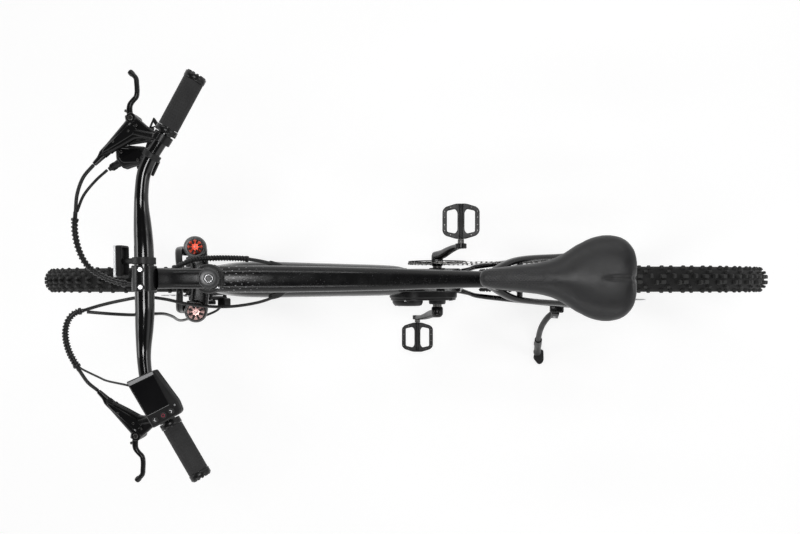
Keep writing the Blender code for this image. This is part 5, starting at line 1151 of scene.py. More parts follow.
@dataclass
class Fork:
    """Suspension fork: crown with steerer and stanchions, lower legs with their arch, and the caps."""

    crown: Pair = (0.464, 0.494)
    depth: float = 0.038
    steerer_r: float = 0.0143
    stanchion_r: float = 0.015
    leg_r: float = 0.0205
    leg_top: float = 0.352
    leg_bottom: float = 0.012
    lobe_depth: float = 0.055
    arch: tuple = ((-0.016, 0.018, 0.99), (0.004, 0.034, 0.97), (0.034, 0.036, 0.84), (0.06, 0.034, 0.4),
                   (0.064, 0.034, 0.0))

    def leg(self, profile: list[Pair], side: int, steps: int = 48, closed: bool = False) -> Skin:
        """Profile of radius and height turned about one leg's axis."""
        centre = PLAN.steer(0, PLAN.leg_ahead, side * PLAN.leg_y)
        return lathe(profile, centre, PLAN.steer_up, steps, closed)

    def crown_bridge(self) -> Skin:
        """Forged bridge: a boxy section that thins between the legs and swells at them."""
        low, high = self.crown
        t = np.linspace(-1, 1, 41)
        middle = PLAN.steer((low + high) / 2, self.depth / 2)
        lead = 0.006 * (t**2 - 0.35)
        path = middle + t[:, None] * PLAN.leg_y * LEFT + lead[:, None] * PLAN.steer_ahead
        width = self.depth * (0.9 + 0.06 * np.abs(t))
        height = (high - low - 0.002) * (0.84 + 0.16 * np.abs(np.cos(t * math.pi / 2)))
        return swept(path, width, height, side=PLAN.steer_ahead, sides=40, power=0.55, fillet=0.003)

    def uppers(self) -> None:
        """Steerer, crown and stanchions."""
        low, high = self.crown
        skins = [self.crown_bridge(),
                 rod(PLAN.steer(low + 0.004), PLAN.steer(PLAN.stem[1] - 0.002), self.steerer_r, sides=40),
                 lathe([(0, high - 0.006), (0.0225, high - 0.006), (0.0215, high + 0.001),
                        (0.0205, high + 0.002), (0, high + 0.002)], PLAN.steer(0), PLAN.steer_up, 56)]
        for side in (-1, 1):
            shell = [(0, low - 0.006), (0.0195, low - 0.006), (0.0218, low - 0.003), (0.0225, low + 0.002),
                     (0.0225, high - 0.004), (0.0215, high + 0.001), (0.019, high + 0.0058), (0.015, high + 0.006),
                     (0.015, high + 0.0045), (0, high + 0.0045)]
            skins.append(self.leg(shell, side, 56))
            r = self.stanchion_r
            skins.append(self.leg([(0, 0.19), (r - 0.001, 0.19), (r, 0.191), (r, low - 0.004), (0, low - 0.004)],
                                  side).looks(1))
        made("fork_crown_and_stanchions", skins, (ANODISED, CHROME), "fork_uppers")

    def lowers(self) -> None:
        """Lower legs with wiper seals, arch, axle ends and brake mount."""
        skins = []
        top, bottom, r = self.leg_top, self.leg_bottom, self.leg_r
        for side in (-1, 1):
            tube = [(0.0164, top), (0.0215, top), (0.0225, top - 0.001), (0.0225, top - 0.014),
                    (0.0212, top - 0.018), (r, top - 0.024), (r - 0.0005, 0.2), (0.0192, 0.07), (0.0175, 0.04),
                    (0.014, bottom + 0.004), (0.012, bottom), (0, bottom)]
            skins.append(self.leg([(0, 0.056), (0.0164, 0.056), *tube], side, 56))
            seal = [(0.0154, top - 0.002), (0.02, top - 0.002), (0.0196, top + 0.0012), (0.0172, top + 0.003),
                    (0.0154, top + 0.0034)]
            skins.append(self.leg(seal, side, 48, closed=True).looks(1))
            eye = disc_points(0.0155, 26, start=math.radians(-150), sweep=math.radians(260))
            rows = np.vstack(([(-0.034, 0.0)], eye, [(-0.03, 0.04)]))
            hole = disc_points(0.0052, 20)
            place = PLAN.front_axle + side * (PLAN.dropout_y - 0.0095) * LEFT
            skins.append(sheet_metal(rows, 0.01, SIDE_PLANE, place, [hole], 0.0015))
            cap = PLAN.steer(bottom + 0.001, PLAN.leg_ahead, side * PLAN.leg_y)
            skins += bolt_head(cap, -PLAN.steer_up, 0.008, 0.0035, 2)
        half = np.array([PLAN.steer(top + rise, PLAN.leg_ahead + lead, PLAN.leg_y * share)
                         for rise, lead, share in self.arch])
        line = np.vstack((half, half[-2::-1] * vec(1, -1, 1)))
        path = smooth_path(line, 72)
        t = np.abs(np.linspace(-1, 1, 72))
        skins.append(swept(path, 0.0135 + 0.005 * t**2, 0.0165 + 0.004 * t, side=PLAN.steer_ahead, sides=28,
                           power=0.7, fillet=0.003))
        mount = PLAN.front_axle + vec(-0.064, 0.0562, 0.052)
        skins.append(block((0.032, 0.01, 0.046), STEER_BASIS, mount, 0.003))
        made("fork_lower_legs", skins, (ANODISED, RUBBER, STEEL), "fork_lowers")

    def knob(self, side: int, radius: float, lobes: int, node: str, finish: Finish) -> None:
        """Adjusting cap with lobes round it: radius r (1 - d cos(n v)), drawn in towards its top.

        Args:
            side: Leg that it sits on.
            radius: Its largest radius.
            lobes: Number of lobes.
            node: Solid that it stands for.
            finish: Its colour.
        """
        seat = PLAN.steer(self.crown[1] + 0.0063, PLAN.leg_ahead, side * PLAN.leg_y)
        angle = even_angles(lobes * 12)
        wave = 1 - self.lobe_depth * (1 - np.cos(lobes * angle))
        rows = [(0.0, 0.0, 0), (0.985, 0.0, 0), (1.0, 0.0008, 0), (1.0, 0.0095, 1), (0.96, 0.0118, 1),
                (0.8, 0.0142, 1), (0.55, 0.015, 0.5), (0.5, 0.0138, 0), (0.24, 0.0136, 0), (0.22, 0.0146, 0),
                (0.0, 0.0148, 0)]
        share, height, depth = np.array(rows).T
        r = radius * share[:, None] * (1 + depth[:, None] * (wave - 1))
        points = np.stack((r * np.cos(angle), r * np.sin(angle), np.broadcast_to(height[:, None], r.shape)), axis=-1)
        skin = grid_skin(points).moved(STEER_BASIS, seat)
        skins = [skin] + bolt_head(seat + 0.0136 * PLAN.steer_up, PLAN.steer_up, radius * 0.17, 0.0013, 1)
        out = fan(even_angles(lobes, 0.5), PLAN.steer_ahead, LEFT)
        bases = axes(out, np.cross(PLAN.steer_up, out), PLAN.steer_up)
        # Dark studs on the cap's top stand in for the shade in its radial slots: painted shade, with no recess cut.
        slot = stud((radius * 0.56, radius * 0.27, 0.003), 0.85)
        skins.append(repeated(slot, bases, seat + radius * 0.64 * out + 0.014 * PLAN.steer_up).looks(2))
        skins.append(lathe([(0, -0.0004), (radius * 1.06, -0.0004), (radius * 1.08, 0.001), (0, 0.001)], seat,
                           PLAN.steer_up, 48).looks(2))
        made(node + "_cap", skins, (finish, DARK_STEEL, RUBBER), node)

    def build(self) -> None:
        """Make the fork."""
        self.uppers()
        self.lowers()
        self.knob(-1, 0.0145, 8, "lockout_knob", RED_ANODISED)
        self.knob(1, 0.0165, 8, "preload_knob", PINK_ANODISED)


# Stem and handlebar

@dataclass
class Cockpit:
    """Stem with its face plate and cap, handlebar, grips, and the reflector on the bar."""

    bar_r: float = 0.0159
    end_r: float = 0.0111
    rise: float = 0.018
    grip_r: float = 0.0165
    grip_length: float = 0.106
    rib_pitch: float = 0.0055
    rib_depth: float = 0.0008
    bar_line: tuple = ((0.3877, 0.0, 0.0), (0.3877, 0.05, 0.0), (0.3862, 0.085, 0.35), (0.3835, 0.12, 0.9),
                       (0.382, 0.146, 1.0), (0.378, 0.174, 1.0), (0.3675, 0.199, 1.0), (0.354, 0.22, 1.0),
                       (0.341, 0.24, 1.0), (0.2872, 0.333, 1.0))
    thickness: tuple = (1.0, 1.0, 0.93, 0.76, 0.698, 0.698, 0.698, 0.698, 0.698, 0.698)

    def half_bar(self, side: int) -> Array:
        """Corners of the bar's centre line from the middle to one end."""
        rows = np.array(self.bar_line)
        shift = BAR_CENTRE[0] - rows[0, 0]
        return np.column_stack((rows[:, 0] + shift, side * rows[:, 1], BAR_CENTRE[2] + rows[:, 2] * self.rise))

    def on_bar(self, side: int, reach: float) -> tuple[Array, Array]:
        """Place on the bar a given distance from the middle plane, and its direction outwards."""
        line = self.half_bar(side)
        y = np.abs(line[:, 1])
        k = int(np.clip(np.searchsorted(y, reach) - 1, 0, len(line) - 2))
        return sampled(line, y, reach), unit(line[k + 1] - line[k])

    def band(self, side: int, reach: float, width: float, outer: float) -> list[Skin]:
        """Clamp band round the bar.

        Args:
            side: Side of the bicycle.
            reach: Distance from the middle plane.
            width: Width of the band.
            outer: Outer radius.

        Returns:
            The surfaces.
        """
        place, run = self.on_bar(side, reach)
        half = width / 2
        profile = both_sides([(self.end_r + 0.0003, half), (outer - 0.0008, half), (outer, half - 0.0008)])
        return [lathe(profile, place, run, 40, closed=True)]

    def half_clamp(self, sign: int) -> Skin:
        """Half of the clamp round the bar, 1 for the front one, between two circles."""
        outer = disc_points(0.0208, 30, start=-1.5, sweep=3.0)
        inner = disc_points(self.bar_r + 0.0003, 30, start=1.48, sweep=-2.96)
        return sheet_metal(np.vstack((outer, inner)) * vec(sign, 1), 0.044,
                           STEER_BASIS[:, [0, 2, 1]] * vec(1, 1, -1), BAR_CENTRE, bevel=0.0015)

    def stem(self) -> None:
        """Stem body with its pinch bolts, face plate with four bolts, and cap."""
        low, high = PLAN.stem
        mid = (low + high) / 2
        clamp = lathe([(0, low), (0.0177, low), (0.0185, low + 0.001), (0.0185, high - 0.001),
                       (0.0177, high), (0, high)], PLAN.steer(0), PLAN.steer_up, 56)
        rows = np.vstack([(*PLAN.steer(mid), 0.035, 0.034), (*PLAN.steer(mid + 0.003, 0.03), 0.035, 0.029),
                          (*PLAN.steer(mid + 0.007, 0.06), 0.0345, 0.028),
                          (*(BAR_CENTRE - 0.019 * PLAN.steer_ahead), 0.036, 0.03)])
        skins = [clamp, shaped_tube(rows, 36, 40, 0.62), self.half_clamp(-1)]
        for s in (0.009, 0.027):
            for side in (-1, 1):
                seat = PLAN.steer(low + s, -0.015, side * 0.0075)
                skins.append(rod(seat - side * 0.0075 * LEFT, seat + side * 0.007 * LEFT, 0.0055))
            skins += bolt_head(PLAN.steer(low + s, -0.015, 0.0145), LEFT, 0.0042, 0.003, 1)
        made("stem_body", skins, (ANODISED, STEEL), "stem")
        skins = [self.half_clamp(1)]
        for y in (-0.0148, 0.0148):
            for way in (-1, 1):
                root, up = BAR_CENTRE + y * LEFT + 0.0045 * PLAN.steer_ahead, way * PLAN.steer_up
                skins.append(rod(root + 0.0182 * up, root + 0.0246 * up, 0.0056, sides=28, fillet=0.0008))
                skins += bolt_head(root + 0.024 * up, up, 0.0038, 0.003, 1)
        made("stem_face_plate", skins, (ANODISED, STEEL), "stem_faceplate")
        top, up = PLAN.steer(high + 0.0003), PLAN.steer_up
        cap = lathe([(0, 0), (0.0165, 0), (0.0168, 0.0006), (0.0168, 0.0024), (0.0158, 0.0036), (0.0148, 0.004),
                     (0.0088, 0.004), (0.0078, 0.0028), (0, 0.0028)], top, up, 64)
        ring = lathe([(0.0056, 0.0024), (0.0056, 0.0046), (0.0062, 0.0048), (0.0068, 0.0046), (0.0068, 0.0024)],
                     top, up, 40, closed=True)
        made("stem_top_cap", [cap, ring.looks(2)] + bolt_head(top + 0.0027 * up, up, 0.0056, 0.0021, 1),
             (CAP_GREY, ANODISED, STEEL), "stem_cap")

    def bar(self) -> None:
        """Bar that is thick in the stem, tapers, rises and sweeps back."""
        half = np.column_stack((self.half_bar(1), self.thickness))
        rows = np.vstack((half[::-1] * vec(1, -1, 1, 1), half[1:]))
        fine = smooth_path(rows, 150)
        made("swept_handlebar", [swept(fine[:, :3], 2 * self.bar_r * fine[:, 3], side=UP, sides=40, fillet=0.0005)],
             (GLOSS_BLACK,), "handlebar")

    def grip(self, side: int, node: str) -> None:
        """Lock-on grip: a ribbed sleeve between two lock rings, and a castellated end plug.

        The sleeve's radius is r + 0.0004 - d (0.5 + 0.5 cos(24 v)) (0.5 + 0.5 cos(2 pi h / p)), plain at both ends.

        Args:
            side: Side of the bicycle.
            node: Solid that it stands for.
        """
        line = self.half_bar(side)
        end, out = line[-1], unit(line[-1] - line[-2])
        across = unit(np.cross(out, UP))
        basis = axes(across, np.cross(out, across), out)
        angle = even_angles(96)
        height = np.linspace(-self.grip_length + 0.011, -0.0075, 150)
        ribs = 0.5 + 0.5 * np.cos(2 * math.pi * height / self.rib_pitch)
        groove = ribs[:, None] * (0.5 + 0.5 * np.cos(24 * angle))
        ends = np.minimum(1, np.minimum(height - height[0], height[-1] - height) / 0.004)[:, None]
        r = self.grip_r + 0.0004 - self.rib_depth * groove * ends
        points = np.stack((r * np.cos(angle), r * np.sin(angle), np.broadcast_to(height[:, None], r.shape)), axis=-1)
        inner = (self.end_r + 0.0004) * on_circle(angle)
        rings = [np.column_stack((inner, np.full(96, h)))[None] for h in (height[0], height[-1])]
        skins = [grid_skin(np.concatenate((rings[0], points, rings[1])), caps=False, wrap_u=True).moved(basis, end)]
        for low, high in ((-self.grip_length, -self.grip_length + 0.0105), (-0.007, 0.0036)):
            lip = self.grip_r + 0.0014
            bore = self.end_r + 0.0003 if low < -0.05 else 0.0
            profile = [(bore, low), (lip - 0.0008, low), (lip, low + 0.0008), (lip, high - 0.0008),
                       (lip - 0.0008, high), (bore, high)]
            skins.append(lathe(profile, end, out, 56, closed=bore > 0).looks(1))
        spot = end - (self.grip_length - 0.0052) * out + (self.grip_r + 0.0004) * across
        skins += bolt_head(spot, across, 0.0026, 0.0016, 2)
        radial = fan(even_angles(12), across, basis[:, 1])
        bases = axes(radial, np.cross(out, radial), out)
        skins.append(repeated(stud((0.005, 0.0046, 0.003)), bases, end + 0.004 * out + 0.0135 * radial).looks(1))
        made(node + "_lock_on", skins, (RUBBER, ANODISED, DARK_STEEL), node, angle=math.radians(50))

    def reflector(self) -> None:
        """Front reflector: clamp, arm with its screw, housing, and a facetted lens in front."""
        y = -0.03
        place = BAR_CENTRE + y * LEFT
        r = self.bar_r + 0.0003
        ring = lathe(both_sides([(r, 0.006), (0.0188, 0.006), (0.0195, 0.0052)]), place, LEFT, closed=True)
        arm = swept(np.linspace(BAR_CENTRE + vec(0.0175, y, 0), vec(0.432, y, 1.0), 8), 0.01, 0.008,
                    power=0.7)
        screw = bolt_head(vec(0.418, y, 1.009), vec(0.3, 0, 0.95), 0.0032, 0.002, 2)
        upright = axes(LEFT, UP, FORWARD)
        corners = vec((-0.0275, -0.016), (0.0275, -0.016), (0.0275, 0.016), (-0.0275, 0.016))
        frame = sheet_metal(rounded(corners, 0.0045), 0.01, upright, vec(0.4342, y, 0.997),
                            [rounded(corners * vec(0.86, 0.76), 0.003)], 0.0012)
        back = block((0.003, 0.05, 0.027), None, vec(0.437, y, 0.997), 0.001)
        lens = block((0.0042, 0.055, 0.0325), None, vec(0.4416, y, 0.997), 0.0016)
        made("front_reflector_unit", [ring, arm, frame, back, lens.looks(1)] + screw, (PLASTIC, LENS, STEEL),
             "front_reflector")

    def build(self) -> None:
        """Make the front end's pieces."""
        self.stem()
        self.bar()
        self.grip(-1, "grip_right")
        self.grip(1, "grip_left")
        self.reflector()


# Controls

@dataclass
class Controls:
    """Brake levers, gear shifter with its two levers, and display with its buttons."""

    cockpit: Cockpit
    lever_z: float = 1.0105
    pivot: Pair = (0.3985, 0.268)
    blade: tuple = ((0.3985, 0.268), (0.4085, 0.274), (0.4108, 0.284), (0.41, 0.2945), (0.405, 0.302),
                    (0.399, 0.3085), (0.3971, 0.3175), (0.3976, 0.331), (0.399, 0.3405), (0.4065, 0.3485))
    cylinder: tuple = ((0.399, 0.264), (0.443, 0.215), (0.4665, 0.193))
    plate: tuple = ((0.4597, 0.2019), (0.4549, 0.2139), (0.4403, 0.2283), (0.4184, 0.2476), (0.4074, 0.2571),
                    (0.4102, 0.2729), (0.3978, 0.2751), (0.3827, 0.264), (0.3705, 0.253), (0.355, 0.243),
                    (0.3625, 0.23), (0.3806, 0.2345), (0.3934, 0.2338), (0.4155, 0.222), (0.44, 0.2102))
    lid: tuple = ((0.45, 0.209), (0.446, 0.217), (0.436, 0.2265), (0.415, 0.245), (0.403, 0.256),
                  (0.393, 0.256), (0.387, 0.248), (0.396, 0.239), (0.417, 0.227), (0.438, 0.215))
    lid_screws: tuple = ((0.4022, 0.246), (0.3882, 0.2549), (0.4291, 0.2289))
    shifter: Point = (0.4125, -0.209, 0.996)
    pod: tuple = ((0.4408, -0.232), (0.4337, -0.2302), (0.3877, -0.2261), (0.3883, -0.1919), (0.4024, -0.1955),
                  (0.4131, -0.194), (0.4274, -0.189), (0.4395, -0.2046))
    pod_cover: tuple = ((0.433, -0.224), (0.393, -0.2205), (0.3935, -0.199), (0.427, -0.1985), (0.4335, -0.206))
    trigger: tuple = ((0.398, -0.206, 0.983), (0.388, -0.24, 0.983), (0.383, -0.263, 0.984))
    trigger_pad: tuple = ((0.389, -0.2603), (0.3794, -0.2806), (0.3695, -0.266))
    trigger_eye: tuple = ((0.381, -0.2722), (0.3757, -0.2644), (0.3847, -0.2637))
    thumb: tuple = ((0.406, -0.196, 0.9775), (0.393, -0.1915, 0.9775), (0.382, -0.192, 0.9785))
    thumb_pad: tuple = ((0.3718, -0.205), (0.3772, -0.208), (0.3908, -0.1832), (0.385, -0.1785))
    display_centre: Point = (0.35, 0.1975, 1.066)
    display_run: Point = (-0.488, 0.873, 0.0)
    display_high: float = 0.015
    case: tuple = ((0.3969, 0.1708), (0.3477, 0.1496), (0.31, 0.2004), (0.3038, 0.216), (0.3071, 0.2219),
                   (0.3525, 0.2466))
    glass: tuple = ((0.3893, 0.1772), (0.3487, 0.1588), (0.3238, 0.2057), (0.3616, 0.225))
    grey_edge: tuple = ((0.394, 0.172), (0.3512, 0.1525), (0.3494, 0.1572), (0.3895, 0.1764))
    fine_line: tuple = ((0.3606, 0.2258), (0.3236, 0.2069))
    buttons: tuple = (("minus", 0.3474, 0.2324), ("power", 0.3334, 0.2243), ("plus", 0.3202, 0.2172))
    button_r: float = 0.0052

    @property
    def body_z(self) -> float:
        """Height of the brake cylinders."""
        return BAR_CENTRE[2] + self.cockpit.rise - 0.006

    def brake_body(self, side: int, name: str) -> None:
        """Master cylinder with its lid and screws, clamp with its bolts, lever boss and hose nut."""
        a, b, c = [vec(x, side * y, self.body_z) for x, y in self.cylinder]
        flip = vec(1, side)
        plate = sheet_metal(rounded(self.plate, 0.003) * flip, 0.0125, None, self.body_z * UP, bevel=0.0022)
        lid = sheet_metal(rounded(self.lid, 0.003) * flip, 0.0036, None, (self.body_z + 0.0072) * UP, bevel=0.001)
        skins = [plate, lid.looks(1), rod(a - 0.0012 * UP, b - 0.0012 * UP, 0.0088, sides=36, fillet=0.003)]
        for x, y in self.lid_screws:
            skins += bolt_head(vec(x, side * y, self.body_z + 0.0086), UP, 0.0021, 0.001, 2)
        nut = rod(b, b + 0.01 * unit(c - b), 0.0072, 0.0066, sides=6, fillet=0.0006)
        sleeve = rod(b + 0.008 * unit(c - b), c, 0.0058, 0.004, fillet=0.0012)
        skins += [nut, sleeve.looks(1)]
        place, along = self.cockpit.on_bar(side, 0.2335)
        skins += self.cockpit.band(side, 0.2335, 0.015, 0.0162)
        neck_end = a + 0.3 * (b - a)
        out = unit(neck_end - place)
        skins.append(swept(np.linspace(place + 0.014 * out, neck_end, 8), 0.015, 0.0125, side=UP, sides=28,
                           power=0.8))
        for sign in (-1, 1):
            ear = place + 0.015 * unit(np.cross(along, out)) * sign
            skins.append(block((0.009, 0.014, 0.006), axes(out, along, np.cross(out, along)), ear + 0.002 * out,
                               0.0016))
            skins += bolt_head(ear + 0.0062 * out, out, 0.003, 0.0026, 2)
        pivot = vec(self.pivot[0], side * self.pivot[1], 0)
        top, low = self.body_z + 0.008, self.lever_z + 0.0052
        boss = lathe([(0, low), (0.008, low), (0.0085, low + 0.0006), (0.0085, top - 0.001), (0.0076, top),
                      (0, top)], pivot, UP, 36)
        skins += [boss] + bolt_head(pivot + (top - 0.0006) * UP, UP, 0.0045, 0.0022, 2)
        made("brake_cylinder_" + name, skins, (ANODISED, GLOSS_PLASTIC, DARK_STEEL), "brake_body_" + name)

    def brake_blade(self, side: int, name: str) -> None:
        """Lever blade: a flat curved strip with a hooked end, a reach screw and its pivot eye."""
        rows = np.array([(x, side * y, self.lever_z) for x, y in self.blade])
        widths = (0.009, 0.01, 0.01, 0.009, 0.008, 0.008, 0.008, 0.008, 0.008, 0.009)
        fine = smooth_path(np.column_stack((rows, widths)), 60)
        t = np.linspace(0, 1, 60)
        blade = swept(fine[:, :3], 0.0085 * (1 + 0.25 * np.exp(-((t - 0.95) / 0.1) ** 2)), fine[:, 3], side=UP,
                      sides=28, power=0.85, fillet=0.002)
        run = unit(rows[-1] - rows[-2])
        tip = block((0.0105, 0.01, 0.0095), axes(run, np.cross(UP, run), UP), rows[-1], 0.0036)
        pivot = vec(self.pivot[0], side * self.pivot[1], self.lever_z)
        eye = rod(pivot - 0.0045 * UP, pivot + 0.0046 * UP, 0.008, sides=32)
        screw = rod(rows[2] + vec(0.003, 0, 0), rows[2] + vec(0.0082, side * 0.002, 0), 0.0026, sides=20)
        pin = rod(pivot - 0.0056 * UP, pivot - 0.004 * UP, 0.0035, sides=20)
        made("brake_blade_" + name, [blade, tip, eye, screw.looks(1), pin.looks(1)], (ANODISED, DARK_STEEL),
             "brake_lever_" + name)

    def gear_shifter(self) -> None:
        """Shifter pod under the bar with its cover, clamp and barrel adjuster."""
        centre = vec(*self.shifter)
        pod = sheet_metal(rounded(self.pod, 0.0035), 0.019, None, centre[2] * UP, bevel=0.003)
        cover = sheet_metal(rounded(self.pod_cover, 0.004), 0.003, None, (centre[2] + 0.01) * UP, bevel=0.001)
        place, _ = self.cockpit.on_bar(-1, 0.205)
        neck = swept(np.linspace(place + vec(0.0106, -0.002, -0.0106), centre + vec(-0.012, 0.004, 0), 6),
                     0.012, 0.009, power=0.8)
        skins = [pod, cover.looks(1), neck] + self.cockpit.band(-1, 0.205, 0.01, 0.015)
        start, end = centre + vec(0.02, 0.006, 0), centre + vec(0.043, 0.02, 0.001)
        run = unit(end - start)
        skins.append(rod(start, start + 0.01 * run, 0.0068, 0.0064, sides=28))
        barrel = rod(start + 0.01 * run, end - 0.004 * run, 0.0062, 0.0054, fillet=0.0008)
        a = unit(np.cross(run, UP))
        radial = fan(even_angles(24), a, np.cross(run, a))
        bases = axes(run, np.cross(radial, run), radial)
        skins += [barrel, repeated(stud((0.0095, 0.0008, 0.0012)), bases, start + 0.017 * run + 0.0059 * radial),
                  rod(end - 0.005 * run, end, 0.004, 0.0036, sides=20)]
        for x, y in ((-0.013, 0.006), (0.016, -0.008)):
            skins += bolt_head(centre + vec(x, y, 0.0112), UP, 0.0026, 0.0012, 2)
        place, _ = self.cockpit.on_bar(-1, 0.2352)
        foot = vec(0.417, -0.2321, 1.0035)
        skins.append(swept(np.linspace(foot, place - vec(-0.006, 0, 0.006), 6), 0.009, 0.007, side=UP,
                           power=0.8))
        skins += bolt_head(foot + 0.003 * UP, UP, 0.0034, 0.0016, 2)
        made("gear_shifter_pod", skins, (PLASTIC, GLOSS_PLASTIC, DARK_STEEL), "shifter_body")
        pad = sheet_metal(rounded(self.trigger_pad, 0.003), 0.005, None, 0.9845 * UP,
                          [rounded(self.trigger_eye, 0.0015)], 0.0009)
        self.paddle(self.trigger, (0.012, 0.0085, 0.008), "shift_trigger", [pad])
        pad = sheet_metal(rounded(self.thumb_pad, 0.0028), 0.005, None, 0.979 * UP, bevel=0.0009)
        self.paddle(self.thumb, (0.012, 0.01, 0.01), "shift_thumb_lever", [pad])

    def paddle(self, line: tuple, widths: Point, node: str, pads: list[Skin]) -> None:
        """Shift lever: an arm from a round hub to its pad.

        Args:
            line: Its three places.
            widths: Its width at each.
            node: Solid that it stands for.
            pads: Surfaces of its pad.
        """
        rows = smooth_path(np.column_stack((line, widths)), 30)
        hub = vec(*line[0])
        skins = [swept(rows[:, :3], 0.004, rows[:, 3], side=UP, power=0.75, fillet=0.0012),
                 rod(hub - 0.0024 * UP, hub + 0.0024 * UP, 0.008, sides=32), *pads]
        skins += bolt_head(hub - 0.0022 * UP, -UP, 0.0038, 0.0016, 1)
        made(node + "_arm", skins, (PLASTIC, STEEL), node)

    def display(self) -> None:
        """Display: case with a grey front edge, inset screen, line and screw, and the clamp below."""
        centre, run = vec(*self.display_centre), unit(vec(*self.display_run))
        basis = axes(run, np.cross(UP, run), UP)
        top = (centre[2] + self.display_high / 2) * UP
        case = sheet_metal(rounded(self.case, 0.0032), self.display_high - 0.0008, None, (centre[2] - 0.0004) * UP,
                           bevel=0.0022)
        glass = sheet_metal(rounded(self.glass, 0.0012), 0.0016, None, top - 0.0007 * UP, bevel=0.0004)
        edge = sheet_metal(rounded(self.grey_edge, 0.0008), 0.003, None, top - 0.0012 * UP, bevel=0.0004)
        line = swept(np.array([(*p, top[2] - 0.0002) for p in self.fine_line]), 0.001, 0.0006, side=UP, sides=6)
        place, _ = self.cockpit.on_bar(1, 0.196)
        post = swept(np.linspace(place + 0.013 * UP, vec(place[0], place[1], centre[2] - 0.006), 6), 0.015, 0.013,
                     side=run, sides=28, power=0.8)
        skins = [case, glass.looks(1), edge.looks(2), line.looks(2), post]
        skins += self.cockpit.band(1, 0.196, 0.012, 0.016)
        skins += bolt_head(top + vec(0.3147, 0.2072, -0.0006), UP, 0.0019, 0.0008, 3)
        made("display_unit", skins, (PLASTIC, SCREEN, GREY_TRIM, STEEL), "display")
        for name, x, y in self.buttons:
            self.button(name, top + vec(x, y, 0), basis)

    def button(self, name: str, seat: Array, basis: Array) -> None:
        """Round button with a raised sign: an arrow to either side, or a ring with a stroke.

        Args:
            name: Which of the three.
            seat: Centre of its hole.
            basis: Directions of the display.
        """
        r = self.button_r
        cap = lathe([(0, -0.0015), (r - 0.0003, -0.0015), (r, -0.0012), (r, 0.0006), (r - 0.0006, 0.0012),
                     (r * 0.5, 0.001), (0, 0.0009)], seat, UP, 32)
        height = seat + 0.0012 * UP
        if name == "power":
            arc = disc_points(0.0026, 25, start=math.radians(25), sweep=math.radians(310))
            ring = height + arc @ basis[:, :2].T
            stroke = np.linspace(height + 0.0008 * basis[:, 0], height + 0.0034 * basis[:, 0], 3)
            marks = [swept(line, 0.0006, 0.0004, side=UP, sides=6) for line in (ring, stroke)]
        else:
            sign = -1 if name == "minus" else 1
            rows = vec((0.0026, -0.0013), (0.0, 0.0016), (-0.0026, -0.0013)) * vec(1, sign)
            marks = [swept(height + rows @ basis[:, :2].T, 0.0004, 0.001, side=UP, sides=6)]
        made("display_button_" + name, [cap] + [m.looks(1) for m in marks],
             (RUBBER, POWER_RED if name == "power" else MARKING), "button_" + name)

    def build(self) -> None:
        """Make the controls."""
        for side, name in ((-1, "right"), (1, "left")):
            self.brake_body(side, name)
            self.brake_blade(side, name)
        self.gear_shifter()
        self.display()


# Drive

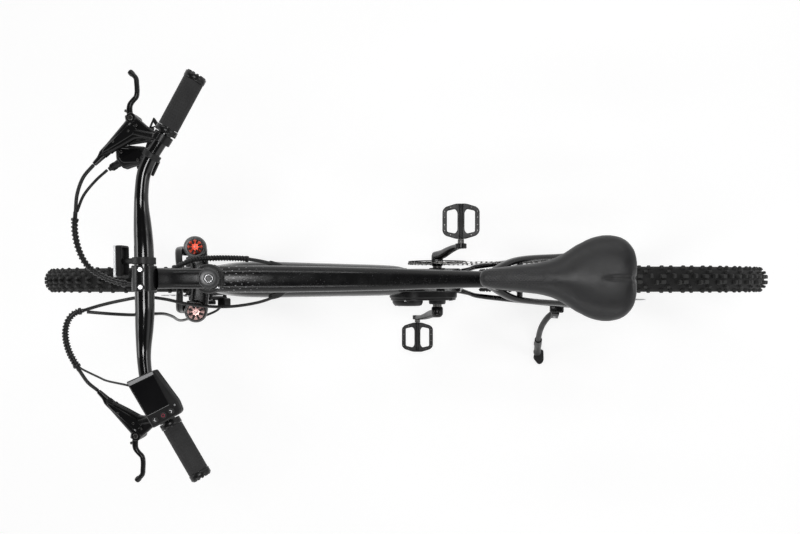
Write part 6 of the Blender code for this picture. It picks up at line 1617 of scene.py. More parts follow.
@dataclass
class Drive:
    """Motor, cranks, chainring, pedals, chain, cassette and derailleur."""

    motor_y: Pair = (-0.03, 0.052)
    spindle_r: float = 0.012
    crank_length: float = 0.17
    lean: float = math.radians(20.7)
    pitch: float = 0.0127
    ring_teeth: int = 36
    cog_teeth: int = 18
    jockey_teeth: int = 11
    cogs: tuple = (34, 28, 24, 21, 18, 15, 13, 11)
    cog_step: float = 0.0048
    pedal_y: Pair = (-0.143, 0.1635)
    pedal_length: float = 0.09
    pedal_width: float = 0.085
    upper: Point = (-0.56, -0.0455, 0.262)
    lower: Point = (-0.527, -0.0455, 0.212)
    tooth_add: float = 0.0008
    tooth_depth: float = 0.0038
    cover_gap: float = 0.0452

    def pitch_r(self, teeth: int) -> float:
        """Radius of the chain's pins round a sprocket: p / (2 sin(pi / n))."""
        return self.pitch / (2 * math.sin(math.pi / teeth))

    def outline(self, grow: float = 0.0, count: int = 48) -> Array:
        """Outline round the motor's rotor and the bracket, grown by a distance."""
        front = disc_points(PLAN.motor_r + grow, count, PLAN.motor, math.radians(-84), math.radians(192))
        rear = disc_points(PLAN.motor_rear_r + grow, count, in_plane(BRACKET), math.radians(108), math.radians(168))
        return np.vstack((front, rear[1:-1]))

    def toothed(self, teeth: int) -> Array:
        """Outline of a sprocket: r + a smooth wave that dips to the roller seats between flat-topped teeth."""
        phase = np.arange(teeth * 8) / 8
        wave = np.clip(0.5 + 0.75 * np.cos(2 * math.pi * phase), 0, 1)
        radius = self.pitch_r(teeth) - self.tooth_depth + (self.tooth_depth + self.tooth_add) * wave
        return radius[:, None] * on_circle(phase * 2 * math.pi / teeth)

    def motor(self) -> None:
        """Motor housing: rounded shell with ribs and cover bolts, spindle bosses, and its round side cover."""
        low, high = self.motor_y
        layers = ((0.0004, high - low - 0.006, (low + high) / 2 - 0.001, 0.004),
                  (0.0035, 0.006, high - 0.003, 0.0018), (0.006, 0.005, low + 0.0025, 0.0018))
        skins = [sheet_metal(self.outline(-inset), thick, SIDE_PLANE, y * LEFT, bevel=bevel)
                 for inset, thick, y, bevel in layers]
        bore = self.spindle_r + 0.0006
        for start, end in ((0.04, 0.063), (-0.02, -0.0335)):
            side = 1 if end > start else -1
            reach = abs(end - start)
            profile = [(bore, 0), (0.0235, 0), (0.0225, reach - 0.004), (0.0215, reach - 0.001), (0.0205, reach),
                       (bore, reach)]
            skins.append(lathe(profile, BRACKET + start * LEFT, side * LEFT, 56, closed=True))
        rim = self.outline(-0.0085, 6)
        for x, z in rim[::2]:
            skins += bolt_head(vec(x, high - 0.0004, z), LEFT, 0.0036, 0.0026, 1)
            skins.append(rod(vec(x, high - 0.006, z), vec(x, high, z), 0.0062))
        angle = math.radians(-84) + np.arange(15) * math.radians(192) / 14
        flat = fan(angle, FORWARD, UP)
        places = vec(PLAN.motor[0], 0.006, PLAN.motor[1]) + (PLAN.motor_r - 0.0006) * flat
        bases = axes(np.cross(LEFT, flat), LEFT, flat)
        skins.append(repeated(stud((0.0016, 0.05, 0.002), 0.6), bases[:4], places[:4]))
        made("motor_shell", skins, (CASTING, STEEL), "motor_housing")
        seat = vec(-0.024, high + 0.0003, 0.315)
        cap = lathe([(0, 0), (0.042, 0), (0.042, 0.0055), (0.0412, 0.0072), (0.038, 0.012), (0.036, 0.0134),
                     (0.03, 0.015), (0.019, 0.015), (0.018, 0.0142), (0, 0.0142)], seat, LEFT, 96)
        flat = cap.points[:, [0, 2]] - in_plane(BRACKET)
        reach = np.linalg.norm(flat, axis=1)[:, None]
        cap.points[:, [0, 2]] = in_plane(BRACKET) + flat * np.maximum(1, self.cover_gap / reach)
        skins = [cap]
        for angle in np.radians((-50, 0, 50)):
            skins += bolt_head(seat + 0.0138 * LEFT + 0.0335 * fan(angle, FORWARD, UP), LEFT, 0.0028, 0.0016, 1)
        made("motor_cover", skins, (CASTING, STEEL), "motor_side_cover")

    def pedal_place(self, side: int) -> Array:
        """Centre line of a pedal's axle in the middle plane."""
        turn = vec(math.sin(self.lean), 0, -math.cos(self.lean)) * side
        return BRACKET + self.crank_length * turn

    def crank(self, side: int, name: str) -> None:
        """Crank arm: boxy bar from the boss to the pedal eye, with the axle parts it carries."""
        end = self.pedal_place(side) - BRACKET
        boss_y, arm, pedal = ((-0.0385, -0.074), (-0.067, -0.083), self.pedal_y[0]) if side < 0 else \
            ((0.07, 0.096), (0.088, 0.1055), self.pedal_y[1])
        rows = np.array([(*(BRACKET + along * end + (arm[0] + out * (arm[1] - arm[0])) * LEFT), thick, wide)
                         for along, out, thick, wide in ((0, 0, 0.021, 0.03), (0.12, 0.03, 0.022, 0.0275),
                                                         (0.28, 0.18, 0.0205, 0.024), (0.52, 0.6, 0.0168, 0.023),
                                                         (0.78, 0.93, 0.0132, 0.022), (1, 1, 0.012, 0.0225))])
        skins = [shaped_tube(rows, 60, 36, 0.7)]
        start, stop = BRACKET + boss_y[0] * LEFT, BRACKET + boss_y[1] * LEFT
        reach = abs(boss_y[1] - boss_y[0])
        boss = lathe([(0, 0), (0.0135, 0), (0.0155, 0.003), (0.0155, reach - 0.009), (0.0148, reach - 0.005),
                      (0.013, reach - 0.002), (0.0105, reach), (0, reach)], start, side * LEFT)
        foot = BRACKET + end
        eye = lathe(both_sides([(0, -0.006), (0.013, -0.006), (0.014, -0.005)]), foot + arm[1] * LEFT,
                    side * LEFT, 44)
        skins += [boss, eye] + bolt_head(stop - side * 0.001 * LEFT, side * LEFT, 0.0098, 0.0018, 1)
        inner = pedal - side * self.pedal_width / 2
        skins += [rod(foot + arm[1] * LEFT, foot + (inner - side * 0.001) * LEFT, 0.0078, sides=28).looks(1),
                  rod(foot + (arm[1] - side * 0.0064) * LEFT, foot + (arm[1] + side * 0.03) * LEFT, 0.0046,
                      sides=20).looks(1),
                  rod(foot + arm[1] * LEFT, foot + (inner + side * 0.06) * LEFT, 0.0042, sides=20).looks(1)]
        if side < 0:
            skins.append(rod(BRACKET - 0.06 * LEFT, BRACKET + 0.0925 * LEFT, self.spindle_r, sides=40).looks(1))
        made("crank_arm_" + name, skins, (ANODISED, DARK_STEEL), "crank_" + name)

    def chainring(self) -> None:
        """Toothed ring with its spider arms, guard ring outside it, and the four bolts."""
        holes = [disc_points(0.0158, 40)]
        holes += [window(a, (0.056, 18, 0.23, 1.11), (0.029, 10, 1.1, -0.64)) for a in even_angles(4)]
        centre = BRACKET + PLAN.chain_y * LEFT
        skins = [sheet_metal(self.toothed(self.ring_teeth), 0.0022, SIDE_PLANE, centre, holes, 0.0003)]
        guard = [disc_points(0.0605, 72)]
        skins.append(sheet_metal(disc_points(0.0775, 120), 0.0024, SIDE_PLANE, centre - 0.0051 * LEFT, guard,
                                 0.0006).looks(1))
        for seat in centre + 0.0645 * fan(even_angles(4), FORWARD, UP):
            skins.append(rod(seat, seat - 0.005 * LEFT, 0.0042))
            skins += bolt_head(seat - 0.006 * LEFT, -LEFT, 0.005, 0.0014, 2)
        made("chainring_and_guard", skins, (DARK_STEEL, PLASTIC, STEEL), "chainring")

    def pedal(self, side: int, name: str) -> None:
        """Platform pedal: cage with two openings, axle sleeve, end cap and traction pins."""
        place = self.pedal_place(side)
        middle = self.pedal_y[0] if side < 0 else self.pedal_y[1]
        centre = vec(place[0], middle, place[2])
        x, y = self.pedal_length / 2, self.pedal_width / 2
        quarter = vec((x, 0.026), (0.038, 0.0345), (0.012, y))
        half = np.vstack((quarter, quarter[::-1] * vec(-1, 1)))
        rows = vec((0.0085, -0.022), (0.014, -0.03), (0.034, -0.0255), (0.034, 0.0255), (0.014, 0.03),
                   (0.0085, 0.022))
        holes = [rounded(rows * vec(sign, 1), 0.004) for sign in (-1, 1)]
        skins = [sheet_metal(rounded(np.vstack((half, -half)), 0.005), 0.013, None, centre, holes, 0.0016)]
        profile = [(0.0047, -y + 0.001), (0.0086, -y + 0.001), (0.0092, -y + 0.003), (0.008, -y + 0.02),
                   (0.008, y - 0.02), (0.0086, y - 0.005), (0.0076, y - 0.001), (0.0047, y - 0.001)]
        skins.append(lathe(profile, centre, -side * LEFT, 40, closed=True))
        outer = centre + side * (y - 0.004) * LEFT
        skins.append(rod(outer, outer + side * 0.0036 * LEFT, 0.0088, sides=36, fillet=0.001).looks(1))
        pins = np.array([(sx * u, sy * v) for sx in (-1, 1) for sy in (-1, 1)
                         for u, v in ((0.0398, 0.009), (0.0398, 0.023), (0.025, 0.0332))])
        for face in (-1, 1):
            places = centre + np.column_stack((pins, np.full(len(pins), face * 0.0074)))
            basis = axes(FORWARD, face * LEFT, face * UP)
            skins.append(repeated(stud((0.0034, 0.0034, 0.002), 0.7), basis, places).looks(1))
        made("platform_pedal_" + name, skins, (CASTING, DARK_STEEL), "pedal_" + name)

    def loop(self) -> Array:
        """Chain's centre line in X and Z: arcs round the four wheels with straight runs between."""
        offset = self.tooth_add + 0.0007 + 0.0015
        circles = [(in_plane(place), sign * (self.pitch_r(teeth) + offset), count) for place, teeth, sign, count in
                   ((BRACKET, self.ring_teeth, 1, 90), (PLAN.rear_axle, self.cog_teeth, 1, 60),
                    (self.upper, self.jockey_teeth, -1, 40), (self.lower, self.jockey_teeth, 1, 40))]
        headings = []
        for (start, r0, _), (stop, r1, _) in zip(circles, circles[1:] + circles[:1]):
            gap = stop - start
            headings.append(math.atan2(gap[1], gap[0]) - math.asin((r1 - r0) / np.linalg.norm(gap)))
        rows = []
        for k, (centre, r, count) in enumerate(circles):
            turn = (headings[k] - headings[k - 1]) % (2 * math.pi) - (2 * math.pi if r < 0 else 0)
            heading = headings[k - 1] + np.linspace(0, turn, count)
            rows.append(centre + r * on_circle(heading - math.pi / 2))
        return np.vstack(rows)

    def chain(self) -> None:
        """Chain of real links: outer and inner plates in turn, with a roller at each pin."""
        loop = self.loop()
        closed = np.vstack((loop, loop[:1]))
        run = run_lengths(closed)
        count = 2 * round(run[-1] / self.pitch / 2)
        pins = sampled(closed, run, np.arange(count) * run[-1] / count)
        step = np.roll(pins, -1, axis=0) - pins
        pitch = float(np.linalg.norm(step, axis=1).mean())
        x = unit(np.column_stack((step[:, 0], np.zeros(count), step[:, 1])))
        bases = axes(x, LEFT, np.cross(x, LEFT))
        middle = np.column_stack((pins[:, 0], np.full(count, PLAN.chain_y), pins[:, 1])) + x * pitch / 2
        end, waist = 0.0024, 0.0016
        half = np.vstack((disc_points(end, 7, (pitch / 2, 0), -math.pi / 2, math.pi), [(0, waist)]))
        shape = np.vstack((half, -half))
        skins = []
        for first, y in ((0, 0.0027), (1, 0.0017)):
            for sign in (-1, 1):
                rows = np.stack([np.column_stack((shape[:, 0], np.full(len(shape), sign * (y - e)), shape[:, 1]))
                                 for e in (0.0, 0.0009)])
                skins.append(repeated(grid_skin(rows), bases[first::2], middle[first::2]))
        roller = rod(vec(0, -0.0011, 0), vec(0, 0.0011, 0), 0.0028, sides=10, fillet=0.0)
        pin = rod(vec(0, -0.0031, 0), vec(0, 0.0031, 0), 0.0012, sides=8, fillet=0.0)
        seats = middle - x * pitch / 2
        skins += [repeated(roller, bases, seats), repeated(pin, bases, seats).looks(1)]
        made("chain_links", skins, (DARK_STEEL, STEEL), "chain")

    def cassette(self) -> None:
        """Eight toothed cogs on their carrier, with a lock ring."""
        skins = []
        axle = PLAN.rear_axle
        for k, teeth in enumerate(self.cogs):
            place = axle + (PLAN.chain_y + (4 - k) * self.cog_step) * LEFT
            holes = [disc_points(0.0174, 36)]
            if teeth > 20:
                reach = self.pitch_r(teeth) - 0.0085
                holes += [window(a + 0.1 * k, (reach, 7, 0.16, 0.66), (0.0235, 5, 0.76, -0.52))
                          for a in even_angles(6)]
            skins.append(sheet_metal(self.toothed(teeth), 0.0018, SIDE_PLANE, place, holes, 0.0003))
        high = PLAN.chain_y + 4 * self.cog_step
        step, low = PLAN.chain_y - 2 * self.cog_step, PLAN.chain_y - 2.9 * self.cog_step
        sleeve = [(0.0172, high), (0.0205, high), (0.0205, step), (0.0188, low), (0.0172, low)]
        skins.append(lathe(sleeve, axle, LEFT, closed=True).looks(1))
        made("cassette_cogs", skins, (STEEL, DARK_STEEL), "cassette")

    def derailleur(self) -> None:
        """Derailleur: mounting knuckle, slanted link, cage with cut-outs, and the end of its cable."""
        upper, lower = vec(*self.upper), vec(*self.lower)
        hang = vec(-0.56, -PLAN.dropout_y - 0.0043, 0.318)
        knuckle = vec(upper[0], -0.062, upper[2])
        top = lathe([(0, 0), (0.01, 0), (0.0104, 0.001), (0.01, 0.013), (0.0085, 0.015), (0.005, 0.016),
                     (0, 0.016)], hang, -LEFT, 40)
        rows = [(*(joint + offset), *size) for joint, offset, size in
                ((hang, (0.002, -0.01, -0.002), (0.013, 0.02)), (hang, (0.008, -0.0095, -0.016), (0.0145, 0.0215)),
                 (hang, (0.01, -0.009, -0.028), (0.015, 0.022)), (knuckle, (0.006, -0.006, 0.016), (0.0145, 0.021)),
                 (knuckle, (0.002, -0.004, 0.004), (0.014, 0.02)))]
        link = shaped_tube(rows, 40, 32, 0.62, fillet=0.002)
        low = lathe([(0, 0), (0.0118, 0), (0.0125, 0.001), (0.0125, 0.025), (0.0112, 0.0275), (0, 0.0285)],
                    vec(knuckle[0], -0.0495, knuckle[2]), -LEFT, 44)
        skins = [top, link, low] + bolt_head(hang - 0.0158 * LEFT, -LEFT, 0.0056, 0.0016, 1)
        for offset in (vec(0.012, -0.016, -0.012), vec(0.013, -0.016, -0.03)):
            skins.append(rod(hang + offset, hang + offset - 0.0025 * LEFT, 0.003, sides=20).looks(1))
        a, b = in_plane(upper), in_plane(lower)
        loop = rounded([a + (0.01, 0.006), a + (-0.004, 0.01), a + (-0.01, 0), b + (-0.01, -0.004),
                        b + (0, -0.01), b + (0.009, -0.002)], 0.0055, 6)
        slot = unit(b - a)
        half = disc_points(0.0035, 9, (0.006, 0), -math.pi / 2, math.pi)
        hole = (a + b) / 2 + np.vstack((half, -half)) @ np.stack((slot, (-slot[1], slot[0])))
        for y in (PLAN.chain_y - 0.006, PLAN.chain_y + 0.006):
            skins.append(sheet_metal(loop, 0.0016, SIDE_PLANE, y * LEFT, [hole]).looks(2))
        for seat in (upper, lower):
            skins.append(rod(seat - 0.0068 * LEFT, seat + 0.0068 * LEFT, 0.0032, sides=20).looks(1))
        cable = smooth_path(vec((-0.545, -0.08, 0.292), (-0.515, -0.08, 0.3), (-0.488, -0.0785, 0.318),
                                (-0.462, -0.076, 0.334)), 40)
        skins += [swept(cable, 0.0044, side=LEFT, sides=16, fillet=0.0006).looks(3),
                  swept(cable[:7], 0.006, side=LEFT, sides=20, fillet=0.0008).looks(1)]
        made("rear_derailleur_body", skins, (ANODISED, STEEL, DARK_STEEL, HOSE), "rear_derailleur")
        for seat, node in ((upper, "jockey_wheel_upper"), (lower, "jockey_wheel_lower")):
            holes = [disc_points(0.0035, 20)]
            holes += [disc_points(0.0026, 10, place) for place in 0.0105 * on_circle(even_angles(5))]
            made(node + "_disc", [sheet_metal(self.toothed(self.jockey_teeth), 0.0024, SIDE_PLANE, seat, holes)],
                 (PLASTIC,), node)

    def build(self) -> None:
        """Make the drive."""
        self.motor()
        for side, name in ((-1, "right"), (1, "left")):
            self.crank(side, name)
            self.pedal(side, name)
        self.chainring()
        self.chain()
        self.cassette()
        self.derailleur()


# Brake calipers

@dataclass
class Brakes:
    """Front and rear calipers of the disc brakes."""

    slot_half: float = 0.0018

    def halves(self, centre: Array, basis: Array, y: Pair, size: Pair, rotor_y: float, hose: Array) -> list[Skin]:
        """Two halves of a caliper either side of the rotor, their bridge, bolts, piston caps and hose joint.

        Args:
            centre: Middle of the block, in the wheel's plane.
            basis: Its directions.
            y: Where it starts and ends across.
            size: Its length and height.
            rotor_y: Where the rotor runs.
            hose: Where the hose joins.

        Returns:
            The surfaces.
        """
        low, high = y
        skins = []
        for a, b in ((low, rotor_y - self.slot_half), (rotor_y + self.slot_half, high)):
            place = vec(centre[0], (a + b) / 2, centre[2])
            skins.append(block((size[0], b - a, size[1]), basis, place, 0.0042))
        bridge = vec(centre[0], (low + high) / 2, centre[2])
        for sign in (-1, 1):
            ear = bridge + sign * (size[0] / 2 - 0.006) * basis[:, 0] + (size[1] / 2 - 0.005) * basis[:, 2]
            half = (high - low) / 2
            skins.append(rod(ear - (half - 0.002) * LEFT, ear + (half - 0.002) * LEFT, 0.0048))
            skins += bolt_head(ear + (half - 0.0025) * LEFT, LEFT, 0.004, 0.0032, 1)
        skins.append(rod(vec(centre[0], high - 0.001, centre[2]), vec(centre[0], high + 0.0012, centre[2]), 0.0105,
                         sides=40))
        skins += bolt_head(vec(centre[0], high + 0.0004, centre[2]), LEFT, 0.006, 0.001, 1)
        skins.append(rod(hose, hose + 0.01 * unit(basis[:, 0]), 0.0046, sides=6).looks(1))
        return skins

    def build(self) -> None:
        """Make both calipers."""
        centre = PLAN.front_axle + vec(-0.076, 0, 0.044)
        x = unit(vec(0.55, 0, 0.83))
        basis = axes(x, LEFT, np.cross(x, LEFT))
        hose = centre + 0.024 * x + 0.046 * LEFT
        skins = self.halves(centre, basis, (0.0255, 0.0495), (0.056, 0.034), 0.0385, hose)
        skins.append(block((0.022, 0.024, 0.03), basis, centre + vec(-0.023, 0.057, -0.004), 0.004))
        made("front_brake_caliper", skins, (CASTING, STEEL), "front_caliper")
        centre = PLAN.rear_axle + vec(0.052, 0, 0.04)
        x = unit(vec(0.6, 0, -0.8))
        basis = axes(x, LEFT, np.cross(x, LEFT))
        line = smooth_path(vec((-0.49, 0.054, 0.398), (-0.455, 0.054, 0.398), (-0.43, 0.056, 0.378),
                               (-0.408, 0.058, 0.352)), 40)
        skins = self.halves(centre, basis, (0.0345, 0.0595), (0.05, 0.032), 0.049, line[4])
        skins.append(swept(line, 0.005, side=LEFT, sides=16, fillet=0.0006).looks(2))
        made("rear_brake_caliper", skins, (CASTING, STEEL, HOSE), "rear_caliper")


# Saddle and seatpost

@dataclass
class Seat:
    """Saddle with its padded cover, shell and rails, seatpost with its head, and the seat clamp."""

    stations: tuple = ((-0.186, 0.0085, 0.934, 0.918), (-0.1975, 0.0162, 0.938, 0.908),
                       (-0.242, 0.0222, 0.9418, 0.9012), (-0.298, 0.0292, 0.943, 0.901),
                       (-0.329, 0.0402, 0.9436, 0.9016), (-0.359, 0.06, 0.945, 0.9023),
                       (-0.387, 0.0728, 0.9472, 0.9032), (-0.413, 0.076, 0.95, 0.905),
                       (-0.437, 0.07, 0.9515, 0.9085), (-0.453, 0.053, 0.949, 0.915),
                       (-0.459, 0.03, 0.9455, 0.92))
    across: tuple = ((0.0, 1.0), (0.3, 0.995), (0.6, 0.93), (0.86, 0.76), (0.98, 0.5), (1.0, 0.26), (0.93, 0.08),
                     (0.6, 0.0), (0.0, 0.0))
    post_r: float = 0.0155
    rail_r: float = 0.0035
    rail_y: float = 0.0215
    rail_z: float = 0.874
    clamp_x: float = -0.312
    voxel: float = 0.0042
    pressure: float = 4.0
    frames_run: int = 20
    swell: float = 0.006
    underside: float = 0.9085
    groove_depth: float = 0.0024
    seam_depth: float = 0.0009
    dimple_depth: float = 0.0009
    dimple_pitch: float = 0.0058

    def cushion_form(self) -> Skin:
        """Cover: stations along the saddle and an outline across it, both run smoothly.

        A point is (x, h a, low + (top - low) b) for the outline's (a, b) and the station's half width h.
        The nose closes in width and height, the tail in height alone, with a notch in its middle.
        """
        rows = smooth_path(self.stations, 64)
        half = smooth_path(self.across, 33)
        loop = np.vstack((half, half[-2:0:-1] * vec(-1, 1)))
        t = np.linspace(0, 1, 64)
        near_nose, near_tail = t / 0.03, (1 - t) / 0.05
        nose, both = [np.sin(np.minimum(1, near) * math.pi / 2)
                      for near in (near_nose, np.minimum(near_nose, near_tail))]
        narrow, thin = [np.maximum(0.05, np.sqrt(0.45 * s + 0.55 * s**2)) for s in (nose, both)]
        depth = (rows[:, 2] - rows[:, 3]) * thin
        y = (rows[:, 1] * narrow)[:, None] * loop[None, :, 0]
        low = (rows[:, 2] + rows[:, 3] - depth) / 2
        z = low[:, None] + depth[:, None] * loop[None, :, 1]
        x = rows[:, :1] + 0.0035 * np.exp(-((y / 0.009) ** 2)) * np.clip((t - 0.9) / 0.1, 0, 1)[:, None]
        return grid_skin(np.stack((x, y, z), axis=-1))

    def inflate(self, piece: bpy.types.Object) -> None:
        """Pad the cover with a short cloth simulation, its swelling kept small, and apply it.

        Args:
            piece: The cover, which is changed.
        """
        remesh = piece.modifiers.new("even", "REMESH")
        remesh.mode, remesh.voxel_size = "VOXEL", self.voxel
        self.apply(piece)
        rest = read_rows(piece.data.vertices, "co")
        pinned = piece.vertex_groups.new(name="underside")
        pinned.add([int(i) for i in np.flatnonzero(rest[:, 2] < self.underside)], 1.0, "REPLACE")
        cloth = piece.modifiers.new("padding", "CLOTH")
        cloth.settings.use_pressure = True
        cloth.settings.uniform_pressure_force = self.pressure
        cloth.settings.vertex_group_mass = "underside"
        cloth.settings.effector_weights.gravity = 0.0
        cloth.settings.quality = 5
        cloth.point_cache.frame_start, cloth.point_cache.frame_end = 1, self.frames_run
        scene = bpy.context.scene
        for number in range(1, self.frames_run + 1):
            scene.frame_set(number)
        shaped = piece.evaluated_get(bpy.context.evaluated_depsgraph_get())
        moved = read_rows(shaped.data.vertices, "co")
        piece.modifiers.remove(cloth)
        scene.frame_set(1)
        shift = moved - rest
        reach = np.linalg.norm(shift, axis=1, keepdims=True)
        rest += shift * np.minimum(1, self.swell / np.maximum(reach, 1e-9))
        piece.data.vertices.foreach_set("co", rest.ravel())
        piece.vertex_groups.clear()

    def apply(self, piece: bpy.types.Object) -> None:
        """Put the result of the piece's modifiers into its mesh."""
        graph = bpy.context.evaluated_depsgraph_get()
        mesh = bpy.data.meshes.new_from_object(piece.evaluated_get(graph))
        old = piece.data
        piece.modifiers.clear()
        piece.data = mesh
        bpy.data.meshes.remove(old)

    def sculpt(self, piece: bpy.types.Object) -> None:
        """Press the tail groove, the edge seam and the small dimples of the nose into the cover.

        Each is a height h added along the vertex normal: a Gaussian about its line, or a lattice of
        cosines for the dimples, faded out at the edge of its area.
        """
        mesh = piece.data
        points, normals = [read_rows(mesh.vertices, key) for key in ("co", "normal")]
        x, y, z = points.T
        top = np.clip((normals[:, 2] - 0.3) / 0.4, 0, 1)
        height = -self.groove_depth * np.exp(-((y / 0.0045) ** 2)) * top * np.clip((-x - 0.395) / 0.02, 0, 1)
        height -= self.seam_depth * np.exp(-(((z - 0.9115) / 0.0011) ** 2)) * (np.abs(normals[:, 2]) < 0.75)
        area = (np.clip((0.0165 - np.abs(y)) / 0.003, 0, 1) * np.clip((-x - 0.194) / 0.008, 0, 1)
                * np.clip((0.34 + x) / 0.08, 0, 1))
        wave = 2 * math.pi / self.dimple_pitch
        height -= self.dimple_depth * np.clip(np.cos(wave * x) * np.cos(wave * y), 0, 1) * area * top
        points += normals * height[:, None]
        mesh.vertices.foreach_set("co", points.ravel())
        mesh.update()

    def cover(self) -> None:
        """Padded cover of the saddle."""
        piece = made("saddle_cover", [self.cushion_form()], (COVER,), "saddle_cushion")
        self.inflate(piece)
        smooth = piece.modifiers.new("even", "SUBSURF")
        smooth.levels = smooth.render_levels = 2
        self.apply(piece)
        self.sculpt(piece)
        piece.data.shade_smooth()

    def shell(self) -> None:
        """Moulded shell under the cover, with its rails of bent rod."""
        rows = smooth_path(np.array(self.stations)[1:-1], 48)
        half = np.maximum(rows[:, 1] - 0.0055, 0.008)
        ring = np.array([(-0.97, 0.0), (-1.0, 0.003), (-0.96, 0.0075), (0.96, 0.0075), (1.0, 0.003), (0.97, 0.0),
                         (0.5, -0.0012), (0.0, -0.0016), (-0.5, -0.0012)])
        points = np.stack([np.stack((np.broadcast_to(rows[:, 0], half.shape), half * a,
                                     np.full(len(half), 0.8912 + b)), axis=-1) for a, b in ring], axis=1)
        skins = [grid_skin(points)]
        for side in (-1, 1):
            line = vec((-0.212, side * 0.01, 0.8925), (-0.24, side * 0.016, 0.885),
                       (-0.275, side * self.rail_y, self.rail_z), (-0.31, side * self.rail_y, self.rail_z),
                       (-0.345, side * self.rail_y, self.rail_z), (-0.385, side * 0.03, 0.882),
                       (-0.42, side * 0.036, 0.893))
            skins.append(swept(smooth_path(line, 60), 2 * self.rail_r, side=LEFT, sides=20).looks(1))
            for place in (line[0], line[-1]):
                skins.append(block((0.02, 0.013, 0.0075), None, place - vec(0, 0, 0.0012), 0.003))
        made("saddle_base_and_rails", skins, (PLASTIC, CHROME), "saddle_shell")

    def post(self) -> None:
        """Seatpost, its two-part head with its bolt, and the clamp at the top of the seat tube."""
        foot, top = PLAN.seat_top - 0.135 * PLAN.seat_up, PLAN.seat_top + 0.136 * PLAN.seat_up
        x, z = self.clamp_x, self.rail_z
        skins = [rod(foot, top, self.post_r, sides=48, fillet=0.001),
                 block((0.062, 0.032, 0.014), None, vec(x + 0.018, 0, z - 0.0125), 0.0045),
                 block((0.036, 0.056, 0.005), None, vec(x, 0, z - 0.0068), 0.0018),
                 block((0.036, 0.056, 0.005), None, vec(x, 0, z + 0.0068), 0.0018),
                 rod(vec(x, 0, z - 0.016), vec(x, 0, z + 0.0115), 0.0032, sides=20).looks(1)]
        for side in (-1, 1):
            for low in (-0.0052, 0.0016):
                place = vec(x, side * self.rail_y, z + low + 0.0018)
                skins.append(block((0.034, 0.0125, 0.0036), None, place, 0.0012))
        skins += bolt_head(vec(x, 0, z + 0.009), UP, 0.0052, 0.003, 1)
        nut = lathe([(0, 0), (0.0056, 0), (0.0056, 0.0035), (0, 0.0035)], vec(x, 0, z - 0.0195), UP, 6)
        made("seatpost_and_head", skins + [nut.looks(1)], (ANODISED, STEEL), "seatpost")
        ahead = vec(math.sin(PLAN.seat_angle), 0, math.cos(PLAN.seat_angle))
        middle = PLAN.seat_top - 0.007 * PLAN.seat_up
        inner, outer = 0.0188, 0.023
        collar = lathe(both_sides([(inner, 0.0075), (outer - 0.0008, 0.0075), (outer, 0.0067)]), middle,
                       PLAN.seat_up, 56, closed=True)
        basis = axes(ahead, LEFT, PLAN.seat_up)
        ears = [block((0.014, 0.0072, 0.014), basis, middle - 0.027 * ahead + side * 0.0044 * LEFT, 0.0018)
                for side in (-1, 1)]
        seat = middle - 0.029 * ahead
        bolt = [rod(seat - 0.0105 * LEFT, seat + 0.0105 * LEFT, 0.003, sides=20).looks(1)]
        bolt += bolt_head(seat + 0.0078 * LEFT, LEFT, 0.0046, 0.0042, 1)
        made("seat_collar", [collar] + ears + bolt, (ANODISED, STEEL), "seat_clamp")

    def build(self) -> None:
        """Make the saddle, the post and the clamp."""
        self.cover()
        self.shell()
        self.post()


@dataclass
class SideStand:
    """Folding side stand: pivot barrel, leg, sliding sleeve with its screw, and foot."""

    line: tuple = ((-0.412, 0.083, 0.296), (-0.398, 0.102, 0.256), (-0.39, 0.13, 0.2), (-0.391, 0.165, 0.13),
                   (-0.402, 0.222, 0.009))
    foot: tuple = ((-0.4215, 0.211), (-0.4225, 0.244), (-0.416, 0.254), (-0.406, 0.256), (-0.3915, 0.238),
                   (-0.393, 0.227), (-0.403, 0.208))

    def build(self) -> None:
        """Make the stand."""
        axis, pivot = unit(PLAN.stand_axis), vec(*PLAN.stand_pivot)
        barrel = lathe(both_sides([(0.0042, -0.0105), (0.0088, -0.0105), (0.0095, -0.0098)]), pivot, axis, 44,
                       closed=True)
        line = np.array(self.line)
        path = smooth_path(line, 72)
        start = pivot + unit(path[6] - pivot) * 0.007
        leg = swept(np.vstack((start, path[5:])), 0.016, side=FORWARD, sides=32, fillet=0.0015)
        a, b = line[3] + 0.1 * (line[4] - line[3]), line[3] + 0.92 * (line[4] - line[3])
        run = unit(b - a)
        reach = np.linalg.norm(b - a)
        sleeve = lathe([(0.0078, 0), (0.01, 0), (0.0108, 0.001), (0.0108, 0.05), (0.01, 0.053),
                        (0.01, reach - 0.012), (0.0112, reach - 0.009), (0.0112, reach - 0.001),
                        (0.0102, reach), (0.0078, reach)], a, run, 40, closed=True)
        out = unit(np.cross(run, UP))
        screws = [bolt_head(a + step * run + 0.0104 * out, out, 0.0028, 0.0016, 1) for step in (0.02, 0.034)]
        foot = sheet_metal(rounded(self.foot, 0.0055), 0.01, None, 0.005 * UP, bevel=0.0018)
        ribs = np.stack((np.full(5, -0.4085), 0.236 + np.linspace(-0.008, 0.012, 5), np.full(5, 0.01)), axis=1)
        treads = repeated(stud((0.015, 0.0018, 0.0012)), np.eye(3), ribs)
        made("side_stand", [barrel, leg, sleeve, foot.looks(2), treads.looks(2), *screws[0], *screws[1]],
             (PLASTIC, DARK_STEEL, RUBBER), "kickstand")


# Cables

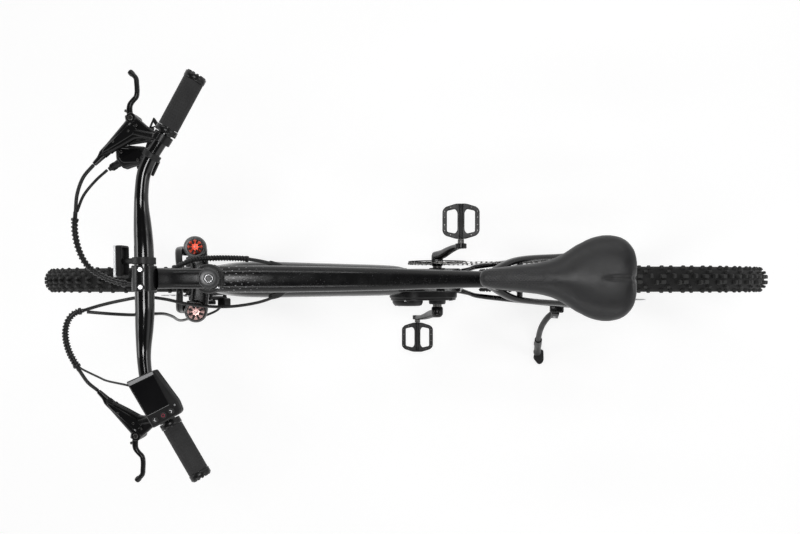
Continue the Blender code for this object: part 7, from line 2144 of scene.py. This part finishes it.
@dataclass
class Cabling:
    """Brake hoses, gear cable, control wires and the spiral wraps round them."""

    hose_r: float = 0.003
    bundle_r: float = 0.0036
    sleeve_r: float = 0.0044
    strip_thick: float = 0.0015
    right_bundle: tuple = ((0.514, -0.116, 1.003), (0.52, -0.085, 0.996), (0.5195, -0.052, 0.985),
                           (0.5115, -0.025, 0.973), (0.493, -0.007, 0.962), (0.469, 0.005, 0.952),
                           (0.442, 0.01, 0.94), (0.41, 0.002, 0.923), (0.38, -0.019, 0.906),
                           (0.35, -0.036, 0.885), (0.322, -0.04, 0.862), (0.294, -0.041, 0.841),
                           (0.266, -0.04, 0.819), (0.238, -0.035, 0.788), (0.218, -0.028, 0.756))
    right_hose: tuple = ((0.468, -0.192, 1.026), (0.49, -0.172, 1.02), (0.5055, -0.145, 1.012),
                         (0.514, -0.116, 1.003))
    shift_cable: tuple = ((0.458, -0.188, 0.998), (0.48, -0.169, 0.9985), (0.5, -0.144, 1.001),
                          (0.513, -0.116, 1.0))
    left_bundle: tuple = ((0.508, 0.16, 1.011), (0.53, 0.127, 1.004), (0.54, 0.098, 0.997),
                          (0.539, 0.075, 0.99), (0.53, 0.061, 0.984), (0.515, 0.056, 0.979))
    left_hose: tuple = ((0.468, 0.192, 1.026), (0.49, 0.179, 1.018), (0.508, 0.16, 1.011))
    display_wire: tuple = ((0.39, 0.179, 1.063), (0.4033, 0.1766, 1.06), (0.4413, 0.1726, 1.045),
                           (0.4644, 0.1682, 1.03), (0.5035, 0.1561, 1.013), (0.515, 0.148, 1.008))
    control: tuple = ((0.515, 0.056, 0.979), (0.487, 0.047, 0.972), (0.4548, 0.039, 0.962),
                      (0.4208, 0.033, 0.948), (0.39, 0.037, 0.925), (0.36, 0.046, 0.9),
                      (0.325, 0.052, 0.874), (0.29, 0.053, 0.848), (0.255, 0.048, 0.815),
                      (0.232, 0.04, 0.782), (0.218, 0.03, 0.756))
    front_hose: tuple = ((0.5125, 0.059, 0.9738), (0.478, 0.063, 0.957), (0.448, 0.066, 0.93),
                         (0.431, 0.066, 0.89), (0.429, 0.068, 0.835), (0.438, 0.076, 0.77),
                         (0.455, 0.086, 0.7), (0.473, 0.0915, 0.63), (0.486, 0.092, 0.56),
                         (0.49, 0.09, 0.5), (0.48, 0.088, 0.455), (0.462, 0.078, 0.428),
                         (0.456, 0.07, 0.412))
    right_reach: Pair = (0.012, 0.172)
    left_reach: Pair = (0.008, 0.126)

    def cable(self, route: tuple, radius: float) -> Skin:
        """Round cable on the smooth curve through its route."""
        count = max(12, int(run_lengths(route)[-1] / 0.004))
        return swept(smooth_path(route, count), 2 * radius, side=UP, sides=16, fillet=radius * 0.3)

    def spiral(self, route: tuple, reach: Pair, pitch: float) -> list[Skin]:
        """Spiral wrap: a flat strip along c(s) + r (cos(2 pi s / p) a + sin(2 pi s / p) b), over a sleeve.

        Args:
            route: Route of what it is wound round.
            reach: Where it starts and ends along that route.
            pitch: Its advance in a turn.

        Returns:
            The strip, the sleeve and a collar at each end.
        """
        line = smooth_path(route, 400)
        at = np.linspace(*reach, int((reach[1] - reach[0]) / pitch * 18))
        centre = sampled(line, run_lengths(line), at)
        ahead = unit(np.gradient(centre, axis=0))
        a, b = frames(centre, UP)
        radial = fan(2 * math.pi * (at - reach[0]) / pitch, a, b)
        wide, thick = (ring_shape(8, 0.6) * vec(0.23 * pitch, self.strip_thick)).T
        strip = (centre[:, None] + (self.sleeve_r + thick[None, :, None]) * radial[:, None]
                 + wide[None, :, None] * ahead[:, None])
        skins = [grid_skin(strip), swept(centre[::6], 2 * self.sleeve_r - 0.0006, side=UP, sides=20, fillet=0.0006)]
        return skins + [rod(place, place + 0.004 * way, 0.0063)
                        for place, way in ((centre[0], ahead[0]), (centre[-1], -ahead[-1]))]

    def build(self) -> None:
        """Make the cables and wraps; a run that crosses the steering or the fork's travel is left in place with no
        body.
        """
        r, core = self.hose_r, self.bundle_r
        turning = ("frame", "steering", (0.225, 0.0, 0.765), (0.4, 0.0, 0.93))
        near_head = self.right_bundle[8:14]
        right = [self.cable(self.right_bundle, core), self.cable(self.right_hose, r),
                 self.cable(self.shift_cable, 0.0024), *self.spiral(near_head, (0.0, 0.15), 0.0056)]
        made("right_cable_run", right, (HOSE,), "right_cables", bends=turning)
        left = [self.cable(self.left_bundle, core), self.cable(self.left_hose, r),
                self.cable(self.display_wire, 0.0018), self.cable(self.control, r)]
        made("left_cable_run", left, (HOSE,), "left_cables", bends=turning)
        made("front_hose_run", [self.cable(self.front_hose, r)], (HOSE,), "front_brake_hose",
             bends=("steering", "fork_slider", (0.45, 0.0, 0.86), (0.59, 0.0, 0.44)))
        made("right_spiral_wrap", self.spiral(self.right_bundle, self.right_reach, 0.007), (HOSE,), "right_wrap")
        made("left_spiral_wrap", self.spiral(self.left_bundle, self.left_reach, 0.0056), (HOSE,), "left_wrap")


# Studio

@dataclass
class Studio:
    """Pale floor, soft lights and the camera over the bicycle."""

    place: Point = (-0.133, 0.0113, 2.1912)
    focal_px: float = 705.66
    tilt_x: float = -0.0696
    tilt_y: float = -0.0419
    roll: float = -0.0019
    shift_y: float = 0.0592
    sensor: float = 36.0
    lamps: tuple = (("top", (-0.2, -0.15, 3.3), 0.7, 0.7, 22.0), ("left", (-0.1, 1.9, 2.6), 2.8, 0.4, 18.0),
                    ("right", (-0.1, -1.9, 2.6), 2.8, 0.4, 18.0), ("front", (2.6, 0.0, 2.2), 0.8, 0.8, 9.0),
                    ("rear", (-2.8, 0.2, 2.2), 0.8, 0.8, 9.0))
    surround: float = 0.05
    near_glow: float = 0.7

    def floor(self) -> None:
        """White floor that still takes the bicycle's shadow and fades to plain white in the distance."""
        nodes = Nodes("studio_floor")
        tree = nodes.tree
        path = nodes.add("LightPath")
        seen = nodes.math("MAXIMUM", path.outputs["Is Camera Ray"],
                          nodes.math("MAXIMUM", path.outputs["Is Glossy Ray"], path.outputs["Is Transmission Ray"]))
        plain = nodes.add("BsdfDiffuse", {"Color": (0.8, 0.8, 0.8, 1.0)})
        away = nodes.add("VectorMath", {0: nodes.coords}, operation="LENGTH").outputs["Value"]
        strength = nodes.span(away, 2.0, 6.0, self.near_glow, 1.0)
        glow = nodes.add("Emission", {"Color": (1.0, 1.0, 1.0, 1.0), "Strength": strength})
        both = nodes.add("AddShader")
        tree.links.new(glow.outputs[0], both.inputs[0])
        tree.links.new(nodes.add("BsdfDiffuse", {"Color": (0.42, 0.42, 0.42, 1.0)}).outputs[0], both.inputs[1])
        mix = nodes.add("MixShader", {0: seen})
        tree.links.new(plain.outputs[0], mix.inputs[1])
        tree.links.new(both.outputs[0], mix.inputs[2])
        output = next(n for n in tree.nodes if n.type == "OUTPUT_MATERIAL")
        tree.links.new(mix.outputs[0], output.inputs["Surface"])
        tree.nodes.remove(nodes.shader)
        mesh = bpy.data.meshes.new("studio_floor")
        mesh.from_pydata([(-14, -14, -0.0005), (14, -14, -0.0005), (14, 14, -0.0005), (-14, 14, -0.0005)], [],
                         [(0, 1, 2, 3)])
        mesh.materials.append(nodes.material)
        ground = placed("studio_floor", mesh)

    def lights(self) -> None:
        """Large soft lamps above and beside the bicycle, and a surround that is pale low down and dim above."""
        for name, place, across, along, watts in self.lamps:
            data = bpy.data.lights.new(name + "_lamp", "AREA")
            data.shape, data.size, data.size_y, data.energy = "RECTANGLE", across, along, watts
            lamp = placed(name + "_lamp", data)
            lamp.location = place
            lamp.rotation_euler = (Vector((-0.1, 0, 0.5)) - Vector(place)).to_track_quat("-Z", "Y").to_euler()
        world = bpy.data.worlds.new("surround")
        world.use_nodes = True
        tree = world.node_tree
        back = tree.nodes["Background"]
        back.inputs[0].default_value = (1, 1, 1, 1)
        coords, parts = tree.nodes.new("ShaderNodeTexCoord"), tree.nodes.new("ShaderNodeSeparateXYZ")
        fade = tree.nodes.new("ShaderNodeMapRange")
        for key, value in (("From Min", 0.3), ("From Max", 0.6), ("To Min", 1.0), ("To Max", self.surround)):
            fade.inputs[key].default_value = value
        tree.links.new(coords.outputs["Generated"], parts.inputs[0])
        tree.links.new(parts.outputs[2], fade.inputs[0])
        tree.links.new(fade.outputs[0], back.inputs[1])
        bpy.context.scene.world = world
        bpy.context.scene.view_settings.view_transform = "Standard"

    def camera(self) -> None:
        """Camera above the bicycle, looking down with a slight tilt, as the photograph was taken."""
        r, d, w = Vector((-1, 0, 0)), Vector((0, 1, 0)), Vector((0, 0, -1))
        for angle, axis in ((self.tilt_x, (0, 1, 0)), (self.tilt_y, (-1, 0, 0))):
            turn = Matrix.Rotation(angle, 3, Vector(axis))
            r, d, w = turn @ r, turn @ d, turn @ w
        turn = Matrix.Rotation(self.roll, 3, w)
        r, d = turn @ r, turn @ d
        data = bpy.data.cameras.new("camera")
        data.sensor_width = self.sensor
        data.lens = self.focal_px * self.sensor / PHOTO_SIZE[0]
        data.shift_y = self.shift_y
        view = placed("camera", data)
        view.matrix_world = Matrix.Translation(Vector(self.place)) @ Matrix((r, -d, -w)).transposed().to_4x4()
        bpy.context.scene.camera = view

    def build(self) -> None:
        """Set up the studio."""
        self.floor()
        self.lights()
        self.camera()


def main() -> None:
    """Make the bicycle and its studio."""
    logging.basicConfig(level=logging.INFO, format="%(message)s")
    Studio().build()
    Wheel("front", PLAN.front_axle, (-0.034, 0.024), 0.0385, 0.052, 0.064, Tread.DIAGONAL).build()
    Wheel("rear", PLAN.rear_axle, (-0.02, 0.03), 0.049, 0.063, 0.0718, Tread.BLOCKS, driver=True).build()
    MainFrame().build()
    Fork().build()
    cockpit = Cockpit()
    cockpit.build()
    Controls(cockpit).build()
    Drive().build()
    Brakes().build()
    Seat().build()
    SideStand().build()
    Cabling().build()


if __name__ == "__main__":
    main()
